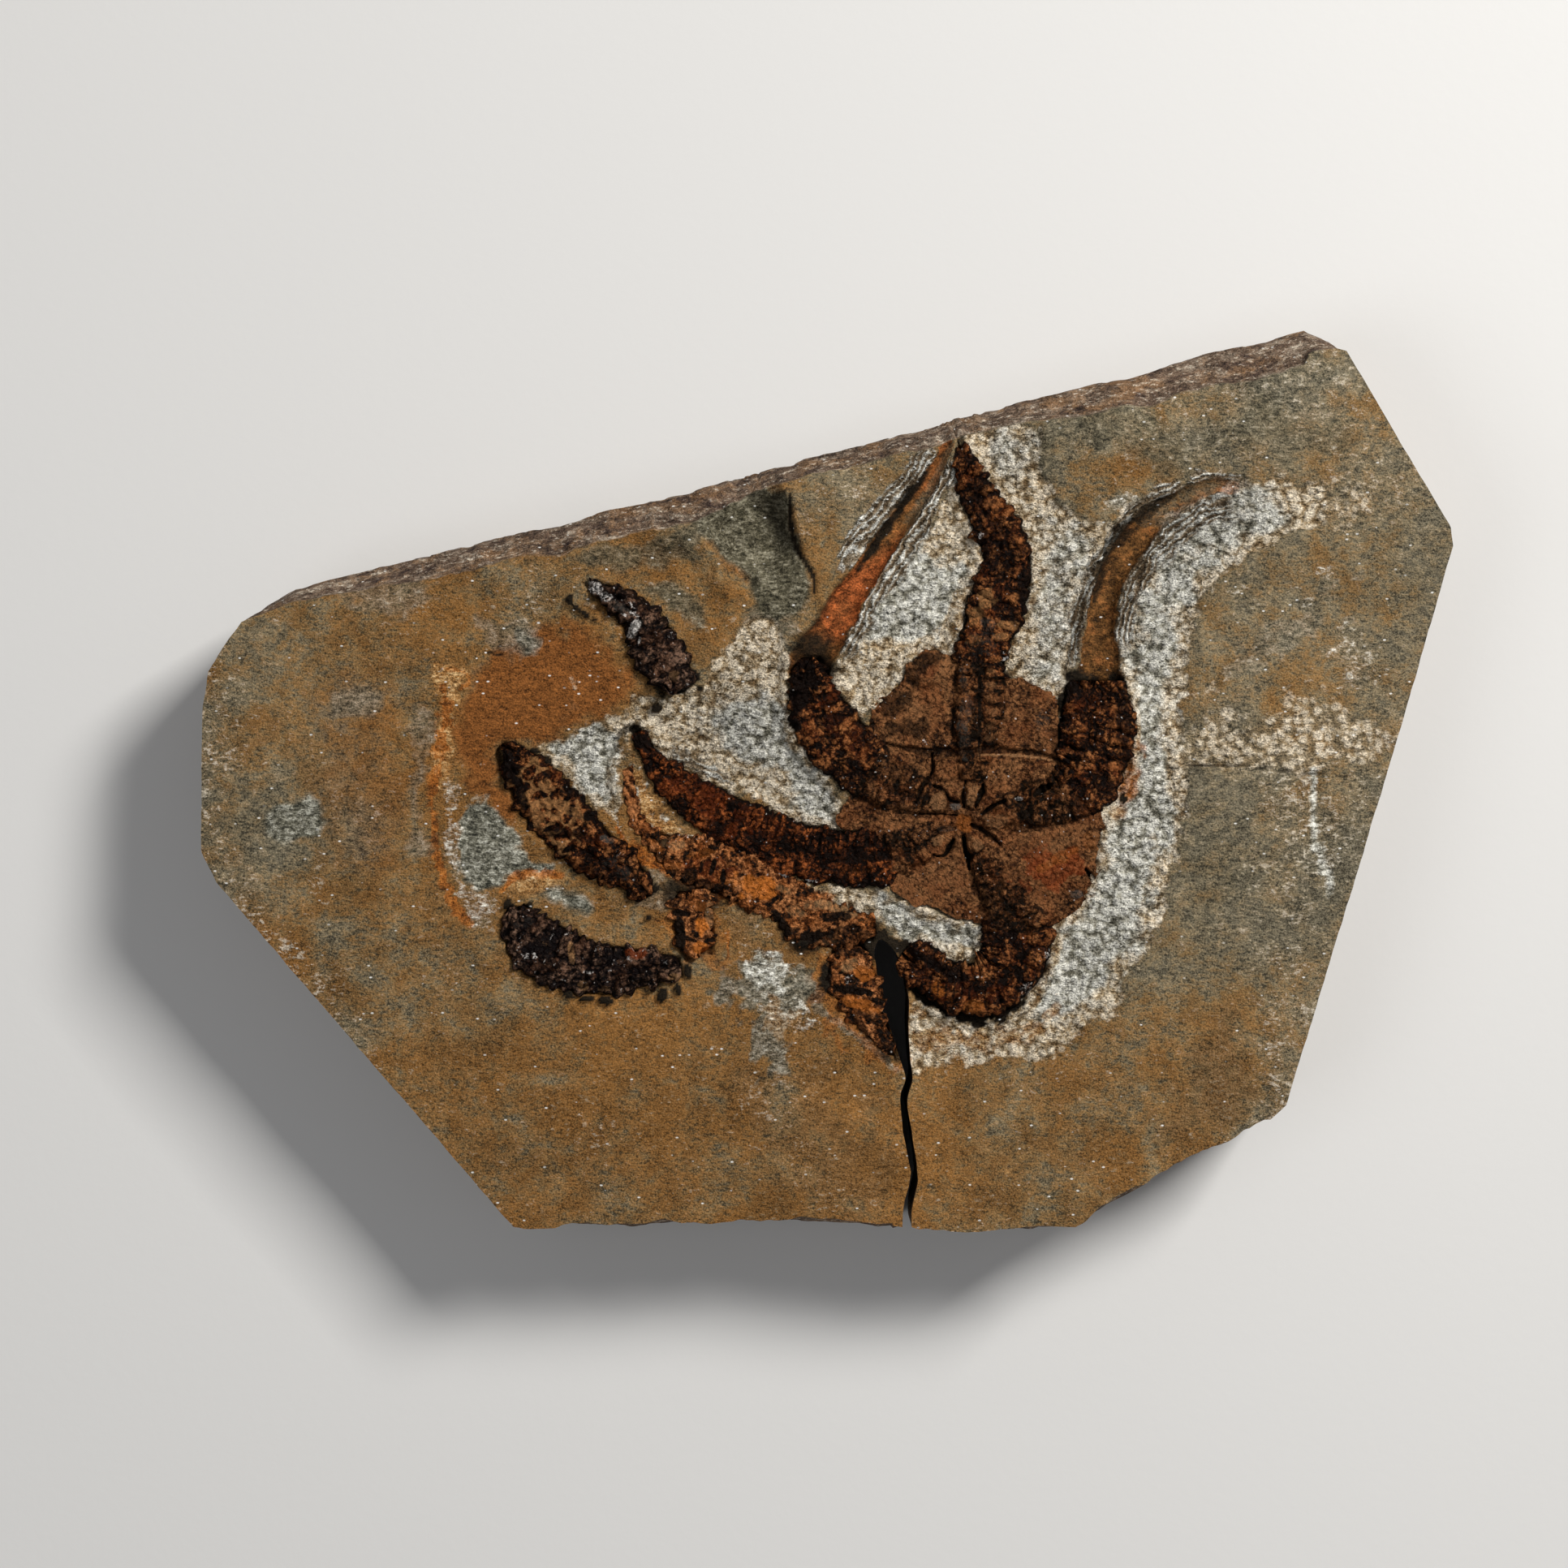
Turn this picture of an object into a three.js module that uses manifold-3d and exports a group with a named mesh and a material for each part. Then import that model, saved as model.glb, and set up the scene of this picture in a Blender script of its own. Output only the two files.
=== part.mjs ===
// A fossil brittle star on its stone slab: a sawn and broken slab of fine sandy stone with the
// star's disc and arms standing in relief, each in the pocket that it fills in the stone.
// Millimetres, +Z up. The slab lies on its flat back, with the origin under its middle.

import * as THREE from "three";
import { mergeVertices } from "three/addons/utils/BufferGeometryUtils.js";
import Module from "manifold-3d";

const wasm = await Module();
wasm.setup();

// ---------------------------------------------------------------- driving dimensions

const SLAB_LENGTH = 97.6; // along X, corner to corner
const SLAB_WIDTH = 70.4; // along Y
const RIGHT = SLAB_LENGTH / 2;
const BACK = SLAB_WIDTH / 2;
const SLAB_THICKNESS = 11; // from the flat back to the bedding face
const FACE_STEP = 2.3; // between the points of the slab's upper face
const DISC_STEP = 2.3; // between the points of the disc's upper face
const FIT_GAP = 0.3; // round every fossil piece, to the stone and to its neighbours
const POCKET_STEP = 2.2; // between the sections of a pocket
const POCKET_FLOOR = 1.7; // depth of a fossil piece's pocket under the bedding face
const PECKED_DEPTH = 0.55; // how far the air-scribed hollows lie under the bedding face
const CHIP_DEPTH = 2.1; // of the hollow where a flake came off
const MOULD_DEPTH = 1.1; // of the empty moulds that two arm ends left
const PLATE_PITCH = 1.45; // from one row of arm plates to the next
const PLATE_RISE = 0.22; // of a row of plates over the joint between two rows
const PLATE_BULGE = 0.14; // of a row of plates past the joints, on each side
const ARM_CREST = 0.6; // of an arm's crest over the bedding face
const ARM_MIDLINE = 0.18; // of the seam between an arm's two columns of plates, under its crest
const ARM_EDGE = 0.1; // of an arm's side edges under the bedding face
const DISC_FIELD = 0.1; // of the areas between the arm bases over the bedding face
const ABOVE_ALL = 16; // heights that every cut reaches past
const BELOW_ALL = -2;

// The mouth, with a ring of slits round it.
const MOUTH = { x: 10.6, y: -3.1, depth: 0.45, radius: 2.4 };
const MOUTH_SLITS = 10;
const MOUTH_SLIT = { middle: 1.9, length: 2.0, width: 0.5, depth: 0.9 };

// ---------------------------------------------------------------- outlines and centrelines

// The slab's base, counter-clockwise. `lean` is how far the wall above that point stands in
// at the upper face, and `rough` how far the broken stretch that starts there strays.
const SLAB_CORNERS = [
  { x: -24.4, y: -34.9, lean: 0.5, rough: 0.3 }, // along the rough lower edge
  { x: -3.4, y: -34.3, lean: 0.7, rough: 0.3 },
  { x: 9.8, y: -BACK, lean: 0.7, rough: 0.15 },
  { x: 19.4, y: -34.8, lean: 0.9, rough: 0.25 }, // up the chipped lower right edge
  { x: 27.2, y: -30.0, lean: 1.1, rough: 0.3 },
  { x: 34.6, y: -26.4, lean: 0.8, rough: 0 },
  { x: 35.8, y: -25.2, lean: 0.3, rough: 0 }, // up the sawn right edge
  { x: 45.2, y: 5.7, lean: 0.3, rough: 0 },
  { x: RIGHT, y: 18.4, lean: 0.4, rough: 0 },
  { x: 48.5, y: 19.9, lean: 0.4, rough: 0 },
  { x: 40.2, y: 33.6, lean: 0.5, rough: 0 },
  { x: 38.0, y: BACK, lean: 2.3, rough: 0.3 }, // down the broken, layered upper edge
  { x: 32.4, y: 34.0, lean: 2.5, rough: 0.25 },
  { x: 22.0, y: 31.2, lean: 1.7, rough: 0.2 },
  { x: 9.0, y: 27.9, lean: 1.1, rough: 0.2 },
  { x: -4.7, y: 24.2, lean: 0.9, rough: 0.2 },
  { x: -13.6, y: 21.9, lean: 2.3, rough: 0.25 },
  { x: -26.8, y: 18.7, lean: 1.7, rough: 0.2 },
  { x: -42.2, y: 14.6, lean: 1.1, rough: 0 },
  { x: -45.6, y: 12.6, lean: 0.7, rough: 0 }, // round the upper left corner
  { x: -48.2, y: 8.6, lean: 0.6, rough: 0 },
  { x: -RIGHT, y: 5.2, lean: 0.4, rough: 0 }, // down the sawn left edge
  { x: -RIGHT, y: -5.4, lean: 0.4, rough: 0 },
  { x: -47.6, y: -7.8, lean: 0.3, rough: 0 }, // down the sawn lower left edge
  { x: -25.3, y: -33.8, lean: 0.3, rough: 0 },
];

// The open crack, from the end under the lower arm down through the lower edge: middle and width.
const CRACK = [
  [4.4, -12.4, 1.6],
  [5.0, -15.0, 2.1],
  [5.2, -16.8, 2.3],
  [5.6, -19.0, 1.6],
  [6.1, -21.6, 0.8],
  [6.4, -23.2, 0.6],
  [6.0, -24.6, 0.6],
  [6.3, -27.4, 0.6],
  [6.8, -31.0, 0.6],
  [6.3, -33.2, 0.7],
  [6.3, -37.0, 0.8],
];

// Each arm runs through stations of x, y and half width, and `rise` scales its crest.
const ARMS = {
  arm_up: {
    stations: [
      [11.9, 6.6, 1.95],
      [12.1, 10.0, 2.2],
      [12.8, 12.6, 2.25],
      [13.7, 15.1, 2.15],
      [13.9, 17.3, 2.0],
      [13.3, 19.5, 1.7],
      [12.0, 21.7, 1.3],
      [10.8, 23.6, 0.95],
      [9.9, 26.2, 0.45],
    ],
    rise: 1.0,
    colour: 0x33231a,
  },
  arm_right: {
    stations: [
      [19.8, -0.1, 2.3],
      [20.9, 2.2, 2.8],
      [21.3, 4.8, 2.75],
      [21.2, 7.9, 2.1],
    ],
    rise: 1.0,
    colour: 0x2a1a10,
  },
  arm_upper_left: {
    stations: [
      [3.0, 1.0, 2.4],
      [1.3, 2.6, 2.6],
      [0.0, 4.2, 2.55],
      [-1.0, 6.2, 2.15],
      [-1.3, 8.3, 1.75],
      [-0.8, 10.3, 1.4],
    ],
    rise: 0.9,
    colour: 0x3a1e12,
  },
  arm_left: {
    stations: [
      [3.8, -5.6, 2.1],
      [0.7, -5.7, 2.3],
      [-2.2, -5.3, 2.25],
      [-5.0, -4.6, 2.1],
      [-7.5, -3.3, 1.9],
      [-9.7, -1.7, 1.65],
      [-11.6, -0.1, 1.35],
      [-13.2, 1.5, 0.95],
      [-14.7, 3.7, 0.4],
    ],
    rise: 0.75,
    colour: 0x3c160c,
  },
  arm_down: {
    stations: [
      [13.5, -10.0, 2.25],
      [14.0, -12.1, 2.5],
      [13.6, -14.1, 2.5],
      [12.3, -15.6, 2.4],
      [10.5, -16.1, 2.25],
      [8.6, -15.5, 1.95],
      [6.7, -14.2, 1.5],
    ],
    rise: 1.0,
    colour: 0x2c170c,
  },
  arm_curl: {
    stations: [
      [3.6, -11.4, 1.0],
      [1.6, -11.4, 1.5],
      [-0.6, -10.8, 1.7],
      [-2.8, -9.9, 1.7],
      [-4.9, -8.6, 1.45],
      [-6.9, -7.8, 1.35],
      [-8.9, -7.0, 1.5],
      [-10.9, -6.1, 1.45],
      [-12.9, -4.8, 1.1],
      [-14.5, -3.0, 0.75],
      [-15.5, -0.4, 0.55],
      [-15.9, 2.8, 0.35],
    ],
    rise: 0.7,
    colour: 0x4a2a14,
  },
  arm_stub: {
    stations: [
      [1.5, -13.5, 1.6],
      [1.7, -15.2, 1.75],
      [2.6, -17.3, 1.5],
      [3.9, -19.3, 0.95],
      [5.1, -21.4, 0.3],
    ],
    rise: 0.6,
    colour: 0x54301c,
  },
  short_arm: {
    stations: [
      [-10.5, -9.0, 1.1],
      [-10.4, -10.6, 1.45],
      [-10.2, -12.4, 1.4],
    ],
    rise: 0.7,
    colour: 0x4e2c14,
  },
  loose_arm_lower: {
    stations: [
      [-10.9, -14.3, 1.15],
      [-13.2, -14.4, 1.6],
      [-16.4, -14.5, 2.05],
      [-18.8, -14.3, 2.25],
      [-20.9, -13.8, 2.3],
      [-22.8, -12.7, 2.25],
      [-24.0, -11.2, 1.95],
      [-24.4, -9.5, 1.2],
    ],
    rise: 1.0,
    colour: 0x2b2220,
  },
  loose_arm_middle: {
    stations: [
      [-25.5, 2.4, 0.9],
      [-24.0, 1.0, 1.75],
      [-22.2, -1.2, 2.1],
      [-20.5, -3.2, 2.1],
      [-18.6, -5.0, 1.95],
      [-16.5, -6.4, 1.7],
      [-14.2, -7.7, 1.2],
    ],
    rise: 0.8,
    colour: 0x3a2a1e,
  },
  loose_arm_upper: {
    stations: [
      [-19.0, 15.4, 0.45],
      [-17.6, 14.8, 0.95],
      [-16.1, 13.9, 1.3],
      [-14.6, 12.6, 1.6],
      [-13.4, 10.9, 1.8],
      [-12.4, 9.0, 1.8],
      [-11.8, 7.4, 1.4],
    ],
    rise: 1.1,
    colour: 0x2a2624,
  },
};

// The two empty moulds that arm ends left in the stone: x, y and half width.
const MOULDS = [
  [
    [21.2, 8.6, 1.9],
    [21.2, 11.0, 1.5],
    [21.3, 13.0, 1.2],
    [21.9, 15.9, 1.15],
    [23.2, 18.5, 1.1],
    [25.5, 20.9, 1.0],
    [28.4, 22.5, 0.85],
    [31.6, 23.0, 0.4],
  ],
  [
    [-0.4, 11.1, 1.6],
    [1.3, 14.1, 1.5],
    [2.7, 16.4, 1.3],
    [4.2, 18.7, 1.05],
    [5.6, 20.8, 0.9],
    [7.2, 23.0, 0.7],
    [9.3, 26.2, 0.35],
  ],
];

// The disc's margin, counter-clockwise: a pentagon with a bay between each two arms.
const DISC_MARGIN = [
  [14.0, 8.2],
  [10.0, 9.0],
  [8.0, 10.2],
  [6.6, 8.8],
  [5.2, 7.2],
  [3.2, 4.8],
  [4.4, 2.2],
  [2.4, -0.4],
  [0.8, -1.8],
  [1.2, -3.3],
  [5.6, -4.0],
  [6.0, -8.9],
  [8.2, -10.2],
  [11.4, -11.2],
  [15.7, -11.4],
  [18.6, -10.4],
  [20.4, -7.9],
  [21.2, -5.4],
  [21.4, -3.2],
  [18.6, -1.2],
  [18.2, 3.8],
  [17.6, 6.8],
  [15.6, 7.9],
];

// The five arm bases on the disc, from the mouth out to the margin: x, y and half width.
const ARM_BASES = [
  [[10.8, -1.3, 0.9], [11.4, 3.0, 1.8], [11.9, 8.6, 1.95]],
  [[12.3, -2.8, 0.9], [16.0, -2.0, 1.7], [20.2, 0.6, 2.3]],
  [[11.3, -4.8, 0.9], [12.3, -7.2, 1.7], [13.7, -11.2, 2.2]],
  [[8.9, -3.9, 0.9], [6.4, -5.1, 1.8], [3.6, -5.8, 2.1]],
  [[9.0, -2.2, 0.9], [6.2, -0.8, 1.9], [2.6, 1.2, 2.4]],
];

// The pecked hollows round the star: centre, radii and turn of overlapping ovals.
const PECKED_OVALS = [
  { x: 24.5, y: 13.5, rx: 3.2, ry: 8.5, turn: -0.15 },
  { x: 32.0, y: 20.2, rx: 9.0, ry: 2.6, turn: 0.3 },
  { x: 25.6, y: -1.5, rx: 2.8, ry: 11.5, turn: 0.05 },
  { x: 20.8, y: -15.0, rx: 7.0, ry: 5.0, turn: 0.9 },
  { x: 11.6, y: -19.6, rx: 8.0, ry: 2.6, turn: 0.05 },
  { x: 17.6, y: 14.5, rx: 4.2, ry: 9.5, turn: 0.05 },
  { x: 6.5, y: 12.5, rx: 3.6, ry: 8.5, turn: -0.55 },
  { x: -6.4, y: 3.0, rx: 8.2, ry: 3.6, turn: -0.55 },
  { x: -18.2, y: 2.4, rx: 3.6, ry: 2.2, turn: -0.8 },
  { x: 5.2, y: -10.4, rx: 5.8, ry: 1.9, turn: -0.3 },
];

// The chip hollow: it falls away from a steep wall on its right.
const CHIP = { x: -5.6, y: 19.4, rx: 4.6, ry: 5.6, wallX: -1.8, wallY: 18, wallTurn: -0.32 };

// ---------------------------------------------------------------- relief of the upper face

const smooth = (from, to, v) => THREE.MathUtils.smoothstep(v, from, to);

// How deep a point lies inside an oval: 1 at its middle, 0 on its rim, negative outside.
function insideOval({ x: cx, y: cy, rx, ry, turn = 0 }, x, y) {
  const dx = x - cx;
  const dy = y - cy;
  const along = dx * Math.cos(turn) + dy * Math.sin(turn);
  const across = dy * Math.cos(turn) - dx * Math.sin(turn);
  return 1 - Math.hypot(along / rx, across / ry);
}

// Low swells of a bedding face, from crossing waves.
function swell(x, y) {
  const long = Math.sin(0.11 * x + 0.05 * y + 0.8) * Math.cos(0.13 * y - 0.04 * x);
  const short = Math.sin(0.43 * x - 0.31 * y) * Math.sin(0.37 * y + 0.22 * x + 1.3);
  return 0.28 * long + 0.12 * short;
}

function peckedDrop(x, y) {
  const deepest = Math.max(...PECKED_OVALS.map((oval) => insideOval(oval, x, y)));
  return PECKED_DEPTH * smooth(-0.05, 0.3, deepest);
}

function chipDrop(x, y) {
  const fall = smooth(0, 0.7, insideOval(CHIP, x, y));
  const past = (x - CHIP.wallX) * Math.cos(CHIP.wallTurn) - (y - CHIP.wallY) * Math.sin(CHIP.wallTurn);
  return CHIP_DEPTH * fall * (1 - smooth(-0.6, 0.6, past));
}

// The slope above the upper loose arm, where layers of the stone flaked off.
function flakedDrop(x, y) {
  return 0.9 * smooth(0, 0.6, insideOval({ x: -12.2, y: 15.4, rx: 6.2, ry: 4.4, turn: -0.5 }, x, y));
}

function edgeWear(x, y) {
  return 0.9 * smooth(-0.9, 0.6, y - 0.27 * x - 24.3);
}

function faceHeight(x, y) {
  const drops = peckedDrop(x, y) + chipDrop(x, y) + flakedDrop(x, y) + edgeWear(x, y);
  return SLAB_THICKNESS + swell(x, y) - drops;
}

// ---------------------------------------------------------------- closed solids

// A manifold solid of a closed geometry.
function solid(geometry) {
  const bare = geometry.clone();
  bare.deleteAttribute("normal");
  bare.deleteAttribute("uv");
  const merged = mergeVertices(bare, 1e-4);
  return new wasm.Manifold(
    new wasm.Mesh({
      numProp: 3,
      vertProperties: new Float32Array(merged.attributes.position.array),
      triVerts: new Uint32Array(merged.index.array),
    }),
  );
}

// A closed body through rings of equally many points, capped flat at both ends.
// `flat` is the first ring laid out in its own plane, to fill the caps.
function throughRings(rings, flat) {
  const count = flat.length;
  const index = [];
  for (let r = 0; r < rings.length - 1; r++) {
    for (let i = 0; i < count; i++) {
      const a = r * count + i;
      const b = r * count + ((i + 1) % count);
      index.push(a, b, b + count, a, b + count, a + count);
    }
  }
  const last = (rings.length - 1) * count;
  THREE.ShapeUtils.triangulateShape(flat, []).forEach(([a, b, c]) => {
    index.push(c, b, a, last + a, last + b, last + c);
  });
  const geometry = new THREE.BufferGeometry();
  geometry.setAttribute("position", new THREE.Float32BufferAttribute(rings.flat(2), 3));
  geometry.setIndex(index);
  return solid(geometry);
}

// A block whose upper face follows height(x, y) over a grid, down to a flat floor.
function relief({ min, max }, step, floor, height) {
  const columns = Math.ceil((max.x - min.x) / step);
  const rows = Math.ceil((max.y - min.y) / step);
  const rings = [];
  for (let r = 0; r <= rows; r++) {
    const y = THREE.MathUtils.lerp(min.y, max.y, r / rows);
    const ring = [[max.x, y, floor], [min.x, y, floor]];
    for (let c = 0; c <= columns; c++) {
      const x = THREE.MathUtils.lerp(min.x, max.x, c / columns);
      ring.push([x, y, height(x, y)]);
    }
    rings.push(ring);
  }
  const flat = rings[0].map(([x, , z]) => new THREE.Vector2(-x, z));
  return throughRings(rings, flat);
}

// A body swept along stations of x, y and half width. section(x, y, half, turn) gives a loop of
// sideways and height values, counter-clockwise as seen from the far end.
function sweep(stations, steps, section) {
  const points = stations.map((station) => new THREE.Vector3(...station));
  const curve = new THREE.CatmullRomCurve3(points, false, "centripetal");
  const sections = [];
  const rings = [];
  for (let i = 0; i <= steps; i++) {
    const at = curve.getPointAt(i / steps);
    const ahead = curve.getTangentAt(i / steps).setZ(0).normalize();
    const loop = section(at.x, at.y, at.z, i);
    sections.push(loop);
    rings.push(loop.map(([side, z]) => [at.x - side * ahead.y, at.y + side * ahead.x, z]));
  }
  return throughRings(rings, sections[0].map(([side, z]) => new THREE.Vector2(side, z)));
}

function pathLength(stations) {
  const legs = stations.slice(1).map(([x, y], i) => Math.hypot(x - stations[i][0], y - stations[i][1]));
  return legs.reduce((sum, leg) => sum + leg, 0);
}

// Stations made longer by `gap` at both ends and wider by `gap` on both sides.
function grownStations(stations, gap) {
  const lengthened = (end, next) => {
    const away = new THREE.Vector2(end[0] - next[0], end[1] - next[1]).setLength(gap);
    return [end[0] + away.x, end[1] + away.y, end[2]];
  };
  const all = stations.slice(1, -1);
  all.unshift(lengthened(stations[0], stations[1]));
  all.push(lengthened(stations.at(-1), stations.at(-2)));
  return all.map(([x, y, half]) => [x, y, half + gap]);
}

// A closed outline moved outwards by `gap`.
function grownOutline(points, gap) {
  return points.map((p, i) => {
    const before = points.at(i - 1);
    const after = points[(i + 1) % points.length];
    const a = new THREE.Vector2(p[1] - before[1], before[0] - p[0]).normalize();
    const b = new THREE.Vector2(after[1] - p[1], p[0] - after[0]).normalize();
    const out = a.clone().add(b).normalize();
    return [p[0] + (out.x * gap) / out.dot(a), p[1] + (out.y * gap) / out.dot(a)];
  });
}

// An upright prism over an outline.
function prism(points, bottom, top) {
  const shape = new THREE.Shape(points.map(([x, y]) => new THREE.Vector2(x, y)));
  const geometry = new THREE.ExtrudeGeometry(shape, { depth: top - bottom, bevelEnabled: false });
  return solid(geometry.translate(0, 0, bottom));
}

// ---------------------------------------------------------------- slab

// A stretch between two corners; a broken one gets points between that stray inwards.
function stretchPoints(corner, next) {
  const length = Math.hypot(next.x - corner.x, next.y - corner.y);
  const parts = corner.rough ? Math.max(1, Math.round(length / 3.2)) : 1;
  const inward = { x: (corner.y - next.y) / length, y: (next.x - corner.x) / length };
  return Array.from({ length: parts }, (_, i) => {
    const t = i / parts;
    const stray = i ? corner.rough * (1 + Math.sin(7.3 * i + 2.1 * corner.x)) : 0;
    return {
      x: THREE.MathUtils.lerp(corner.x, next.x, t) + inward.x * stray,
      y: THREE.MathUtils.lerp(corner.y, next.y, t) + inward.y * stray,
      lean: THREE.MathUtils.lerp(corner.lean, next.lean, t),
      rough: corner.rough,
      inward,
    };
  });
}

// The walls: flat saw cuts lean evenly, and broken ones step in from layer to layer.
function slabWalls() {
  const next = (i) => SLAB_CORNERS[(i + 1) % SLAB_CORNERS.length];
  const base = SLAB_CORNERS.flatMap((corner, i) => stretchPoints(corner, next(i)));
  const layers = [0, 0.28, 0.5, 0.72, 0.9, 1.3];
  const rings = layers.map((share, layer) =>
    base.map((p, i) => {
      const step = layer ? p.rough * Math.sin(2.7 * i + 4.1 * layer) : 0;
      const inset = p.lean * Math.min(share, 1) ** 1.4 + (layer ? p.rough + step : 0);
      return [p.x + p.inward.x * inset, p.y + p.inward.y * inset, share * SLAB_THICKNESS];
    }),
  );
  return throughRings(rings, base.map((p) => new THREE.Vector2(p.x, p.y)));
}

function slabBlock() {
  const reach = { min: { x: -RIGHT - 1, y: -BACK - 1 }, max: { x: RIGHT + 1, y: BACK + 1 } };
  return relief(reach, FACE_STEP, BELOW_ALL, faceHeight).intersect(slabWalls());
}

function crackCut() {
  const stations = CRACK.map(([x, y, width]) => [x, y, width / 2]);
  const through = (x, y, half) => [
    [-half, BELOW_ALL], [half, BELOW_ALL], [half, ABOVE_ALL], [-half, ABOVE_ALL],
  ];
  return sweep(stations, 20, through);
}

// A round-bottomed trough, as deep as the arm end that left it.
function mouldCut(stations) {
  const trough = (x, y, half) => {
    const face = faceHeight(x, y);
    const deep = face - MOULD_DEPTH * Math.min(1, half);
    const slope = THREE.MathUtils.lerp(face, deep, 0.75);
    return [[-half, ABOVE_ALL], [-half, face - 0.1], [-0.6 * half, slope], [0, deep],
      [0.6 * half, slope], [half, face - 0.1], [half, ABOVE_ALL]];
  };
  return sweep(stations, Math.round(pathLength(stations) / 2), trough);
}

// ---------------------------------------------------------------- disc and arms

const pocketFloor = SLAB_THICKNESS - POCKET_FLOOR;
const fossilFloor = pocketFloor + FIT_GAP;

// The bedding face where a fossil piece crosses it, without the pecked hollows.
const beddingHeight = (x, y) => faceHeight(x, y) + peckedDrop(x, y);

// Rows of plates in two columns: each row bulges up and out, and each joint draws in.
function armSolid({ stations, rise }) {
  const rows = Math.round(pathLength(stations) / PLATE_PITCH);
  const section = (x, y, half, i) => {
    const plate = i % 2 ? 1 : -1;
    const side = half + PLATE_BULGE * plate;
    const thin = Math.min(1, half);
    const face = beddingHeight(x, y);
    const crest = face + (ARM_CREST * rise + (PLATE_RISE * plate) / 2) * thin;
    const edge = face - ARM_EDGE + (PLATE_RISE * plate) / 2;
    return [[-side, fossilFloor], [side, fossilFloor], [side, edge], [0.6 * side, crest],
      [0, crest - ARM_MIDLINE * thin], [-0.6 * side, crest], [-side, edge]];
  };
  return sweep(stations, 2 * rows, section);
}

function armPocket({ stations }) {
  const box = (x, y, half) => {
    const side = half + PLATE_BULGE;
    return [[-side, pocketFloor], [side, pocketFloor], [side, ABOVE_ALL], [-side, ABOVE_ALL]];
  };
  const grown = grownStations(stations, FIT_GAP);
  return sweep(grown, Math.round(pathLength(grown) / POCKET_STEP), box);
}

// The disc's smooth areas between the arm bases, with a knob on its upper left corner.
function discHeight(x, y) {
  const knob = 0.4 * smooth(0, 0.6, insideOval({ x: 8.0, y: 8.6, rx: 2.6, ry: 1.9 }, x, y));
  const hollow = MOUTH.depth * (1 - smooth(0.2, MOUTH.radius, Math.hypot(x - MOUTH.x, y - MOUTH.y)));
  return beddingHeight(x, y) + DISC_FIELD + knob - hollow;
}

function mouthSlits() {
  const cuts = [];
  for (let i = 0; i < MOUTH_SLITS; i++) {
    const turn = ((i + 0.3) / MOUTH_SLITS) * 2 * Math.PI;
    const slit = new THREE.BoxGeometry(MOUTH_SLIT.length, MOUTH_SLIT.width, 2 * MOUTH_SLIT.depth);
    slit.translate(MOUTH_SLIT.middle, 0, SLAB_THICKNESS + 0.5).rotateZ(turn);
    cuts.push(solid(slit.translate(MOUTH.x, MOUTH.y, 0)));
  }
  return cuts;
}

function discSolid() {
  const reach = { min: { x: 0, y: -12.5 }, max: { x: 22.5, y: 11.2 } };
  const bases = ARM_BASES.map((stations) => armSolid({ stations, rise: 0.9 }));
  const block = bases.reduce((all, base) => all.add(base), relief(reach, DISC_STEP, 0, discHeight));
  const body = block.intersect(prism(DISC_MARGIN, fossilFloor, ABOVE_ALL));
  return mouthSlits().reduce((rest, slit) => rest.subtract(slit), body);
}

const discPocket = () => prism(grownOutline(DISC_MARGIN, FIT_GAP), pocketFloor, ABOVE_ALL);

// ---------------------------------------------------------------- assembly

// A named mesh of a solid, flat-shaded in its own colour.
function meshOf(body, name, colour, roughness) {
  const { numProp, vertProperties, triVerts } = body.getMesh();
  const geometry = new THREE.BufferGeometry();
  const positions = vertProperties.filter((_, i) => i % numProp < 3);
  geometry.setAttribute("position", new THREE.BufferAttribute(positions, 3));
  geometry.setIndex(new THREE.BufferAttribute(triVerts, 1));
  geometry.computeVertexNormals();
  const look = { color: colour, roughness, metalness: 0, flatShading: true };
  const mesh = new THREE.Mesh(geometry, new THREE.MeshStandardMaterial(look));
  mesh.name = name;
  return mesh;
}

const group = new THREE.Group();
group.name = "fossil_brittle_star";

// Every fossil piece keeps clear of the pockets of those placed before it.
const pockets = [discPocket()];
group.add(meshOf(discSolid(), "disc", 0x3f2c1c, 0.6));
for (const [name, arm] of Object.entries(ARMS)) {
  const body = pockets.reduce((rest, pocket) => rest.subtract(pocket), armSolid(arm));
  group.add(meshOf(body, name, arm.colour, 0.5));
  pockets.push(armPocket(arm));
}

const cuts = [...pockets, ...MOULDS.map(mouldCut), crackCut()];
const slab = cuts.reduce((rest, cut) => rest.subtract(cut), slabBlock());
group.add(meshOf(slab, "slab", 0x76603f, 0.85));

export default group;
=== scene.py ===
"""A fossil brittle star on its sawn and broken stone slab, dressed for looking at.

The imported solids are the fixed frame. Each stone or fossil piece here stands for one of them:
the slab is one relief cut to its outline, the disc is a relief of five arm bases round a mouth,
and every arm is a strip of plates swept along its curve. Lengths are millimetres until a mesh
is made, and the frame's own metres after that.
"""

import logging
import math
from collections.abc import Sequence
from dataclasses import dataclass, field
from enum import Enum
from typing import TypeVar

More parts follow.
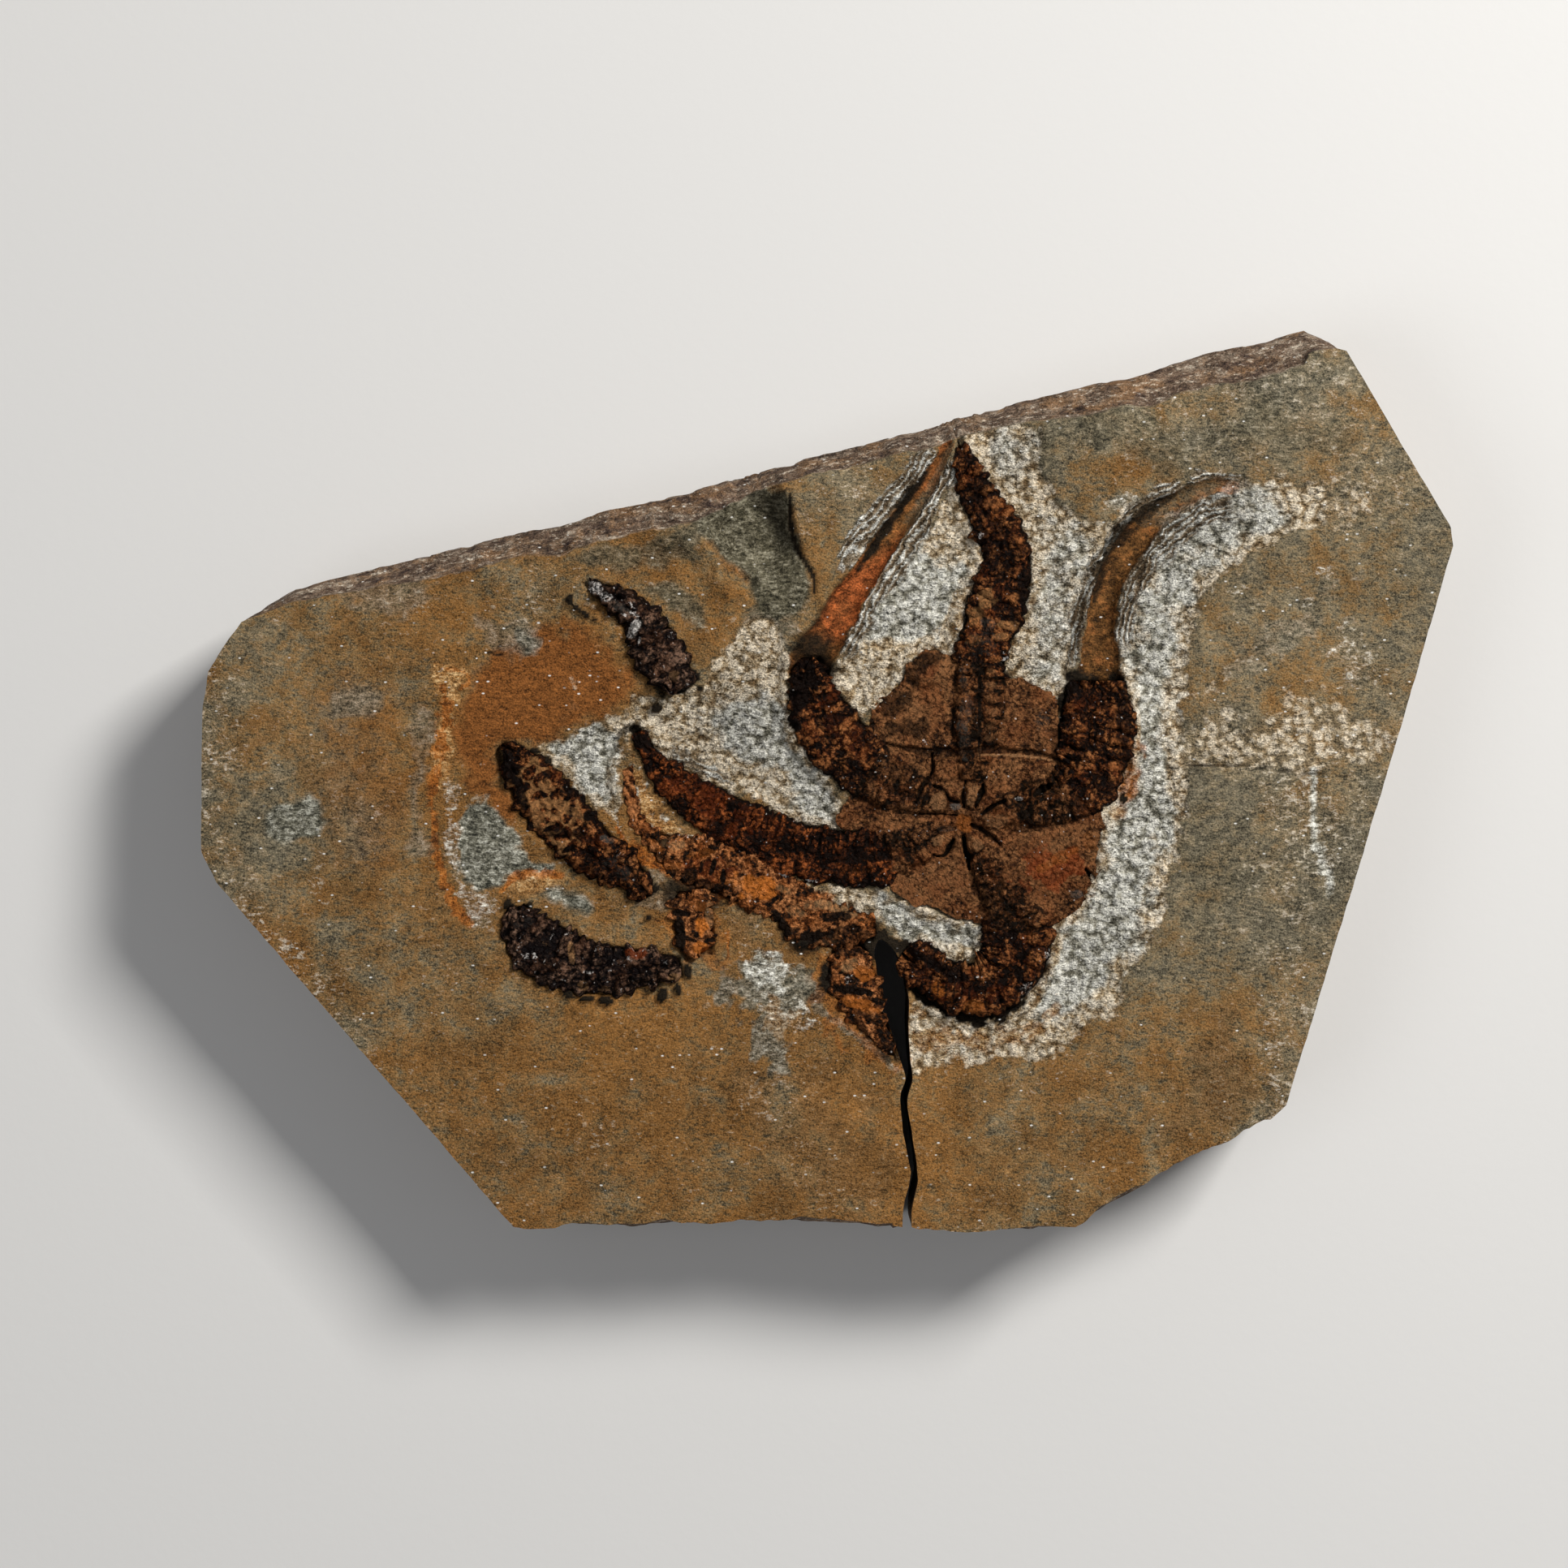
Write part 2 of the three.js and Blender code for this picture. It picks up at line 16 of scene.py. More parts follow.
import bpy
import numpy as np
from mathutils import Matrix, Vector


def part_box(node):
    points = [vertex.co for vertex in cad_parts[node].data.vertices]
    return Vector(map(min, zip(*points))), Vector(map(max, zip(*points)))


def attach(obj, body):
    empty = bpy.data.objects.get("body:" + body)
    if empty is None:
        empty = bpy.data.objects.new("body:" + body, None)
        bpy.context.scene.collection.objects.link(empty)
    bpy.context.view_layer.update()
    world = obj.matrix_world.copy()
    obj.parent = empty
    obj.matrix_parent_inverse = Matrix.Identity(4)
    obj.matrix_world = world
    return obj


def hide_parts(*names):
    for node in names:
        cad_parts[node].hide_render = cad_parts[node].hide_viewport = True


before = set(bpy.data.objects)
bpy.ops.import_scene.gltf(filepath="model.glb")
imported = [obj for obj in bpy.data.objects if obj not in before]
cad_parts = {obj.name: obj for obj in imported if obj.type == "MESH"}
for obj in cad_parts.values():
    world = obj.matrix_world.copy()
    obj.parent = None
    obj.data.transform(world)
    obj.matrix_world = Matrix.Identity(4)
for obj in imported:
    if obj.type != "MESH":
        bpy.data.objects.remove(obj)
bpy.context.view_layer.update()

MM = 0.001
log = logging.getLogger("brittle_star")

Array = np.ndarray
Point = tuple[float, float]
Station = tuple[float, float, float]
Colour = tuple[float, float, float]
Trio = tuple[Colour, Colour, Colour]
Piece = bpy.types.Object
Material = bpy.types.Material


# ---------------------------------------------------------------- shapes on the plane


def rise(low: float, high: float, value: Array) -> Array:
    """Eases from 0 at `low` to 1 at `high`."""
    share = np.clip((value - low) / (high - low), 0.0, 1.0)
    return share * share * (3 - 2 * share)


def flowing(points: Array, legs: int = 10, closed: bool = False) -> Array:
    """A smooth curve through points.

    Args:
        points: One row for each point, its first two columns the place.
        legs: How many steps each stretch between two points gets.
        closed: Whether the last point joins the first.

    Returns:
        The points of the curve, with the same columns.
    """
    if closed:
        framed = np.vstack([points[-1:], points, points[:2]])
    else:
        framed = np.vstack([2 * points[0] - points[1], points, 2 * points[-1] - points[-2]])
    share = np.linspace(0, 1, legs, endpoint=False)[:, None]
    curve = []
    for before, start, end, after in zip(framed, framed[1:], framed[2:], framed[3:]):
        steps = (start - before, end - start, after - end)
        first, gap, last = (max(math.hypot(*step[:2]), 1e-6) ** 0.5 for step in steps)
        leave = gap * (steps[0] / first - (end - before) / (first + gap) + steps[1] / gap)
        reach = gap * (steps[1] / gap - (after - start) / (gap + last) + steps[2] / last)
        curve.append(
            start * (2 * share**3 - 3 * share**2 + 1)
            + leave * (share**3 - 2 * share**2 + share)
            + end * (3 * share**2 - 2 * share**3)
            + reach * (share**3 - share**2)
        )
    return np.vstack(curve if closed else [*curve, points[-1:]])


class Noise:
    """Seeded noise over the plane, the same on every run."""

    def __init__(self, seed: int) -> None:
        """Draws the table of random numbers that the noise reads."""
        self.table = np.random.default_rng(seed).random(1 << 16)

    def draw(self, column: Array, row: Array, salt: int = 0) -> Array:
        """A random number from 0 to 1 for each lattice point."""
        mixed = (column.astype(np.int64) * 73856093) ^ (row.astype(np.int64) * 19349663) ^ (salt * 83492791)
        return self.table[(mixed ^ (mixed >> 16)) & 0xFFFF]

    def smooth(self, x: Array, y: Array, salt: int = 0) -> Array:
        """Smooth noise with features one unit across.

        Args:
            x: Places along the slab, in features.
            y: Places across it.
            salt: Which of many unlike noises this is.

        Returns:
            Noise from -1 to 1.
        """
        column, row = np.floor(x), np.floor(y)
        right, up = x - column, y - row
        right, up = right * right * (3 - 2 * right), up * up * (3 - 2 * up)
        low = self.draw(column, row, salt) * (1 - right) + self.draw(column + 1, row, salt) * right
        high = self.draw(column, row + 1, salt) * (1 - right) + self.draw(column + 1, row + 1, salt) * right
        return 2 * (low * (1 - up) + high * up) - 1

    def layered(self, x: Array, y: Array, size: float, layers: int = 3, salt: int = 0) -> Array:
        """Layers of smooth noise, each half as big and half as strong as the last.

        Args:
            x: Places along the slab.
            y: Places across it.
            size: The size of the largest features.
            layers: How many layers are added.
            salt: Which of many unlike noises this is.

        Returns:
            Noise from about -1 to 1.
        """
        total, weight, strength = 0.0, 0.0, 1.0
        for layer in range(layers):
            turn = 0.6 + 1.1 * layer
            along = (x * math.cos(turn) + y * math.sin(turn)) / size
            across = (y * math.cos(turn) - x * math.sin(turn)) / size
            total = total + strength * self.smooth(along, across, salt + 7 * layer)
            weight += strength
            strength, size = strength * 0.55, size * 0.48
        return 1.5 * total / weight

    def cells(self, x: Array, y: Array, size: float, salt: int = 0) -> tuple[Array, Array, Array]:
        """Scattered cells, as of grains that lie side by side.

        Args:
            x: Places along the slab.
            y: Places across it.
            size: How far apart the grains lie.
            salt: Which of many unlike scatters this is.

        Returns:
            The distance to the nearest grain and how much further the next one is, in grain
            sizes, and a random number for the nearest.
        """
        along, across = x / size, y / size
        column, row = np.floor(along), np.floor(across)
        nearest, second = np.full(along.shape, 9.0), np.full(along.shape, 9.0)
        tone = np.zeros(along.shape)
        for right in (-1, 0, 1):
            for up in (-1, 0, 1):
                i, j = column + right, row + up
                far = np.hypot(
                    along - i - 0.12 - 0.76 * self.draw(i, j, salt + 1),
                    across - j - 0.12 - 0.76 * self.draw(i, j, salt + 2),
                )
                closer = far < nearest
                second = np.where(closer, nearest, np.minimum(second, far))
                tone = np.where(closer, self.draw(i, j, salt + 3), tone)
                nearest = np.minimum(nearest, far)
        return nearest, second - nearest, tone


NOISE = Noise(1651)


@dataclass(frozen=True)
class Oval:
    """An oval on the plane: its middle, its two half widths and its turn in radians."""

    x: float
    y: float
    rx: float
    ry: float
    turn: float = 0.0

    def inside(self, x: Array, y: Array) -> Array:
        """How deep inside the oval points lie.

        Args:
            x: Places along the slab.
            y: Places across it.

        Returns:
            1 at the middle, 0 on the rim and negative outside.
        """
        dx, dy = x - self.x, y - self.y
        along = dx * math.cos(self.turn) + dy * math.sin(self.turn)
        across = dy * math.cos(self.turn) - dx * math.sin(self.turn)
        return 1 - np.hypot(along / self.rx, across / self.ry)


class Outline:
    """A closed outline that knows how far inside it a point lies."""

    REACH = 3.0

    def __init__(self, points: Sequence[Point], legs: int = 3) -> None:
        """Rounds the outline's corners with `legs` steps for each side, or none where it is 1."""
        corners = np.array(points, float)
        self.points = flowing(corners, legs, closed=True) if legs > 1 else corners

    def inside(self, x: Array, y: Array) -> Array:
        """How deep inside the outline points lie.

        Args:
            x: Places along the slab.
            y: Places across it.

        Returns:
            The distance to the outline: positive inside, and never below -REACH.
        """
        low, high = self.points.min(0) - self.REACH, self.points.max(0) + self.REACH
        near = (x > low[0]) & (x < high[0]) & (y > low[1]) & (y < high[1])
        px, py = x[near], y[near]
        squared, within = np.full(px.shape, self.REACH**2), np.zeros(px.shape, bool)
        for (ax, ay), (bx, by) in zip(self.points, np.roll(self.points, -1, axis=0)):
            ex, ey = bx - ax, by - ay
            share = np.clip(((px - ax) * ex + (py - ay) * ey) / max(ex * ex + ey * ey, 1e-12), 0, 1)
            squared = np.minimum(squared, (px - ax - share * ex) ** 2 + (py - ay - share * ey) ** 2)
            if ay != by:
                within ^= ((ay > py) != (by > py)) & (px < ax + (py - ay) * ex / ey)
        deep = np.full(x.shape, -self.REACH)
        deep[near] = np.where(within, 1, -1) * np.sqrt(squared)
        return deep


class Trail:
    """A smooth path with a half width, such as the middle line of an arm."""

    LEGS = 8

    def __init__(self, stations: Sequence[Station]) -> None:
        """Runs the path through its stations.

        Args:
            stations: Its x, y and half width at each.
        """
        self.points = flowing(np.array(stations, float), self.LEGS)
        steps = np.hypot(*np.diff(self.points[:, :2], axis=0).T)
        self.run = np.concatenate([[0], np.cumsum(steps)])
        self.length = float(self.run[-1])

    def at(self, run: Array) -> tuple[Array, Array, Array]:
        """The x, y and half width at distances along the path."""
        return tuple(np.interp(run, self.run, column) for column in self.points.T)

    def place(self, run: Array, side: Array) -> tuple[Array, Array]:
        """Finds points beside the path.

        Args:
            run: Distances along it.
            side: Distances to its left.

        Returns:
            Their x and y.
        """
        x, y, _ = self.at(run)
        ax, ay, _ = self.at(run - 0.5)
        bx, by, _ = self.at(run + 0.5)
        long = np.maximum(np.hypot(bx - ax, by - ay), 1e-9)
        return x - side * (by - ay) / long, y + side * (bx - ax) / long

    def locate(self, x: Array, y: Array, reach: float = 4.0) -> tuple[Array, Array, Array]:
        """Where points lie beside the path.

        Args:
            x: Places along the slab.
            y: Places across it.
            reach: How far from the path a point is still looked at.

        Returns:
            The distance along the path, the distance to its left, and the half width there.
            Points out of reach get 99 to the left.
        """
        low, high = self.points[:, :2].min(0) - reach, self.points[:, :2].max(0) + reach
        near = (x > low[0]) & (x < high[0]) & (y > low[1]) & (y < high[1])
        px, py = x[near], y[near]
        best = np.full(px.shape, reach)
        run, side, half = np.zeros(px.shape), np.full(px.shape, 99.0), np.ones(px.shape)
        for i, ((ax, ay, ah), (bx, by, bh)) in enumerate(zip(self.points, self.points[1:])):
            ex, ey = bx - ax, by - ay
            squared = max(ex * ex + ey * ey, 1e-12)
            share = np.clip(((px - ax) * ex + (py - ay) * ey) / squared, 0, 1)
            dx, dy = px - ax - share * ex, py - ay - share * ey
            far = np.hypot(dx, dy)
            closer = far < best
            best = np.where(closer, far, best)
            run = np.where(closer, self.run[i] + share * math.sqrt(squared), run)
            side = np.where(closer, np.where(ex * dy - ey * dx > 0, far, -far), side)
            half = np.where(closer, ah + share * (bh - ah), half)
        runs, sides, halves = np.zeros(x.shape), np.full(x.shape, 99.0), np.ones(x.shape)
        runs[near], sides[near], halves[near] = run, side, half
        return runs, sides, halves


# ---------------------------------------------------------------- meshes


@dataclass
class Relief:
    """A sheet of square cells over a grid, to be closed into a body.

    Attributes:
        points: The grid's points in millimetres, rows by columns by three.
        kept: Which cells are kept, rows - 1 by columns - 1.
        marks: Values at the grid's points, by name, that a finish reads.
    """

    points: Array
    kept: Array
    marks: dict[str, Array] = field(default_factory=dict)

    def heal(self) -> None:
        """Fills cells until no two kept cells meet at a corner alone."""
        while True:
            a, b = self.kept[:-1, :-1], self.kept[:-1, 1:]
            c, d = self.kept[1:, :-1], self.kept[1:, 1:]
            falling, rising = a & d & ~b & ~c, b & c & ~a & ~d
            if not (falling.any() or rising.any()):
                return
            self.kept[:-1, 1:] |= falling
            self.kept[:-1, :-1] |= rising

    def quads(self) -> Array:
        """The grid points of each kept cell.

        Returns:
            Four for each cell, counter-clockwise from above.
        """
        rows, columns = self.points.shape[:2]
        index = np.arange(rows * columns).reshape(rows, columns)
        corners = [index[:-1, :-1], index[:-1, 1:], index[1:, 1:], index[1:, :-1]]
        return np.stack([corner[self.kept] for corner in corners], axis=1)

    def rim(self) -> Array:
        """The grid points round the kept cells.

        Returns:
            One loop of them, counter-clockwise.
        """
        quads = self.quads()
        starts, ends = quads.ravel(), np.roll(quads, -1, axis=1).ravel()
        count = self.points.shape[0] * self.points.shape[1]
        twin = np.isin(starts * count + ends, ends * count + starts)
        follow = dict(zip(starts[~twin].tolist(), ends[~twin].tolist()))
        loops = []
        while follow:
            first, at = next(iter(follow.items()))
            loop = [first]
            del follow[first]
            while at != first:
                loop.append(at)
                at = follow.pop(at)
            loops.append(loop)
        return np.array(max(loops, key=len))

    def close(self, name: str, rings: Sequence[Array], edge: dict[str, float] | None = None) -> Piece:
        """Makes the closed body: the sheet, walls down through rings, and a flat underside.

        Args:
            name: The piece's name.
            rings: Loops below the rim, each with as many points as the rim.
            edge: Values that a mark takes on the walls, by the mark's name.

        Returns:
            The new piece, in metres, smooth but for its rim and underside.
        """
        quads, rim = self.quads(), self.rim()
        used = np.unique(quads)
        renumber = np.full(self.points.shape[0] * self.points.shape[1], -1)
        renumber[used] = np.arange(len(used))
        sheet = self.points.reshape(-1, 3)[used]
        count = len(rim)
        loops = [renumber[rim]] + [len(used) + ring * count + np.arange(count) for ring in range(len(rings))]
        walls = [
            np.stack([np.roll(upper, -1), upper, lower, np.roll(lower, -1)], axis=1)
            for upper, lower in zip(loops, loops[1:])
        ]
        faces = np.vstack([renumber[quads], *walls])
        points = np.vstack([sheet, *rings]) * MM
        mesh = bpy.data.meshes.new(name)
        mesh.vertices.add(len(points))
        mesh.vertices.foreach_set("co", points.astype(np.float32).ravel())
        mesh.loops.add(faces.size + count)
        corners = np.concatenate([faces.ravel(), loops[-1][::-1]])
        mesh.loops.foreach_set("vertex_index", corners.astype(np.int32))
        mesh.polygons.add(len(faces) + 1)
        mesh.polygons.foreach_set("loop_start", (np.arange(len(faces) + 1) * 4).astype(np.int32))
        mesh.polygons.foreach_set("use_smooth", np.ones(len(faces) + 1, bool))
        for mark, values in self.marks.items():
            attribute = mesh.attributes.new(mark, "FLOAT", "POINT")
            on_rim = values.ravel()[rim]
            below = [on_rim if mark not in (edge or {}) else np.full(count, edge[mark]) for _ in rings]
            everywhere = np.concatenate([values.ravel()[used], *below])
            attribute.data.foreach_set("value", everywhere.astype(np.float32))
        mesh.update(calc_edges=True)
        mesh.validate()
        self.crease(mesh, [loops[0], loops[-1]])
        piece = bpy.data.objects.new(name, mesh)
        bpy.context.scene.collection.objects.link(piece)
        return piece

    @staticmethod
    def crease(mesh: bpy.types.Mesh, loops: Sequence[Array]) -> None:
        """Keeps the edges along loops of points sharp.

        Args:
            mesh: The mesh that holds them.
            loops: Loops of point numbers.
        """
        ends = np.zeros(len(mesh.edges) * 2, np.int32)
        mesh.edges.foreach_get("vertices", ends)
        ends = np.sort(ends.reshape(-1, 2), axis=1)
        keys = ends[:, 0].astype(np.int64) * len(mesh.vertices) + ends[:, 1]
        sharp = np.zeros(len(mesh.edges), bool)
        for loop in loops:
            pair = np.sort(np.stack([loop, np.roll(loop, -1)], axis=1), axis=1)
            sharp |= np.isin(keys, pair[:, 0].astype(np.int64) * len(mesh.vertices) + pair[:, 1])
        attribute = mesh.attributes.new("sharp_edge", "BOOLEAN", "EDGE")
        attribute.data.foreach_set("value", sharp)


# ---------------------------------------------------------------- shader maths and finishes


class Shade:
    """A value in a material, with the arithmetic that finishes use."""

    def __init__(self, bench: "Bench", socket: bpy.types.NodeSocket) -> None:
        """Wraps an output socket of the bench's tree."""
        self.bench, self.socket = bench, socket

    def math(self, operation: str, *values: "Shade | float") -> "Shade":
        """Adds a Math node whose sockets take the values in order."""
        return self.bench.add("ShaderNodeMath", {"operation": operation}, dict(enumerate(values)))

    def __add__(self, other: "Shade | float") -> "Shade":
        """Their sum."""
        return self.math("ADD", self, other)

    def __radd__(self, other: float) -> "Shade":
        """Their sum."""
        return self.math("ADD", other, self)

    def __sub__(self, other: "Shade | float") -> "Shade":
        """Their difference."""
        return self.math("SUBTRACT", self, other)

    def __rsub__(self, other: float) -> "Shade":
        """Their difference, the other way round."""
        return self.math("SUBTRACT", other, self)

    def __mul__(self, other: "Shade | float") -> "Shade":
        """Their product."""
        return self.math("MULTIPLY", self, other)

    def __rmul__(self, other: float) -> "Shade":
        """Their product."""
        return self.math("MULTIPLY", other, self)

    def sine(self) -> "Shade":
        """Its sine."""
        return self.math("SINE", self)

    def clamp(self, low: float = 0.0, high: float = 1.0) -> "Shade":
        """The value kept between `low` and `high`."""
        return self.math("MINIMUM", self.math("MAXIMUM", self, low), high)

    def above(self, low: float, high: float) -> "Shade":
        """Eases from 0 where the value is `low` to 1 where it is `high`."""
        inputs = {"Value": self, "From Min": low, "From Max": high}
        return self.bench.add("ShaderNodeMapRange", {"interpolation_type": "SMOOTHSTEP"}, inputs)


class Bench:
    """One material and the nodes placed in it."""

    def __init__(self, name: str) -> None:
        """Starts an empty material.

        Args:
            name: Its name.
        """
        self.material = bpy.data.materials.new(name)
        self.material.use_nodes = True
        self.tree = self.material.node_tree
        self.tree.nodes.clear()

    def add(
        self, kind: str, settings: dict | None = None, inputs: dict | None = None, output: int | str = 0
    ) -> Shade:
        """Places a node.

        Args:
            kind: The node's type.
            settings: Its settings, such as an operation, or the stops of a ramp.
            inputs: Values or links of its sockets, by number, name or identifier.
            output: Which of its outputs is wanted.

        Returns:
            The wanted output.
        """
        node = self.tree.nodes.new(kind)
        for key, value in (settings or {}).items():
            if key == "stops":
                self.set_stops(node, value)
            else:
                setattr(node, key, value)
        for key, value in (inputs or {}).items():
            socket = self.socket(node.inputs, key)
            if isinstance(value, Shade):
                self.tree.links.new(value.socket, socket)
            elif isinstance(value, tuple) and socket.type == "RGBA":
                socket.default_value = (*value[:3], 1.0)
            else:
                socket.default_value = value
        return Shade(self, self.socket(node.outputs, output) if node.outputs else None)

    @staticmethod
    def socket(sockets: bpy.types.bpy_prop_collection, key: int | str) -> bpy.types.NodeSocket:
        """Finds a socket.

        Args:
            sockets: A node's inputs or outputs.
            key: The socket's number, identifier or name.

        Returns:
            The socket.
        """
        if isinstance(key, int):
            return sockets[key]
        return next((s for s in sockets if s.identifier == key), None) or sockets[key]

    @staticmethod
    def set_stops(node: bpy.types.Node, stops: Sequence[tuple[float, Colour]]) -> None:
        """Gives a ramp node its stops.

        Args:
            node: The ramp.
            stops: Places and their colours, in order.
        """
        elements = node.color_ramp.elements
        while len(elements) < len(stops):
            elements.new(0.5)
        for element, (place, colour) in zip(elements, stops):
            element.position = place
            element.color = (*colour, 1.0)

    def mark(self, mark: "Mark") -> Shade:
        """The value of a mark, which the mesh carries under the mark's name."""
        return self.add("ShaderNodeAttribute", {"attribute_name": mark.value}, output="Fac")

    def millimetres(self, stretch: Colour = (1.0, 1.0, 1.0)) -> Shade:
        """The place on the piece in millimetres.

        Args:
            stretch: How far it is stretched along each axis.

        Returns:
            The place.
        """
        place = self.add("ShaderNodeTexCoord", output="Object")
        scale = tuple(part / MM for part in stretch)
        return self.add("ShaderNodeVectorMath", {"operation": "MULTIPLY"}, {0: place, 1: scale})

    def noise(
        self, place: Shade, size: float, detail: float = 3.0, rough: float = 0.55, bend: float = 0.0
    ) -> Shade:
        """Noise from 0 to 1, mostly near 0.5, with features `size` millimetres across."""
        inputs = {"Vector": place, "Scale": 1 / size, "Detail": detail, "Roughness": rough}
        return self.add("ShaderNodeTexNoise", None, inputs | {"Distortion": bend}, "Fac")

    def grains(self, place: Shade, size: float, output: str = "Distance") -> Shade:
        """Cells `size` millimetres apart: the distance from their middles, or their colour."""
        return self.add("ShaderNodeTexVoronoi", None, {"Vector": place, "Scale": 1 / size}, output)

    def mix(self, share: Shade | float, first: Shade | Colour, second: Shade | Colour) -> Shade:
        """Blends two colours, with `share` of the second over the first."""
        inputs = {"Factor_Float": share, "A_Color": first, "B_Color": second}
        return self.add("ShaderNodeMix", {"data_type": "RGBA"}, inputs, "Result_Color")

    def ramp(self, value: Shade, stops: Sequence[tuple[float, Colour]]) -> Shade:
        """Turns a value into a colour through stops."""
        return self.add("ShaderNodeValToRGB", {"stops": stops}, {"Fac": value}, "Color")

    def tint(self, colour: Shade, amount: Shade) -> Shade:
        """Scales a colour's brightness."""
        return self.add("ShaderNodeVectorMath", {"operation": "SCALE"}, {0: colour, "Scale": amount})

    def trio(self, value: Shade, colours: Trio) -> Shade:
        """A ramp of three colours over speckle that stays near 0.5."""
        return self.ramp(value, tuple(zip((0.36, 0.49, 0.64), colours)))

    def bend(self, place: Shade, size: float, reach: float) -> Shade:
        """The place, pulled about by noise so that cells made from it lose their straight edges.

        Args:
            place: The place in millimetres.
            size: How far apart the pulls lie.
            reach: How far they reach.

        Returns:
            The bent place.
        """
        inputs = {"Vector": place, "Scale": 1 / size, "Detail": 2.0}
        pull = self.add("ShaderNodeTexNoise", None, inputs, "Color")
        pull = self.add("ShaderNodeVectorMath", {"operation": "SUBTRACT"}, {0: pull, 1: (0.5, 0.5, 0.5)})
        pull = self.add("ShaderNodeVectorMath", {"operation": "SCALE"}, {0: pull, "Scale": 2 * reach})
        return self.add("ShaderNodeVectorMath", {"operation": "ADD"}, {0: place, 1: pull})

    def bump(self, height: Shade, depth: float, below: Shade | None = None) -> Shade:
        """A bump whose height of 1 stands `depth` millimetres proud.

        Args:
            height: The height.
            depth: How far a height of 1 stands out.
            below: A bump that this one lies on.

        Returns:
            The bumped normal.
        """
        inputs = {"Height": height, "Distance": depth * MM, "Strength": 1.0}
        if below is not None:
            inputs["Normal"] = below
        return self.add("ShaderNodeBump", None, inputs, "Normal")

    def finish(
        self, colour: Shade | Colour, roughness: Shade | float, normal: Shade, **plain: float
    ) -> Material:
        """Ends the material in a surface.

        Args:
            colour: Its base colour.
            roughness: Its roughness.
            normal: Its bumped normal.
            plain: Other sockets that are the same all over, with _ for a space.

        Returns:
            The material.
        """
        inputs = {"Base Color": colour, "Roughness": roughness, "Normal": normal}
        inputs.update({key.replace("_", " "): value for key, value in plain.items()})
        surface = self.add("ShaderNodeBsdfPrincipled", None, inputs, "BSDF")
        self.add("ShaderNodeOutputMaterial", None, {"Surface": surface})
        return self.material


# ---------------------------------------------------------------- the stone's upper face


class Mark(Enum):
    """What a patch of the stone or of a fossil shows: the marks that their finishes read."""

    PECKED = "pecked"
    BLOB = "blob"
    WHITE = "white"
    OCHRE = "ochre"
    RUST = "rust"
    YELLOW = "yellow"
    RED = "red"
    GREY = "grey"
    FRESH = "fresh"
    GROOVE = "groove"
    # Painted shade and shadow in the chip, gaps, a hole and below an arm, and also plain dark stone and the
    # black bits of fossil.
    SHADE_AND_DARK = "shade"
    # Pale stone on the slab; on the fossil, mostly painted glints, with some pale flecks of its own.
    PALE = "pale"
    SIDE = "side"
    GAP = "gap"
    TONE = "tone"
    ORANGE = "orange"
    TAN = "tan"
    BLACK = "black"
    FROST = "frost"
    COMBED = "combed"
    REACH = "reach"


STONE_MARKS = (
    Mark.PECKED, Mark.WHITE, Mark.OCHRE, Mark.RUST, Mark.YELLOW, Mark.RED, Mark.GREY, Mark.FRESH, Mark.SHADE_AND_DARK,
    Mark.PALE, Mark.FROST, Mark.SIDE)
FOSSIL_MARKS = (Mark.GAP, Mark.TONE, Mark.ORANGE, Mark.TAN, Mark.BLACK, Mark.PALE, Mark.RED, Mark.GREY)
Spot = TypeVar("Spot")


def lay(marks: dict[Mark | str, Array], mark: Mark | str, cover: Array) -> None:
    """Lays a cover over what a mark already shows."""
    marks[mark] = np.maximum(marks[mark], cover)


def marked(kind: type[Spot], **groups: tuple[tuple, ...]) -> tuple[Spot, ...]:
    """Patches, streaks or stains, from rows of their fields under the names of their marks."""
    return tuple(kind(Mark(name), *row) for name, rows in groups.items() for row in rows)


@dataclass(frozen=True)
class Patch:
    """A patch of one mark inside an outline.

    Attributes:
        mark: What it shows.
        points: Its outline.
        strength: How strongly it shows, from 0 to about 1.
        soft: How wide its rim fades.
        ragged: How far the rim strays.
        size: How far apart the strays lie.
    """

    mark: Mark
    points: tuple[Point, ...]
    strength: float = 1.0
    soft: float = 0.5
    ragged: float = 0.6
    size: float = 1.3

    def cover(self, x: Array, y: Array) -> Array:
        """How strongly the patch shows.

        Args:
            x: Places along the slab.
            y: Places across it.

        Returns:
            From 0 to its strength, at each place.
        """
        deep = Outline(self.points).inside(x, y)
        stray = self.ragged * NOISE.layered(x, y, self.size, 3, salt=len(self.points))
        return self.strength * rise(-self.soft, self.soft, deep + stray)


@dataclass(frozen=True)
class Streak:
    """A streak of one mark along a path.

    Attributes:
        mark: What it shows.
        stations: Its path, as x, y and half width.
        strength: How strongly it shows.
        drop: How deep it is sunk, or how high it stands where negative.
        ragged: How far its edges stray, as a share of its width.
    """

    mark: Mark
    stations: tuple[Station, ...]
    strength: float = 1.0
    drop: float = 0.0
    ragged: float = 0.35

    def cover(self, x: Array, y: Array) -> Array:
        """How strongly the streak shows.

        Args:
            x: Places along the slab.
            y: Places across it.

        Returns:
            From 0 to 1, at each place.
        """
        _, side, half = Trail(self.stations).locate(x, y, 2.6)
        stray = np.maximum(1 + self.ragged * NOISE.layered(x, y, 0.8, 3, salt=11), 0.25)
        return 1 - rise(0.6, 1.15, np.abs(side) / (half * stray))


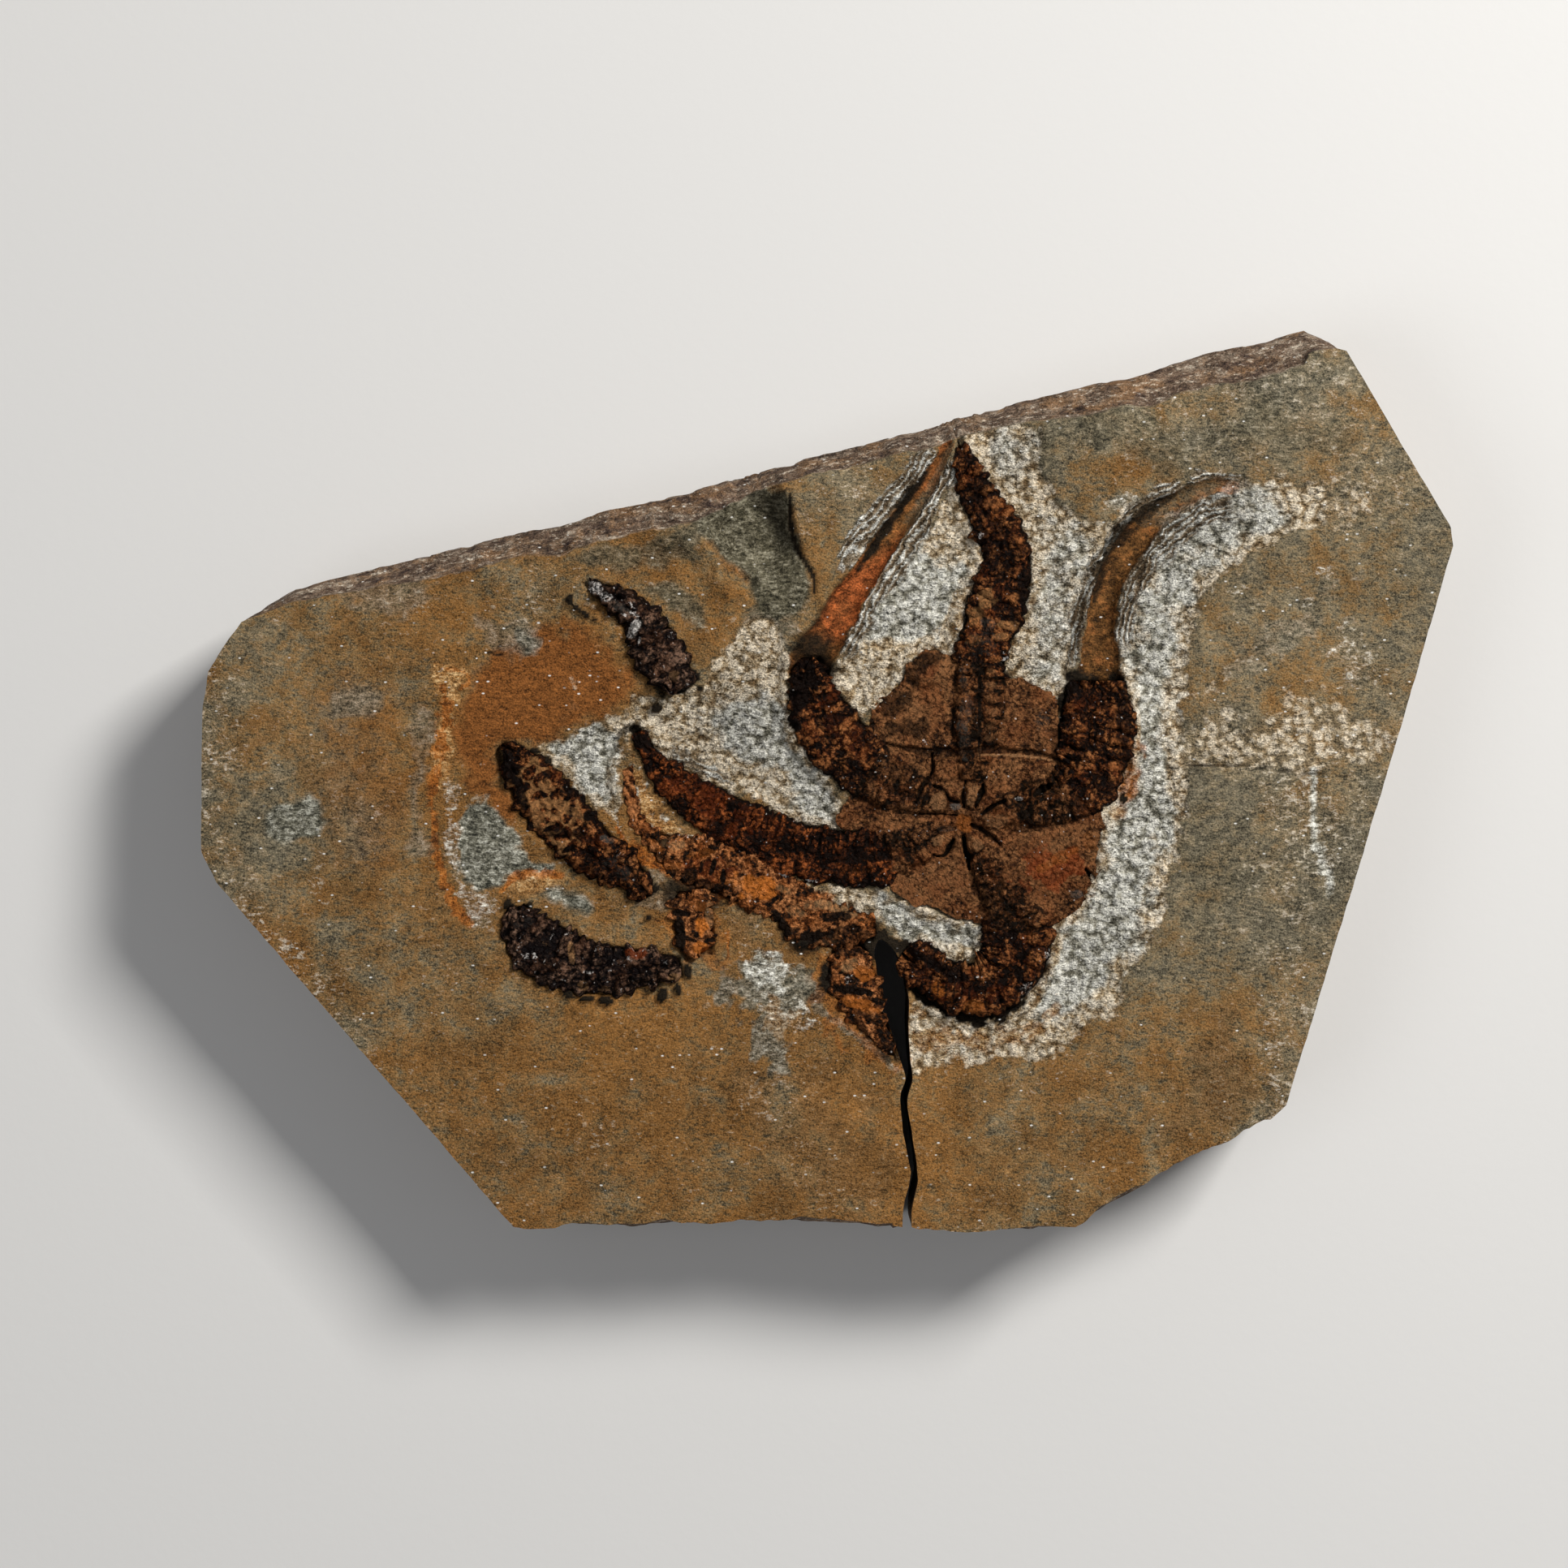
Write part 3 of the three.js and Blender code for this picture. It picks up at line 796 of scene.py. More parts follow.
@dataclass(frozen=True)
class Scrapes:
    """Fine lines that a tool left beside an empty mould.

    Attributes:
        stations: The mould's path.
        side: 1 for its left side and -1 for its right.
        run: Where they begin and end along it.
        width: How far they reach from its edge at the beginning and the end.
        strength: How pale they are.
    """

    stations: tuple[Station, ...]
    side: float
    run: tuple[float, float]
    width: tuple[float, float]
    strength: float = 1.0

    def cover(self, x: Array, y: Array) -> tuple[Array, Array]:
        """Where the lines run.

        Args:
            x: Places along the slab.
            y: Places across it.

        Returns:
            How strongly they show at the points, from 0 to 1, and how far beyond the mould's edge
            the points lie.
        """
        run, side, half = Trail(self.stations).locate(x, y, 5.0)
        beyond = side * self.side - half + 0.10 * NOISE.layered(x, y, 1.2, 2, salt=5)
        share = np.clip((run - self.run[0]) / (self.run[1] - self.run[0]), 0, 1)
        width = self.width[0] + share * (self.width[1] - self.width[0])
        width = width * (1 + 0.35 * NOISE.layered(run * 0.4, run * 0, 1.5, 2, salt=15))
        fading = beyond - width + 0.5 * NOISE.layered(x, y, 1.1, 3, 17)
        band = rise(-0.12, 0.05, beyond) * rise(0.35, -0.35, fading)
        band = band * rise(0, 2.5, run - self.run[0]) * rise(0, 1.5, self.run[1] - run)
        return self.strength * band, beyond


MOULD_RIGHT = (
    (21.2, 8.2, 1.9), (21.2, 11, 1.35), (21.6, 13.5, 1.15), (22.4, 16.2, 1.15), (23.8, 18.6, 1.1),
    (26, 20.9, 1), (28.3, 22.3, .8), (30.2, 23.05, .65), (31.8, 23, .5))
MOULD_LEFT = (
    (-1.2, 9.2, 1.6), (-.1, 11.2, 1.5), (1.5, 13.8, 1.3), (2.9, 16.2, 1.1), (4.3, 18.3, 1),
    (5.7, 20.2, .95), (7.1, 22.2, .75), (8.4, 24.2, .6), (9.5, 26.3, .45))
PATCHES = marked(
    Patch,
    pecked=(
        # The broad band right of the star.
        (((30.6, 22.6), (31.8, 23.9), (34, 23.5), (36, 23.4), (38.2, 23.2), (39.2, 21.8),
          (38, 20), (36, 19.4), (34, 18.4), (32, 17.2), (30, 15.8), (28.8, 13), (28.2, 11), (27.9, 8),
          (27.9, 4), (28.2, 1), (28, -2), (27.6, -5), (27, -8), (26.2, -10.5), (25, -13), (23.8, -15),
          (23, -16.5), (21.3, -18.5), (20, -20), (17, -21.5), (13.4, -21.8), (9.5, -21.8), (6.7, -23),
          (5.9, -19), (8, -16.5), (13, -15), (16, -11), (19, -7), (20.2, -3), (22.6, 1), (22.8, 6),
          (22.6, 10.3), (22.5, 12), (22.8, 14), (23.6, 15.8), (24.4, 17.8), (25.6, 19.5), (26.6, 20.8),
          (28.4, 21.8)),),
        # Between the upper and upper left arms.
        (((9.8, 25.2), (10.4, 23), (11, 20.5), (12.2, 18.8), (12.8, 17.2), (12.6, 14),
          (11.2, 11.8), (9.4, 9.6), (7.5, 8.8), (6, 7.9), (4.5, 6.5), (3, 4.8), (1.8, 5.2), (1.2, 6.8),
          (.5, 8.2), (.8, 9.8), (1.9, 11.5), (3, 13), (4.5, 15.3), (6, 17.3), (7.5, 19.4), (8.8, 21),
          (9.4, 23.5)),),
        # Between the upper and right arms.
        (((13, 9.4), (14, 12), (15, 14), (15, 17), (14.6, 19.4), (13, 21.7), (11.4, 24),
          (10.8, 26.2), (12.4, 28.1), (14.5, 28.2), (16.2, 27.2), (16.5, 25.5), (16.8, 24), (18, 22),
          (20, 20.6), (22.5, 20.4), (24.2, 21.3), (25.8, 22.2), (26.5, 21.8), (24.9, 21.2), (23.2, 19.7),
          (21.7, 18), (20.8, 16), (20.5, 14), (19.9, 11.5), (19.7, 9), (19, 7.4), (18.4, 6.2), (16.5, 6.8),
          (15, 7.8)),),
        # Between the left and upper left arms.
        (((1.1, -3.6), (1.2, -1.7), (.4, .5), (-.6, 2.8), (-1.8, 5), (-2.6, 8), (-2.8, 10.2),
          (-4.2, 12.2), (-6.2, 12.9), (-7.6, 11.3), (-9, 9), (-11, 7.3), (-13, 6.7), (-15, 6.9), (-15.8, 5.6),
          (-14.6, 3.2), (-13.2, 1.6), (-11.5, .5), (-9.5, -.1), (-7.5, -.8), (-6, -1.2), (-3.8, -2.4),
          (-2, -3.4)), 1, .5, .6, 1.8),
        # Right of the middle loose arm.
        (((-22, 2.6), (-20.2, 3.8), (-18.5, 4.9), (-16.5, 5.2), (-15.6, 4.2), (-15.9, 2.6),
          (-16.2, .5), (-16.2, -1.5), (-16.9, -2.6), (-18.2, -1.9), (-19.4, -.9), (-20.4, .4),
          (-21.4, 1.2)),),
        # Between the left and lower arms.
        (((-2, -7.9), (0, -8.1), (2, -8.4), (4, -8.6), (5.5, -9), (7.5, -9.3), (8.6, -10.1),
          (10, -10.5), (11.9, -11), (12.4, -12), (12, -13.2), (10, -14.2), (8.6, -14.4), (7, -13.4),
          (5.6, -12.2), (4.2, -11), (2.2, -10.2), (.5, -9.7), (-1, -9.3)), 1, .5, .25),
        # Scattered pecks by the right edge.
        (((27.6, 5.6), (30, 6.2), (33, 5), (36.5, 6.3), (40, 6.6), (42.4, 4.6), (42.6, 1.2),
          (40.4, .4), (37, -.8), (33.5, 1.2), (30, 1.6), (27.9, 2.4)), .62, 1.4, 2.6, 2.4),
        # Scattered pecks by the upper right edge.
        (((37, 23.4), (40, 24.2), (41.8, 22.8), (42.6, 20.2), (40.4, 19.4), (37.2, 20.2),
          (35.6, 19.6), (36, 22.2)), .55, 1.2, 2.2, 2),
    ),
    white=(
        (((24, 9), (24.6, 15), (27, 19.6), (30.5, 22), (35, 21.7), (35.6, 20.4), (31.5, 18.6), (28.4, 15.6),
          (27, 11), (26.9, 5), (27, 0), (26.4, -5), (25, -10), (23, -14), (20.5, -17.2), (17, -18.4),
          (15, -16), (17, -12), (20, -8), (21.6, -4), (23.4, 0), (24, 4)), 1, 1.3, 1.2),
        (((3, 11.6), (5.2, 10.9), (8.6, 11.4), (10.3, 13.6), (10.6, 16), (9, 17.5), (7.2, 18.4),
          (5.2, 15.8), (4, 13.6)), 1, .7, .8),
        (((11.8, 24.6), (12.8, 27.2), (15.6, 27.4), (16, 25), (14.8, 23.4), (16.8, 20), (20, 18.6),
          (20.6, 17), (19, 13), (18.6, 9), (16.6, 8), (15.6, 10), (16.4, 15), (15.6, 19)), .6, 1.2, 1.6),
        (((1, -3.6), (1.1, -1.7), (.3, .5), (-1.2, 2.8), (-2.9, 4.3), (-3.6, 7), (-6.2, 6.7), (-8.6, 4.6),
          (-7.6, 2.4), (-4.6, 1.4), (-2.6, .2), (-2.4, -1.2), (-4, -1.9), (-1.6, -3.3)), 1, .6, .7),
        (((-22, 2.6), (-20, 3.8), (-18.8, 4.4), (-16.8, 4.2), (-16, 2.6), (-16.4, 0), (-17.2, -1.8),
          (-19.2, -.8), (-20.6, .8)),),
        (((3.6, -8.5), (7.5, -9.2), (10, -10.4), (12.1, -11.2), (12.2, -12.6), (10, -14), (7, -13.2),
          (4.6, -11), (3.4, -9.6)), 1, .5, .4),
    ),
    ochre=(
        (((-16, 20), (-8.6, 15.5), (-4.8, 12.6), (-8, 10.2), (-10, 12), (-14, 17), (-20, 15.6), (-24, 17)),
          .8, 1, 1),
        (((-14, -8), (-8, -10), (0, -10), (4.6, -12), (4.6, -22), (0, -20), (-2, -14), (-8, -13),
          (-12, -13)), .8, 1, 1.2),
        (((25, 30.6), (31, 31.6), (33, 29.4), (29, 28.2), (25, 28.6)), .3, 1, 1.2),
        (((18, 24.6), (22, 25.4), (25.6, 24.4), (25, 22), (20.6, 20.8), (17.8, 22)), .6, 1.2, 1.8),
        (((29, 12), (33, 17.6), (40, 18), (43, 14), (39, 8.6), (31, 8)), .22, 2, 3, 3),
    ),
    rust=(
        (((21.6, -.4), (22.8, .8), (24.3, 3.6), (24.2, .2), (23.6, -1.6), (22.2, -1.4)), .8, .6, 1),
        (((-16.6, -3.4), (-15, -4.6), (-13.4, -5.2), (-11.4, -4.6), (-8.6, -5), (-5.6, -6.8), (-3, -7.8),
          (-.4, -8.4), (.6, -9.2), (-1.6, -10.2), (-3.6, -9.8), (-6, -10.2), (-8.4, -9.6), (-11, -8.8),
          (-12.6, -7.2), (-14.6, -5.9)), .85, .4, .8),
        (((-36, -10), (-30, -13), (-24, -17), (-25, -23), (-33, -20), (-38, -14)), .3, 2.5, 4, 2.4),
        (((19.6, 9), (19.8, 11.4), (22.4, 11.6), (22.8, 9)), .22, .8, 1.2),
        (((-9, .2), (-7, -.6), (-4, -1.8), (-1, -3.4), (-4, -2.4), (-7, -1.4)), .35, .4, .8),
        (((-12, -10), (-8.2, -10), (-7.9, -13.4), (-8.6, -14.4), (-10.6, -14.2), (-12, -12.6)), .55, .6,
          1.6, .9),
        (((-1.2, -13.6), (0, -19), (4.8, -22.4), (6, -22.2), (4.4, -16), (3.6, -12.8)), .6, .5, 1.4, .9),
        (((-9.4, -9.6), (-6.4, -9.4), (-3.4, -9.6), (-4.6, -11), (-8.6, -12), (-10, -11)), .3, .8),
    ),
    yellow=(
        (((-5, -17.4), (-3, -17), (-1.4, -18), (-2.2, -19.4), (-4.6, -18.8)), .6, .5, 1.2),
        (((-30.3, 8.8), (-28, 8.4), (-28.2, 7.6), (-29, 7.2), (-29.2, 5.6), (-29.4, 3), (-29.6, 0),
          (-30.2, -1), (-30.6, 1.6), (-30.3, 4.6)), 1.15, .25, .8, .8),
        (((-25, -7.3), (-22.6, -6.9), (-20.4, -7.3), (-21.8, -8.6), (-24, -9)), .9, .5, .5),
        (((-3.1, 22), (-2.4, 21.4), (-2.3, 20.5), (-2.9, 20.7)), .8, .5, .2),
        (((-5, 23.3), (-2.6, 23.3), (-2.2, 22.9), (-4.4, 22.7)), .6, .5, .3),
        (((13.6, -30), (14.4, -29.8), (14.4, -30.6), (13.7, -30.6)), .9, .5, .2),
        (((22.2, -2), (23.3, -1.9), (23.3, -2.9), (22.3, -2.9)), .9, .5, .2),
        (((5.8, -17.8), (9, -19), (13, -19.4), (16.6, -18), (17.6, -16.6), (18, -18.4), (15, -20.6),
          (11, -21.2), (7.4, -21), (6.4, -20)), .8, .6, 1.4, .8),
        (((-15.2, 2.6), (-14.4, 0), (-12.6, -2.6), (-11, -4.2), (-13, -4.4), (-14.6, -3.4), (-15.2, -1)), 1,
          .4, .8, .8),
    ),
    red=(
        (((-28, 7.5), (-26.6, 9.6), (-24, 11.4), (-20.5, 12.1), (-18, 11.1), (-16.2, 9.2), (-15.2, 7.4),
          (-16, 6), (-18.3, 5.2), (-20, 4.2), (-21.8, 3.2), (-23.8, 3.2), (-25.8, 2.4), (-25.6, .4),
          (-24.8, -1), (-24.6, -3), (-25.8, -2.3), (-27.4, -.9), (-28.4, .6), (-29.2, 3), (-29, 5.6)), 1,
          .8, .8),
        (((-9.3, 19.2), (-8.5, 17.6), (-7.5, 16.4), (-5.8, 15.4), (-6.2, 16.6), (-7.4, 17.6), (-8.6, 19.4)),
          .55, .5, .3),
        (((-38, 8), (-33, 7), (-32.6, 1), (-33.4, -6), (-38, -6), (-39, 2)), .35, 2, 2, 3),
    ),
    grey=(
        (((-28.4, -1.6), (-27, -1.3), (-25.6, -2.6), (-24.5, -4), (-23.7, -5.3), (-22.3, -6.1),
          (-20.6, -6.3), (-22, -7.2), (-24, -7.6), (-26, -8.2), (-28.2, -8), (-29, -5)), 1, .4, .7),
        (((-24.6, 10), (-24.6, 12), (-23.4, 12.4), (-22.4, 11.4), (-22.8, 10)), .8, .5, .8),
        (((-43.6, -3.8), (-42.2, -1.4), (-40, -1), (-39.3, -3), (-41.2, -4.9)),),
        (((-21.9, -8.3), (-20.6, -8.2), (-18.4, -9.7), (-18.6, -10.3), (-20.2, -10), (-21.6, -9.3)), .9, .5,
          .4),
        (((-8.6, -16.2), (-6.4, -14.6), (-4.8, -13.2), (-3, -14.4), (-1.8, -15), (-1, -17.4), (-2.8, -18.6),
          (-3.2, -20.4), (-3.2, -22.6), (-4.8, -22.4), (-6.2, -20), (-5.6, -18), (-7.4, -17.4)), .7, .6,
          1.6, .9),
        (((-7.8, 12), (-5.5, 13.4), (-2.6, 13), (-2.4, 11), (-4, 9), (-6.6, 8.6)), .55, .5, .8),
        (((-14.2, -6.6), (-12.6, -7.2), (-11.6, -8.6), (-12, -9.8), (-14, -9.6), (-15.2, -8.4)), .45, .4, 1,
          .8),
        (((-31.9, 6), (-31.1, 6.4), (-31.2, 2), (-31.8, -2), (-31.3, -5.6), (-32.4, -5.4), (-32.2, 0)), .5,
          .5, .9),
        (((-39, 6.4), (-35, 7.6), (-34, 6), (-36.4, 5)), .5, .6, 1),
        (((-38, 15), (-33.4, 16.6), (-30.6, 15), (-34, 12.6)), .5, .9, 1.4),
        (((-27, 12.6), (-24, 13), (-22.6, 11.2), (-26, 10.4)), .5, .6, .8),
        (((29, 32), (33, 33), (39, 33.4), (41, 30.6), (38, 28.4), (33, 29)), .4, 1.2, 1.6),
        (((31, 9), (36, 12.4), (41, 16.4), (41.6, 15.2), (37, 11), (32, 7.8)), .5, .8, 2.2, .9),
    ),
    fresh=(
        (((-10.4, 20.2), (-8.6, 22.8), (-6.5, 23.2), (-3.3, 22.8), (-2.6, 19.5), (-1.3, 16.2), (-1.1, 14.6),
          (-2.5, 12.8), (-5.7, 13.2), (-6.1, 15.6), (-7.6, 16.8), (-8.8, 18.2)), 1, .5, .4),
        (((-14.6, 18.4), (-12.4, 19.6), (-10, 19.4), (-10.6, 17.6), (-13.8, 17)), .7, .5, .7),
        (((-14.8, 15.2), (-12.2, 15.8), (-9.6, 13.4), (-9.4, 11.8), (-11.2, 12.6), (-12.8, 14)), .8),
        (((-20.5, 17.2), (-17.8, 18.4), (-14.8, 17.9), (-15.2, 16.4), (-18.2, 16.6)), .7),
        (((-44, 3), (-38, 4), (-36, -3), (-40, -8), (-46, -6)), .32, 2, 4, 2.6),
        (((-4, -22), (3, -24), (4, -33), (-4, -32), (-9, -27)), .32, 2, 4, 2.6),
        (((14.6, 28.4), (20, 29.2), (27, 28.2), (33, 28.4), (39.4, 28), (41, 26.6), (38, 24.8), (33, 25.6),
          (28, 25.4), (22, 25.6), (16.6, 24.2), (15, 26.4)), .6, 1.4, 2.6, 3),
        (((30, -20), (34, -18), (34, -24), (30, -27), (25, -28), (27, -23)), .4, 2, 3, 3),
        (((29, -3), (34, -6), (32, -13), (28, -14)), .35, 2, 3, 3),
        (((-7.8, -9.8), (-5.2, -10), (-5.4, -12.6), (-7.2, -13)), .36, .5, .8),
    ),
    # Plain dark stone, crumbs and dulled pecks, with painted shade on the chip's wall.
    shade=(
        # Painted shade on the steep wall of the chip.
        (((-6.4, 22.6), (-3.5, 22.9), (-2.7, 19.8), (-1.3, 16.4), (-2.4, 17.6), (-4.2, 19.9), (-5.4, 21.4)),
          .45, .5, .3),
        (((3.6, -8.5), (7.5, -9.2), (12.1, -11.2), (12.2, -12.6), (10, -14), (4.6, -11)), .08, .6),
        (((-9, 6), (-6, 8), (-2.6, 5), (1.4, -2), (1, -4), (-4, -2), (-9, 3)), .2, 1),
        (((-2.8, 9), (-2, 11.6), (-.4, 11.4), (.6, 10), (.4, 8.4)), .8, .7, 1),
        (((18.3, 6.2), (18.5, 7.9), (19.4, 8.5), (20.4, 8), (23.2, 8.1), (23.4, 7.4)), .9, .3, .7, .7),
        (((-12.6, -7.8), (-8.4, -8), (-8.6, -9.6), (-12.4, -9.8)), .75, .5, .7, .8),
        (((.2, -9.6), (3.8, -10.2), (4.4, -12.6), (3.6, -14), (0, -13), (-2.6, -13.2), (-3, -11.6)), .8, .5,
          .8, .9),
        (((2.6, -11.4), (4, -11.6), (5.2, -11.9), (6.8, -12.7), (7.6, -13.6), (6.4, -14.4), (5.2, -13.6),
          (3.6, -13.4)), 1, .3, .7, .7),
        (((.1, -13.4), (-.6, -14.4), (-.5, -15.8), (.2, -16.6), (.8, -16.4), (.4, -14.6)), .9, .3, .6, .7),
        (((2.6, -18.2), (3.6, -19.8), (4.8, -21.4), (5.6, -21.6), (5.2, -19.4), (4.4, -17.8)), .8, .4, .8,
          .7),
    ),
    pale=(
        (((-6.1, -16), (-6.1, -14.6), (-5.4, -13.4), (-4.2, -13.1), (-3.2, -14.6), (-3.1, -16.4),
          (-3.7, -17.6), (-4.2, -18.6), (-5, -19), (-4.9, -17)), .8, .6, 1, .8),
        (((-3.2, -17.2), (-2.2, -17), (-.8, -18), (.2, -19.2), (-1.4, -19.5), (-3.4, -18.8)), .45),
        (((-30.1, 8.8), (-28.3, 8.4), (-28.6, 7.7), (-29.4, 7.2), (-30, 7.6)), .4, .3, .6, .7),
        (((-30, -1), (-29.2, .6), (-28.6, -.8), (-28.8, -4), (-28.4, -7.6), (-26.4, -8.6), (-25.6, -9.6),
          (-26.6, -12), (-27.8, -11.2), (-28.9, -9.2), (-29.8, -5)), .5),
        (((35, 14), (38, 15.6), (39.4, 17.4), (40, 16.4), (37.6, 14.2)), .42, .6, 1.6, .8),
        (((39.6, 12), (42.6, 11.2), (42.4, 7.4), (40, 7.2)), .42, .8, 1.8, .8),
        (((31.4, 14.6), (33.4, 15.2), (33.6, 13.6), (32, 13.2)), .3, .6, 1.4, .8),
        (((21.4, 22.6), (23.6, 22.2), (24.6, 21), (22.4, 21.4)), .6, .4, .9),
        (((-15, 1.6), (-14.2, -.6), (-12.6, -2.8), (-11.6, -4), (-13.4, -4.2), (-14.6, -2.6)), .74, .3, 1,
          .6),
    ),
    frost=(
        (((36, -1), (40, 0), (44, 6), (42, -4), (39, -14), (36, -26), (33, -24), (33, -16), (33, -8)), .8,
          3, 4, 6),
        (((-52, 12), (-46, 9), (-46, -4), (-41, -12), (-33, -24), (-27, -36), (-60, -30)), .7, 2, 1.5, 4),
        (((24, 24), (34, 25), (42, 20), (50, 20), (44, 36), (20, 34)), .45, 3, 3, 5),
    ),
)
STREAKS = marked(
    Streak,
    rust=(
        (((-29.9, 7.4, .3), (-29.7, 6, .5), (-29.9, 4, .7), (-30.2, 1.5, .6), (-30.8, -1.7, .4),
          (-30.4, -4.8, .4), (-29.9, -7.4, .45), (-29.1, -9.3, .6), (-27.6, -11, .4)), .78, 0, 1.1),
        (((-25.4, -8.6, .2), (-24.2, -7.4, .3), (-22.6, -7.2, .42), (-20.8, -7.3, .25)), .8, 0, 1.1),
        (((-28.6, 7.2, .2), (-27.9, 7.9, .25), (-28.4, 8.6, .15), (-29.9, 8.8, .15)), .7, 0, .8),
        (((-16.4, -3.6, .2), (-15.6, -5, .3), (-14.4, -6.2, .35), (-13.2, -6.6, .3)), .9),
        (((-7.7, -11.8, .12), (-7.7, -13, .15), (-7.6, -14, .1)), .8),
    ),
    grey=(
        (((-1.5, -15, .3), (-1.1, -16.8, .4), (.3, -18.5, .4), (2.5, -20, .4), (4.2, -21.2, .4),
          (5.5, -22.5, .3)), .6, 0, 1),
    ),
    # Painted shade and shadow in a gap, a crease, a hole and below an arm, and plain dark stone.
    shade=(
        # Painted shade in the gap between the disc and the right arm.
        (((18.3, 1.6, .25), (18.4, 4, .35), (18.3, 6.6, .35)), 1.1),
        (((20.9, 14.2, .2), (21.5, 16.8, .5), (23, 19.4, .6), (25.1, 21.3, .45), (27.4, 22.6, .2)), .72, 0,
          .8),
        (((2.4, 16.6, .2), (3.8, 18.7, .42), (5.1, 20.5, .45), (6.4, 22.2, .4), (7.8, 24.2, .25)), .85, 0,
          .8),
        (((-2.4, 10.2, .4), (-1.4, 11.6, .3), (.2, 14.2, .2), (1.4, 16, .12)), .5, 0, .9),
        (((26.6, 1.1, .1), (30, 1.3, .12), (33, 1.2, .1), (36.4, .8, .1), (40.4, .5, .1)), .7, .2),
        # Painted shade along the bottom of the chip's notch.
        (((-2.9, 22.4, .15), (-2.7, 19.5, .2), (-2, 17.6, .22), (-1.1, 16.1, .2), (-1.05, 14.6, .08)), 1,
          .25),
        # Painted shadow below the lower arm.
        (((6.2, -15.6, .3), (7.8, -17, .5), (9.5, -17.9, .7), (11.5, -18.3, .75), (13.4, -18.1, .65),
          (14.6, -17.6, .4), (15.4, -17.1, .2)), 1.1, .35, .9),
        (((-26.4, 10.1, .1), (-25.9, 10, .12), (-25.3, 9.8, .08)), .9, .1),
        (((-16.4, 3.4, .2), (-15.9, 4.1, .3), (-14.9, 4.4, .35), (-13.9, 4, .2)), .7, .1, .8),
        # Painted shade in the hole at the left arm's tip, which is sunk as well.
        (((-14.95, 4.1, .4), (-14.5, 3.4, .55), (-14.2, 2.6, .45)), 1.5, .6),
    ),
    pale=(
        (((37.8, 1, .3), (38, -1.2, .42), (38, -3.4, .42), (38.2, -5, .5), (38.9, -7, .38),
          (39.5, -9.2, .26)), .95, .1, .5),
        (((-16.3, 3, .15), (-16.5, 0, .2), (-16.4, -3, .2), (-15.9, -4.4, .12)), .6),
        (((-12.2, -4.5, .08), (-11, -4.1, .12), (-9.2, -4.8, .1)), .6, -.1),
    ),
)
BITS = tuple(Oval(*row) for row in (
    (-20, 14.3, .34, .44), (-19.5, 13.5, .42, .2, -.6), (-18.8, 13, .44, .19, -.7),
    (-18.1, 12.6, .3, .18, -.3), (-10.3, 8.3, .35, .6, .4), (-9.9, 7.3, .25, .35), (-13.3, 5.8, .6, .4),
    (-12.8, -16.6, .4, .62, -.3), (-11.6, -16.1, .3, .6, .1), (-10.8, -14.8, .4, .6, .2),
    (-17.2, -17, .62, .42), (-18.7, -16.9, .6, .3, .1), (-20.1, -16.6, .5, .3, -.2), (-24.8, -9.6, .42, .6),
    (-23.2, -9.9, .32, .6), (-23.9, 2.5, .45, .35), (-22.8, 2.4, .45, .3), (-21.8, 1.7, .4, .3),
    (23.1, -1.35, .3, .38), (-2.6, 4.5, .38, .42), (-8.1, -7.3, .28, .62, -.1), (-9, -6.6, .25, .6, -.3),
    (-1.9, -12.6, .6, .4, .3), (-13.4, -8.3, .28, .42), (-13.9, -10.6, .26, .24)))
SCRAPES = (
    Scrapes(MOULD_LEFT, 1, (6.6, 19.9), (1.2, 2.1)),
    Scrapes(MOULD_LEFT, -1, (.8, 19.6), (1, 1.5)),
    Scrapes(MOULD_RIGHT, 1, (.2, 17.5), (.9, 1)),
    Scrapes(MOULD_RIGHT, 1, (14.5, 21.4), (.5, .6)),
    Scrapes(MOULD_RIGHT, -1, (1.6, 20.9), (1, 2.6)),
    Scrapes(((-14.2, 3.4, .4), (-11.6, 1, .5), (-7.2, -.9, .5)), 1, (1, 8.6), (.8, .6), .8),
)


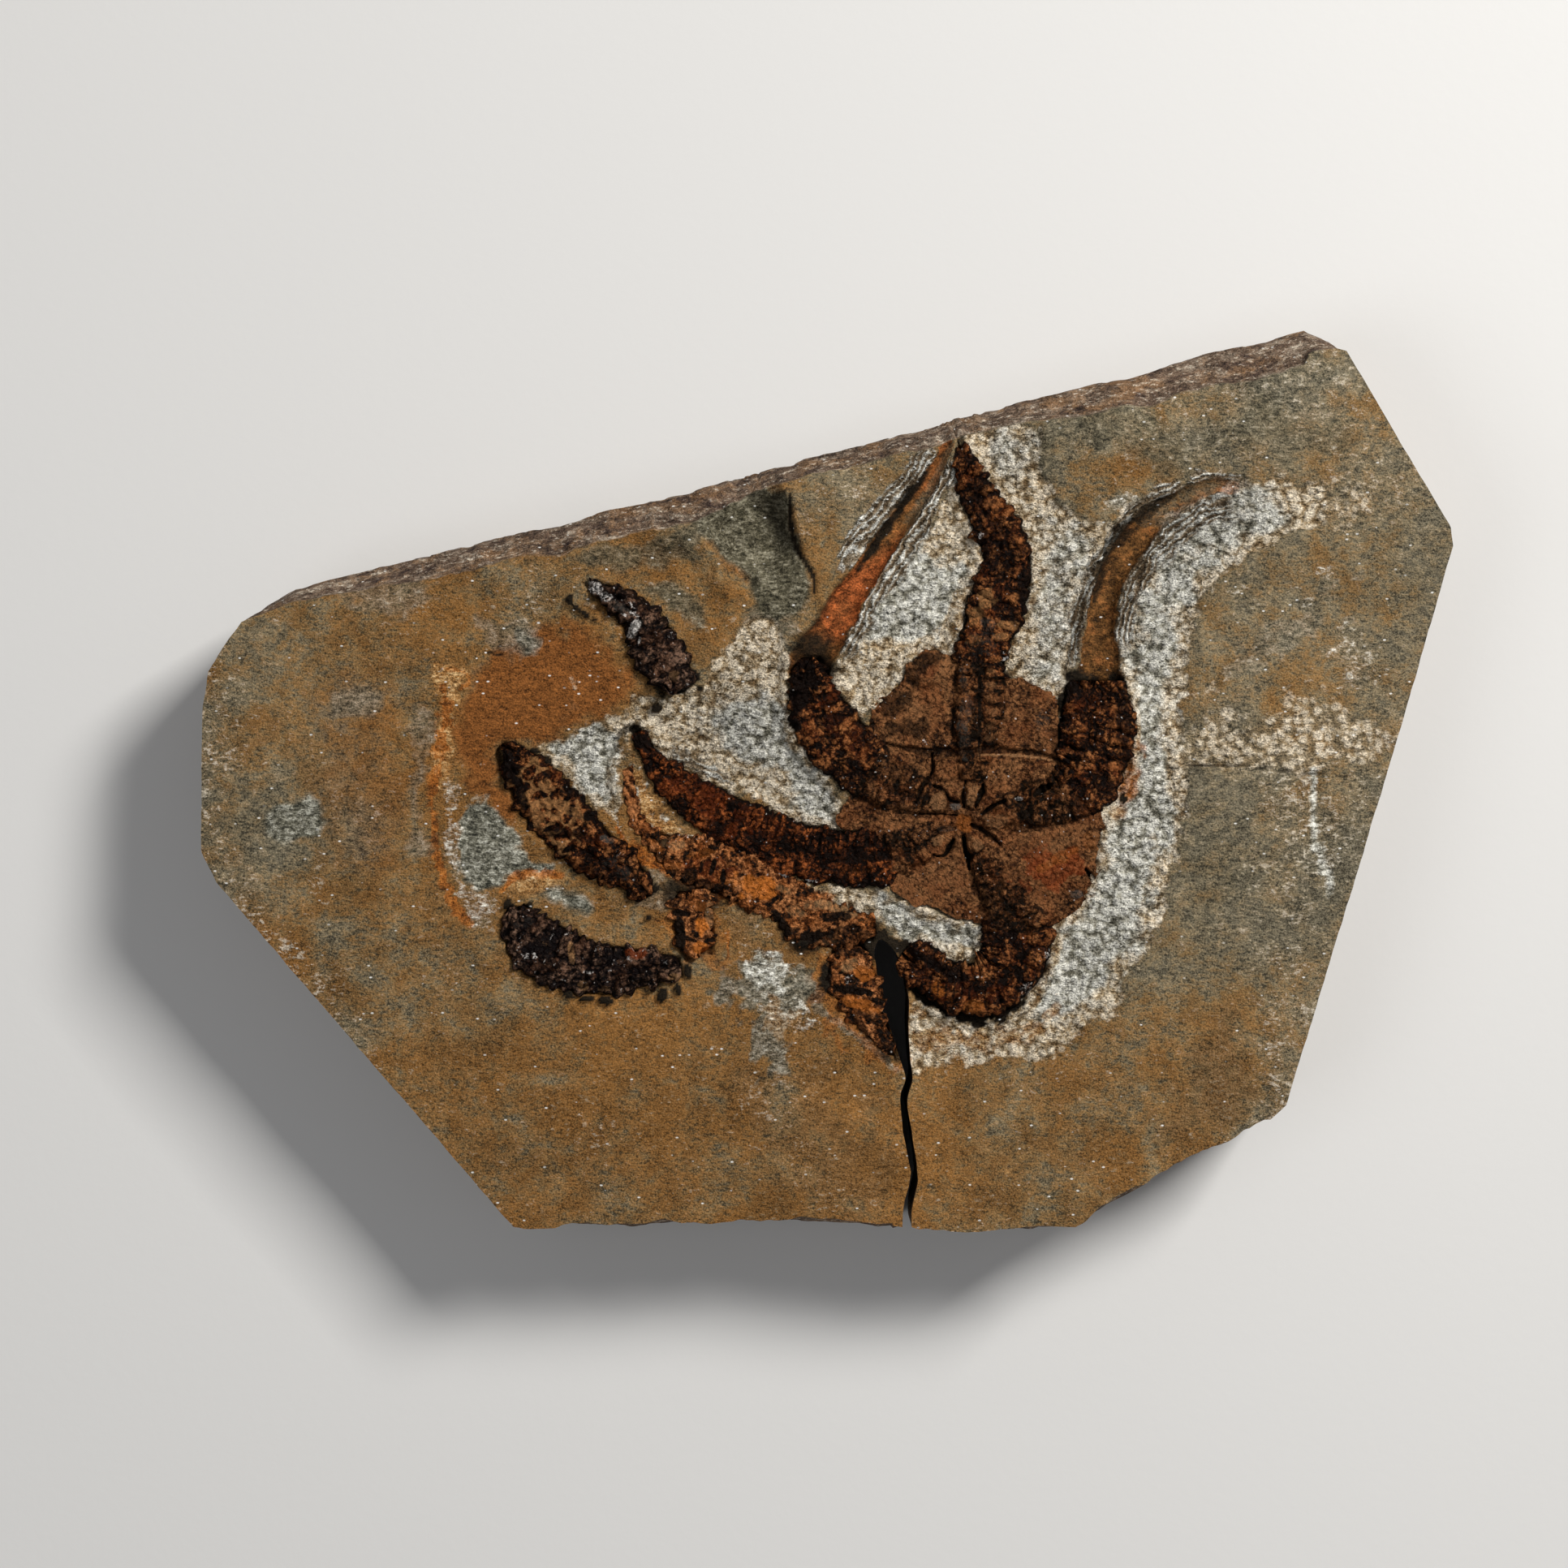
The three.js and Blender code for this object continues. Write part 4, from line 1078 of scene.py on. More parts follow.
@dataclass(frozen=True)
class Face:
    """The bedding face of the slab: its swells, hollows and marks.

    Attributes:
        height: The face above the slab's flat underside.
        pecked_depth: How deep the pecked hollows go.
        chip_depth: How deep the chip by the upper edge goes.
        mould_depth: How deep the empty moulds go.
        flaked_depth: How far the flaked slope drops.
        worn_depth: How far the worn upper edge drops.
        bit_height: How high the bits of fossil left in the stone stand.
        comb_depth: How deep the lines beside the moulds are.
        chip: Where the chip lies.
        flaked: Where the flaked slope lies.
        patches: Its patches.
        streaks: Its streaks.
        bits: The bits of fossil left in the stone.
        scrapes: The lines beside the moulds.
    """

    height: float = 11.0
    pecked_depth: float = 0.55
    chip_depth: float = 2.1
    mould_depth: float = 1.1
    flaked_depth: float = 0.9
    worn_depth: float = 0.9
    bit_height: float = 0.4
    comb_depth: float = 0.08
    chip: Oval = Oval(-5.6, 19.4, 4.6, 5.6)
    flaked: Oval = Oval(-12.2, 15.4, 6.2, 4.4, -0.5)
    patches: tuple[Patch, ...] = PATCHES
    streaks: tuple[Streak, ...] = STREAKS
    bits: tuple[Oval, ...] = BITS
    scrapes: tuple[Scrapes, ...] = SCRAPES

    def swell(self, x: Array, y: Array) -> Array:
        """The low swells of the bedding.

        Args:
            x: Places along the slab.
            y: Places across it.

        Returns:
            Their height.
        """
        long = np.sin(0.11 * x + 0.05 * y + 0.8) * np.cos(0.13 * y - 0.04 * x)
        short = np.sin(0.43 * x - 0.31 * y) * np.sin(0.37 * y + 0.22 * x + 1.3)
        return 0.28 * long + 0.12 * short

    def hollows(self, x: Array, y: Array) -> Array:
        """The chip, the flaked slope and the worn upper edge.

        Args:
            x: Places along the slab.
            y: Places across it.

        Returns:
            How far they drop.
        """
        past = (x + 1.8) * math.cos(-0.32) - (y - 18) * math.sin(-0.32)
        ragged = 0.12 * NOISE.layered(x, y, 1.6, 3, salt=61)
        chip = rise(0, 0.7, self.chip.inside(x, y) + ragged) * (1 - rise(-0.55, 0.25, past + 2 * ragged))
        flaked = rise(0, 0.6, self.flaked.inside(x, y) + ragged)
        worn = rise(-0.9, 0.6, y - 0.27 * x - 24.3 + 4 * ragged)
        return self.chip_depth * chip + self.flaked_depth * flaked + self.worn_depth * worn

    def bedding(self, x: Array, y: Array) -> Array:
        """The face without its pecked hollows, as the fossil lies on it."""
        return self.height + self.swell(x, y) - self.hollows(x, y)

    def grain(self, x: Array, y: Array) -> Array:
        """The fine roughness of the face.

        Args:
            x: Places along the slab.
            y: Places across it.

        Returns:
            Its height.
        """
        ripple = np.sin(0.9 * (y + 0.42 * x) + 1.5 * NOISE.smooth(x / 6, y / 6, 3))
        lower = rise(-18, -26, y) * rise(-12, -2, x) * rise(12, 4, x)
        fine = 0.05 * NOISE.layered(x, y, 1.1, 3, 21) + 0.13 * NOISE.layered(x, y, 4.0, 3, 31)
        return fine + 0.13 * lower * ripple

    def moulds(self, x: Array, y: Array, pecked: Array) -> tuple[Array, Array, Array]:
        """The empty moulds of two arm ends.

        Args:
            x: Places along the slab.
            y: Places across it.
            pecked: Where the face is pecked.

        Returns:
            How they change the face's height, where their floors lie, and how red those are.
        """
        change, groove, red = np.zeros(x.shape), np.zeros(x.shape), np.zeros(x.shape)
        for stations in (MOULD_RIGHT, MOULD_LEFT):
            run, side, half = Trail(stations).locate(x, y)
            across = side / half
            wall = np.abs(side) / half + 0.20 * NOISE.layered(x, y, 1.1, 4, salt=51)
            trough = np.sqrt(np.clip(1 - np.clip(wall, 0, 1) ** 2, 0, 1))
            blush = 0.5 * NOISE.layered(run * 0.5, side, 1.1, 3, 55)
            weathered = 0.6 * rise(11, 15, run)
            if stations is MOULD_LEFT:
                open_end = rise(6.6, 9.6, y - 0.3 * x)
                weathered = weathered * rise(0.3, -0.3, across)
                glow = rise(1.0, 3.6, run) * rise(12.5, 7.5, run + 2.0 * across)
                glow = glow + 0.35 * rise(14.5, 17, run)
            else:
                open_end = rise(5.6, 7.6, y)
                glow = 0.4 * rise(14, 16.5, run) * rise(0.2, -0.6, across)
                glow = glow + 0.55 * rise(18.4, 20.4, run)
            inside = rise(1.12, 0.86, wall)
            change = change - self.mould_depth * np.minimum(1, half) * trough * (0.35 + 0.65 * open_end)
            change = change + 0.5 * self.pecked_depth * pecked * rise(1.6, 1.0, wall)
            change = change + 0.05 * trough * NOISE.layered(x, y, 0.8, 2, 53)
            groove = np.maximum(groove, inside * (1 - weathered))
            red = np.maximum(red, inside * np.clip(glow * (0.8 + blush), 0, 1))
        return change, groove, red

    def combs(self, x: Array, y: Array, groove: Array) -> tuple[Array, Array]:
        """The lines that the tool left beside the moulds.

        Args:
            x: Places along the slab.
            y: Places across it.
            groove: Where the moulds' floors lie.

        Returns:
            How strongly the lines show, and how far beyond the moulds' edges the points lie.
        """
        combed, reach = np.zeros(x.shape), np.zeros(x.shape)
        for scrapes in self.scrapes:
            band, beyond = scrapes.cover(x, y)
            band = band * (1 - groove)
            reach = np.where(band > combed, beyond, reach)
            combed = np.maximum(combed, band)
        return combed, reach

    def weathering(self, x: Array, y: Array) -> Array:
        """How brown the face is: most at the left and at the lower middle.

        Args:
            x: Places along the slab.
            y: Places across it.

        Returns:
            From 0 to about 1.
        """
        stray = 4 * NOISE.layered(x, y, 12, 2, 71)
        far_left = rise(14, -18, x + stray) * (1 - 0.55 * rise(-33, -43, x + stray) * rise(-14, -4, y))
        low_middle = rise(-14, -22, y) * rise(40, 20, np.abs(x - 8))
        return 0.85 * far_left + 0.8 * low_middle

    def surface(self, x: Array, y: Array) -> tuple[Array, dict[str, Array]]:
        """The finished face.

        Args:
            x: Places along the slab.
            y: Places across it.

        Returns:
            Its height and its marks by name.
        """
        marks = {mark: np.zeros(x.shape) for mark in STONE_MARKS}
        for patch in self.patches:
            lay(marks, patch.mark, patch.cover(x, y))
        height = self.bedding(x, y) + self.grain(x, y)
        for streak in self.streaks:
            cover = streak.cover(x, y)
            height = height - streak.drop * cover
            lay(marks, streak.mark, streak.strength * cover)
        pecked = marks[Mark.PECKED]
        bent_x = x + 0.28 * NOISE.layered(x, y, 1.0, 2, 43)
        bent_y = y + 0.28 * NOISE.layered(x, y, 1.0, 2, 45)
        near, between, tone = NOISE.cells(bent_x, bent_y, 0.74, salt=41)
        dome = np.sqrt(np.clip(1 - (near / 0.7) ** 2, 0, 1)) * rise(-0.1, 0.25, between)
        crumbs = dome * (0.5 + 0.5 * tone) + 0.2 * NOISE.layered(x, y, 0.6, 2, 47)
        marks[Mark.BLOB] = pecked * np.clip(crumbs, 0, 1)
        rough = 0.18 * dome * (0.4 + tone) + 0.09 * NOISE.layered(x, y, 0.7, 2, 49) - 0.08
        height = height - self.pecked_depth * 0.85 * pecked + pecked * rough
        change, groove, red = self.moulds(x, y, pecked)
        height = height + change
        for bit in self.bits:
            stray = 0.22 * NOISE.layered(x, y, 0.5, 3, 57) - 0.04
            lump = rise(-0.06, 0.10, bit.inside(x, y) + stray)
            height = height + self.bit_height * lump
            # The bits are laid in the shade mark for their own black colour, not for shade.
            lay(marks, Mark.SHADE_AND_DARK, lump)
            pecked = pecked * (1 - lump)
        combed, reach = self.combs(x, y, groove)
        height = height - self.comb_depth * combed
        marks[Mark.PECKED], marks[Mark.GROOVE] = pecked * (1 - groove), groove
        marks[Mark.COMBED], marks[Mark.REACH] = combed, reach
        marks[Mark.RED] = marks[Mark.RED] * (1 - groove) + red
        marks[Mark.OCHRE] = np.clip(marks[Mark.OCHRE] + self.weathering(x, y), 0, 1)
        return height, {mark.value: values for mark, values in marks.items()}


FACE = Face()


# ---------------------------------------------------------------- finishes


@dataclass(frozen=True)
class StoneFinish:
    """Fine-grained micaceous stone, with its weathered, pecked and stained patches.

    The trios are a patch's darkest, middle and palest colour, and `comb` is how far apart the
    lines beside the moulds lie, in millimetres.
    """

    comb: float = 0.50
    olive: Colour = (0.208, 0.160, 0.092)
    brown: Colour = (0.216, 0.129, 0.052)
    ochre: Colour = (0.210, 0.098, 0.027)
    grey_green: Colour = (0.160, 0.136, 0.090)
    moss: Colour = (0.082, 0.066, 0.036)
    frost: Colour = (0.47, 0.42, 0.34)
    rust: Trio = ((0.13, 0.040, 0.009), (0.31, 0.088, 0.012), (0.45, 0.16, 0.030))
    yellow: Trio = ((0.20, 0.078, 0.020), (0.32, 0.155, 0.047), (0.50, 0.34, 0.165))
    red: Colour = (0.196, 0.071, 0.017)
    grey: Trio = ((0.045, 0.045, 0.034), (0.140, 0.133, 0.098), (0.38, 0.37, 0.31))
    fresh: Trio = ((0.042, 0.038, 0.023), (0.094, 0.082, 0.051), (0.22, 0.20, 0.145))
    beige: Trio = ((0.155, 0.094, 0.042), (0.375, 0.276, 0.160), (0.65, 0.55, 0.41))
    white: Trio = ((0.13, 0.120, 0.088), (0.335, 0.317, 0.256), (0.63, 0.61, 0.54))
    scraped: Trio = ((0.150, 0.100, 0.055), (0.30, 0.24, 0.165), (0.66, 0.64, 0.57))
    mould_brown: Colour = (0.130, 0.058, 0.017)
    mould_red: Colour = (0.275, 0.074, 0.020)
    side: Trio = ((0.040, 0.025, 0.022), (0.135, 0.088, 0.058), (0.30, 0.24, 0.18))
    ironstone: Colour = (0.200, 0.105, 0.045)
    shade: Colour = (0.013, 0.009, 0.005)
    mica_glint: Colour = (0.85, 0.83, 0.78)

    def material(self, name: str) -> Material:
        """Makes the material.

        Args:
            name: Its name.

        Returns:
            The material.
        """
        b = Bench(name)
        place = b.millimetres()
        broad = b.noise(place, 11.0, 2.0)
        patchy = b.noise(place, 3.2, 4.0, 0.6, 0.5)
        mottle = b.noise(place, 1.0, 4.0, 0.65, 0.4)
        fleck = b.noise(b.millimetres((0.7, 1.35, 1.0)), 0.36, 3.0, 0.7)
        fine = b.noise(place, 0.14, 2.0, 0.7)
        broken = b.noise(place, 1.7, 2.0, 0.5)
        speckle = mottle * 0.45 + fleck * 0.55
        warm = b.mark(Mark.OCHRE) * 0.56 + (broad - 0.5) * 1.2 + (patchy - 0.5) * 1.7
        warm = warm + (speckle - 0.5) * 2.2 + 0.29
        browning = (self.grey_green, self.olive, self.brown, self.ochre)
        colour = b.ramp(warm, tuple(zip((0.05, 0.36, 0.62, 0.95), browning)))
        mossy = (patchy * 0.25 + mottle * 0.35 + fleck * 0.40).above(0.50, 0.64) * 0.55
        colour = b.mix(mossy, colour, self.moss)
        frosty = (speckle + b.mark(Mark.FROST) * 0.09).above(0.575, 0.67) * (b.mark(Mark.FROST) * 0.55 + 0.22)
        frosty = frosty * (1.0 - b.mark(Mark.RED)).clamp()
        colour = b.mix(frosty, colour, self.frost)
        colour = b.mix((b.mark(Mark.RED) * 1.2 - fleck * 0.3).clamp(), colour, self.red)
        colour = b.mix((b.mark(Mark.GREY) * 1.5 - fleck * 0.6).clamp(), colour, b.trio(speckle, self.grey))
        colour = b.mix((b.mark(Mark.FRESH) * 1.4 - mottle * 0.6).clamp(), colour, b.trio(speckle, self.fresh))
        bent = b.bend(place, 0.6, 0.18)
        crumb = (0.53 - b.grains(bent, 0.62)) * 0.52 + (b.grains(bent, 0.62, "Color") - 0.5) * 0.14
        crumb = crumb + (mottle - 0.5) * 0.22 + (fleck - 0.5) * 0.42 + b.mark(Mark.BLOB) * 0.08 + 0.52
        white = (b.mark(Mark.WHITE) * 1.2 + (patchy - 0.5) * 1.6 + (mottle - 0.5) * 1.0).above(-0.05, 1.05)
        pecked = b.mix(white, b.trio(crumb, self.beige), b.trio(crumb, self.white))
        colour = b.mix((b.mark(Mark.PECKED) * 1.9 + crumb * 1.4 - 1.35).clamp(), colour, pecked)
        pale = b.trio(crumb * 0.4 + speckle * 0.6 + 0.03, self.white)
        colour = b.mix((b.mark(Mark.PALE) * 1.9 + (speckle - 0.5) * 4.0 - 0.7).clamp(), colour, pale)
        dusted = (b.mark(Mark.YELLOW) * 1.6 - speckle * 1.1).clamp()
        colour = b.mix(dusted, colour, b.trio(speckle, self.yellow))
        colour = b.mix((b.mark(Mark.RUST) * 1.8 - speckle * 1.3).clamp(), colour, b.trio(mottle, self.rust))
        drawn = b.mark(Mark.REACH) + (mottle - 0.5) * 0.7 + (fleck - 0.5) * 0.3 + (patchy - 0.5) * 2.0
        line = (drawn * (2 * math.pi / self.comb)).sine() * 0.44 + 0.42
        line = line + (speckle - 0.5) * 3.2 + (broken - 0.5) * 2.4
        combed = (b.mark(Mark.COMBED) * 1.5 + (speckle - 0.5) * 1.6 + (broken - 0.5) * 1.5 - 0.1).clamp()
        combed = combed * b.mark(Mark.COMBED).above(0.05, 0.3)
        colour = b.mix(combed, colour, b.trio(line.clamp() * 0.30 + 0.35, self.scraped))
        groove = b.mix((b.mark(Mark.RED) + (mottle - 0.5) * 1.2).clamp(), self.mould_brown, self.mould_red)
        crumbled = (b.mark(Mark.GROOVE) * ((speckle - 0.5) * 3.0 + 1.4) - 0.12).clamp()
        colour = b.mix(crumbled, colour, b.tint(groove, (mottle - 0.5) * 2.2 + (fleck - 0.5) * 1.2 + 1.0))
        layers = b.noise(b.millimetres((0.5, 0.5, 2.2)), 1.3, 5.0, 0.75, 0.5)
        wall = b.trio(layers * 0.65 + mottle * 0.35, self.side)
        wall = b.mix((patchy * 0.6 + mottle * 0.4).above(0.49, 0.60) * 0.6, wall, self.ironstone)
        wall = b.mix((fleck * 0.7 + layers * 0.3).above(0.54, 0.64) * 0.6, wall, self.frost)
        colour = b.mix(b.mark(Mark.SIDE), colour, wall)
        # Painted shade and shadow, and plain dark stone and bits, from the shade mark.
        colour = b.mix((b.mark(Mark.SHADE_AND_DARK) * 1.25 - fleck * 0.15).clamp(), colour, self.shade)
        grain = (fine - 0.5) * 3.4 + (fleck - 0.5) * 2.5 + (mottle - 0.5) * 1.2
        grain = grain + (broad + broken - 1.0) * 0.8 + 1.0
        colour = b.tint(colour, grain.clamp(0.25, 2.2))
        # Painted glints: the micaceous flakes are whitened in the colour as if they caught the lamp, and made
        # smoother.
        flake = b.millimetres((0.75, 1.3, 1.0))
        mica_glint = b.grains(flake, 0.6).above(0.20, 0.08) * b.grains(flake, 0.6, "Color").above(0.74, 0.80)
        colour = b.mix(mica_glint * 0.9, colour, self.mica_glint)
        roughness = 0.82 - mica_glint * 0.5 + (fleck - 0.5) * 0.2
        normal = b.bump(fine * 0.5 + fleck, 0.16)
        normal = b.bump(mottle, 0.16, normal)
        normal = b.bump(crumb * b.mark(Mark.PECKED), 0.45, normal)
        normal = b.bump(line * combed, 0.20, normal)
        return b.finish(colour, roughness, normal, Specular_IOR_Level=0.10)


@dataclass(frozen=True)
class FossilFinish:
    """Dark mineral that took the place of the animal's plates.

    Attributes:
        deep: The colour of the joints between plates, and of the painted shade in seams and pits.
        dark: The colour of the darkest plates.
        plate: The colour of the palest plates.
        blush: The warm tint over some of them.
        orange: The colour of the mark of that name, as are the next four.
        tan: The stone that fills joints.
        pale: Painted glints, and pale bare spots.
        red: Reddened plates.
        grey: Dulled plates.
        gloss: How much the plates shine.
        sparkle: How many of the crumbs get a painted glint.
        silver_glints: How strongly painted glints show as pale patches on the mineral's fresh faces.
        pitted: How dark the painted shade in the pits between its crumbs is.
    """

    deep: Colour
    dark: Colour
    plate: Colour
    blush: Colour = (0.095, 0.025, 0.007)
    orange: Colour = (0.265, 0.078, 0.012)
    tan: Colour = (0.33, 0.175, 0.075)
    pale: Colour = (0.62, 0.58, 0.54)
    red: Colour = (0.190, 0.035, 0.007)
    grey: Colour = (0.125, 0.115, 0.098)
    gloss: float = 0.5
    sparkle: float = 0.15
    silver_glints: float = 0.0
    pitted: float = 0.32

    def material(self, name: str) -> Material:
        """Makes the material.

        Args:
            name: Its name.

        Returns:
            The material.
        """
        b = Bench(name)
        place = b.millimetres()
        blotch = b.noise(place, 2.4, 3.0, 0.6, 0.8)
        mottle = b.noise(place, 0.8, 4.0, 0.68, 0.6)
        fleck = b.noise(place, 0.26, 3.0, 0.7, 0.3)
        crumbs = b.bend(place, 0.5, 0.16)
        grain = b.grains(crumbs, 0.40, "Color")
        pit = b.grains(crumbs, 0.40, "Distance").above(0.42, 0.72)
        tone = b.mark(Mark.TONE) + (mottle - 0.5) * 0.8 + (fleck - 0.5) * 1.5 + (blotch - 0.5) * 0.5
        # Painted shade: the pits between the crumbs are darkened.
        tone = tone + (grain - 0.5) * (0.30 + 0.62 * self.pitted) - pit * self.pitted
        tone = tone + (0.04 + 0.22 * self.pitted)
        colour = b.ramp(tone, ((0.04, self.deep), (0.35, self.dark), (0.80, self.plate)))
        blush = ((b.noise(place, 1.7, 3.0, 0.6) - 0.5) * 3.0 + tone * 0.7 - 0.1).clamp()
        colour = b.mix(blush * 0.6, colour, self.blush)
        stain = mottle * 0.7 + fleck * 0.5
        colour = b.mix((b.mark(Mark.RED) * 1.5 - stain * 1.2).clamp(0, 0.8), colour, self.red)
        colour = b.mix((b.mark(Mark.ORANGE) * 1.8 - stain * 1.5).clamp(), colour, self.orange)
        colour = b.mix((b.mark(Mark.TAN) * 1.8 - stain * 1.4).clamp(), colour, self.tan)
        colour = b.mix((b.mark(Mark.GREY) * 1.7 - stain * 1.3).clamp(), colour, self.grey)
        colour = b.mix((b.mark(Mark.BLACK) * 1.6 - stain * 0.8).clamp(), colour, self.deep)
        # Dark joints, with painted shade in seams between crumbs and along the edges, from the gap mark.
        colour = b.mix((b.mark(Mark.GAP) * 1.5 - stain * 0.4).clamp(), colour, self.deep)
        colour = b.tint(colour, ((fleck - 0.5) * 2.6 + (mottle - 0.5) * 1.6 + 1.0).clamp(0.25, 2.2))
        # Painted glints: the pale mark's spots, pale specks on some crumbs and the silver_glints patches.
        colour = b.mix((b.mark(Mark.PALE) * 2.6 + (fleck - 0.5) * 5.0 - 1.35).clamp(), colour, self.pale)
        spark = b.grains(crumbs, 0.42, "Color").above(0.90 - self.sparkle, 0.94 - self.sparkle)
        glint = b.grains(crumbs, 0.42).above(0.24, 0.10) * fleck.above(0.46, 0.56) * spark
        sheet = (b.noise(place, 1.1, 4.0, 0.7) * 0.7 + fleck * 0.3).above(0.60, 0.66) * self.silver_glints
        colour = b.mix((glint * 0.85 + sheet * 0.8).clamp(), colour, self.pale)
        roughness = (0.70 - self.gloss * 0.35 + b.mark(Mark.TAN) * 0.2 + (fleck - 0.5) * 0.4).clamp()
        normal = b.bump(fleck + grain * 0.5 - pit * 0.6, 0.16)
        normal = b.bump(mottle, 0.30, normal)
        return b.finish(colour, roughness, normal, Specular_IOR_Level=0.06)


@dataclass(frozen=True)
class FloorFinish:
    """Plain pale board, with the faintest tooth."""

    colour: Colour = (0.74, 0.73, 0.71)

    def material(self, name: str) -> Material:
        """Makes the material.

        Args:
            name: Its name.

        Returns:
            The material.
        """
        b = Bench(name)
        tooth = b.noise(b.millimetres(), 0.8, 2.0)
        return b.finish(self.colour, 0.9, b.bump(tooth, 0.01))


class Fossil(Enum):
    """The record's slots for fossil pieces, and the finish of each."""

    DISC = ("disc_fossil", FossilFinish(
        (0.006, 0.003, 0.001), (0.058, 0.021, 0.007), (0.215, 0.096, 0.037), blush=(0.138, 0.038, 0.010),
        tan=(0.27, 0.135, 0.058), pitted=0.12))
    DARK = ("dark_fossil", FossilFinish(
        (0.005, 0.002, 0.001), (0.052, 0.015, 0.004), (0.310, 0.122, 0.040), blush=(0.140, 0.030, 0.006),
        tan=(0.34, 0.165, 0.062)))
    BLACK = ("black_fossil", FossilFinish(
        (0.004, 0.002, 0.002), (0.026, 0.014, 0.009), (0.170, 0.098, 0.064), blush=(0.080, 0.030, 0.012),
        gloss=0.8, sparkle=0.2, silver_glints=1.0))
    RED = ("red_fossil", FossilFinish((0.005, 0.002, 0.001), (0.054, 0.013, 0.003), (0.320, 0.088, 0.022)))
    RUSTY = ("rusty_fossil", FossilFinish(
        (0.008, 0.004, 0.002), (0.105, 0.033, 0.009), (0.45, 0.185, 0.068), blush=(0.25, 0.066, 0.011),
        orange=(0.47, 0.138, 0.020), tan=(0.42, 0.235, 0.105), pitted=0.10))

    def __init__(self, slot: str, finish: FossilFinish) -> None:
        """Keeps the slot's name and the finish apart."""
        self.slot = slot
        self.finish = finish


def stand_for(piece: Piece, node: str, slot: str, material: Material) -> None:
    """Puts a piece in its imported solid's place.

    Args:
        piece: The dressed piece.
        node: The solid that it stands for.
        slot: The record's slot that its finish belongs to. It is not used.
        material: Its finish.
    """
    piece.data.materials.append(material)
    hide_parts(node)
    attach(piece, "root")
    log.info("%s stands for %s with %d faces", piece.name, node, len(piece.data.polygons))


# ---------------------------------------------------------------- slab


@dataclass(frozen=True)
class Corner:
    """A corner of the slab's base, with what the wall after it does.

    Attributes:
        x: Its place along the slab.
        y: Its place across it.
        lean: How far the wall leans in on its way up.
        rough: How far a broken wall strays, or 0 for a sawn one.
    """

    x: float
    y: float
    lean: float
    rough: float


CORNERS = tuple(Corner(*row) for row in (
    (-24.4, -34.9, .1, .3), (-3.4, -34.3, .1, .3), (9.8, -35.2, .1, .15), (19.4, -34.8, .1, .25),
    (27.2, -30, .1, .25), (34.6, -26.4, .05, 0), (35.8, -25.2, 0, 0), (45.2, 5.7, 0, 0), (48.8, 18.4, 0, 0),
    (48.6, 19.9, 0, 0), (40.4, 33.9, 0, .1), (37.8, 35.3, 2.2, .3), (32.4, 34, 2.7, .25), (22, 31.2, 2, .2),
    (9, 27.9, 1.2, .2), (-4.7, 24.2, 1, .2), (-13.6, 21.9, 2.3, .25), (-26.8, 18.7, 1.8, .2),
    (-42.2, 14.7, .7, .1), (-45.8, 12.7, .1, 0), (-48.3, 8.6, 0, 0), (-48.8, 5.2, 0, 0),
    (-48.8, -5.4, 0, 0), (-47.6, -7.8, 0, 0), (-25.3, -33.8, 0, 0)))
CRACK = (
    (4.2, -12.3, .3), (4.4, -12.9, 1.3), (5, -15, 2.1), (5.2, -16.8, 2.3), (5.6, -19, 1.6),
    (6.1, -21.6, .8), (6.4, -23.2, .6), (6, -24.6, .6), (6.3, -27.4, .6), (6.8, -31, .6), (6.3, -33.2, .7),
    (6.3, -37, .8))


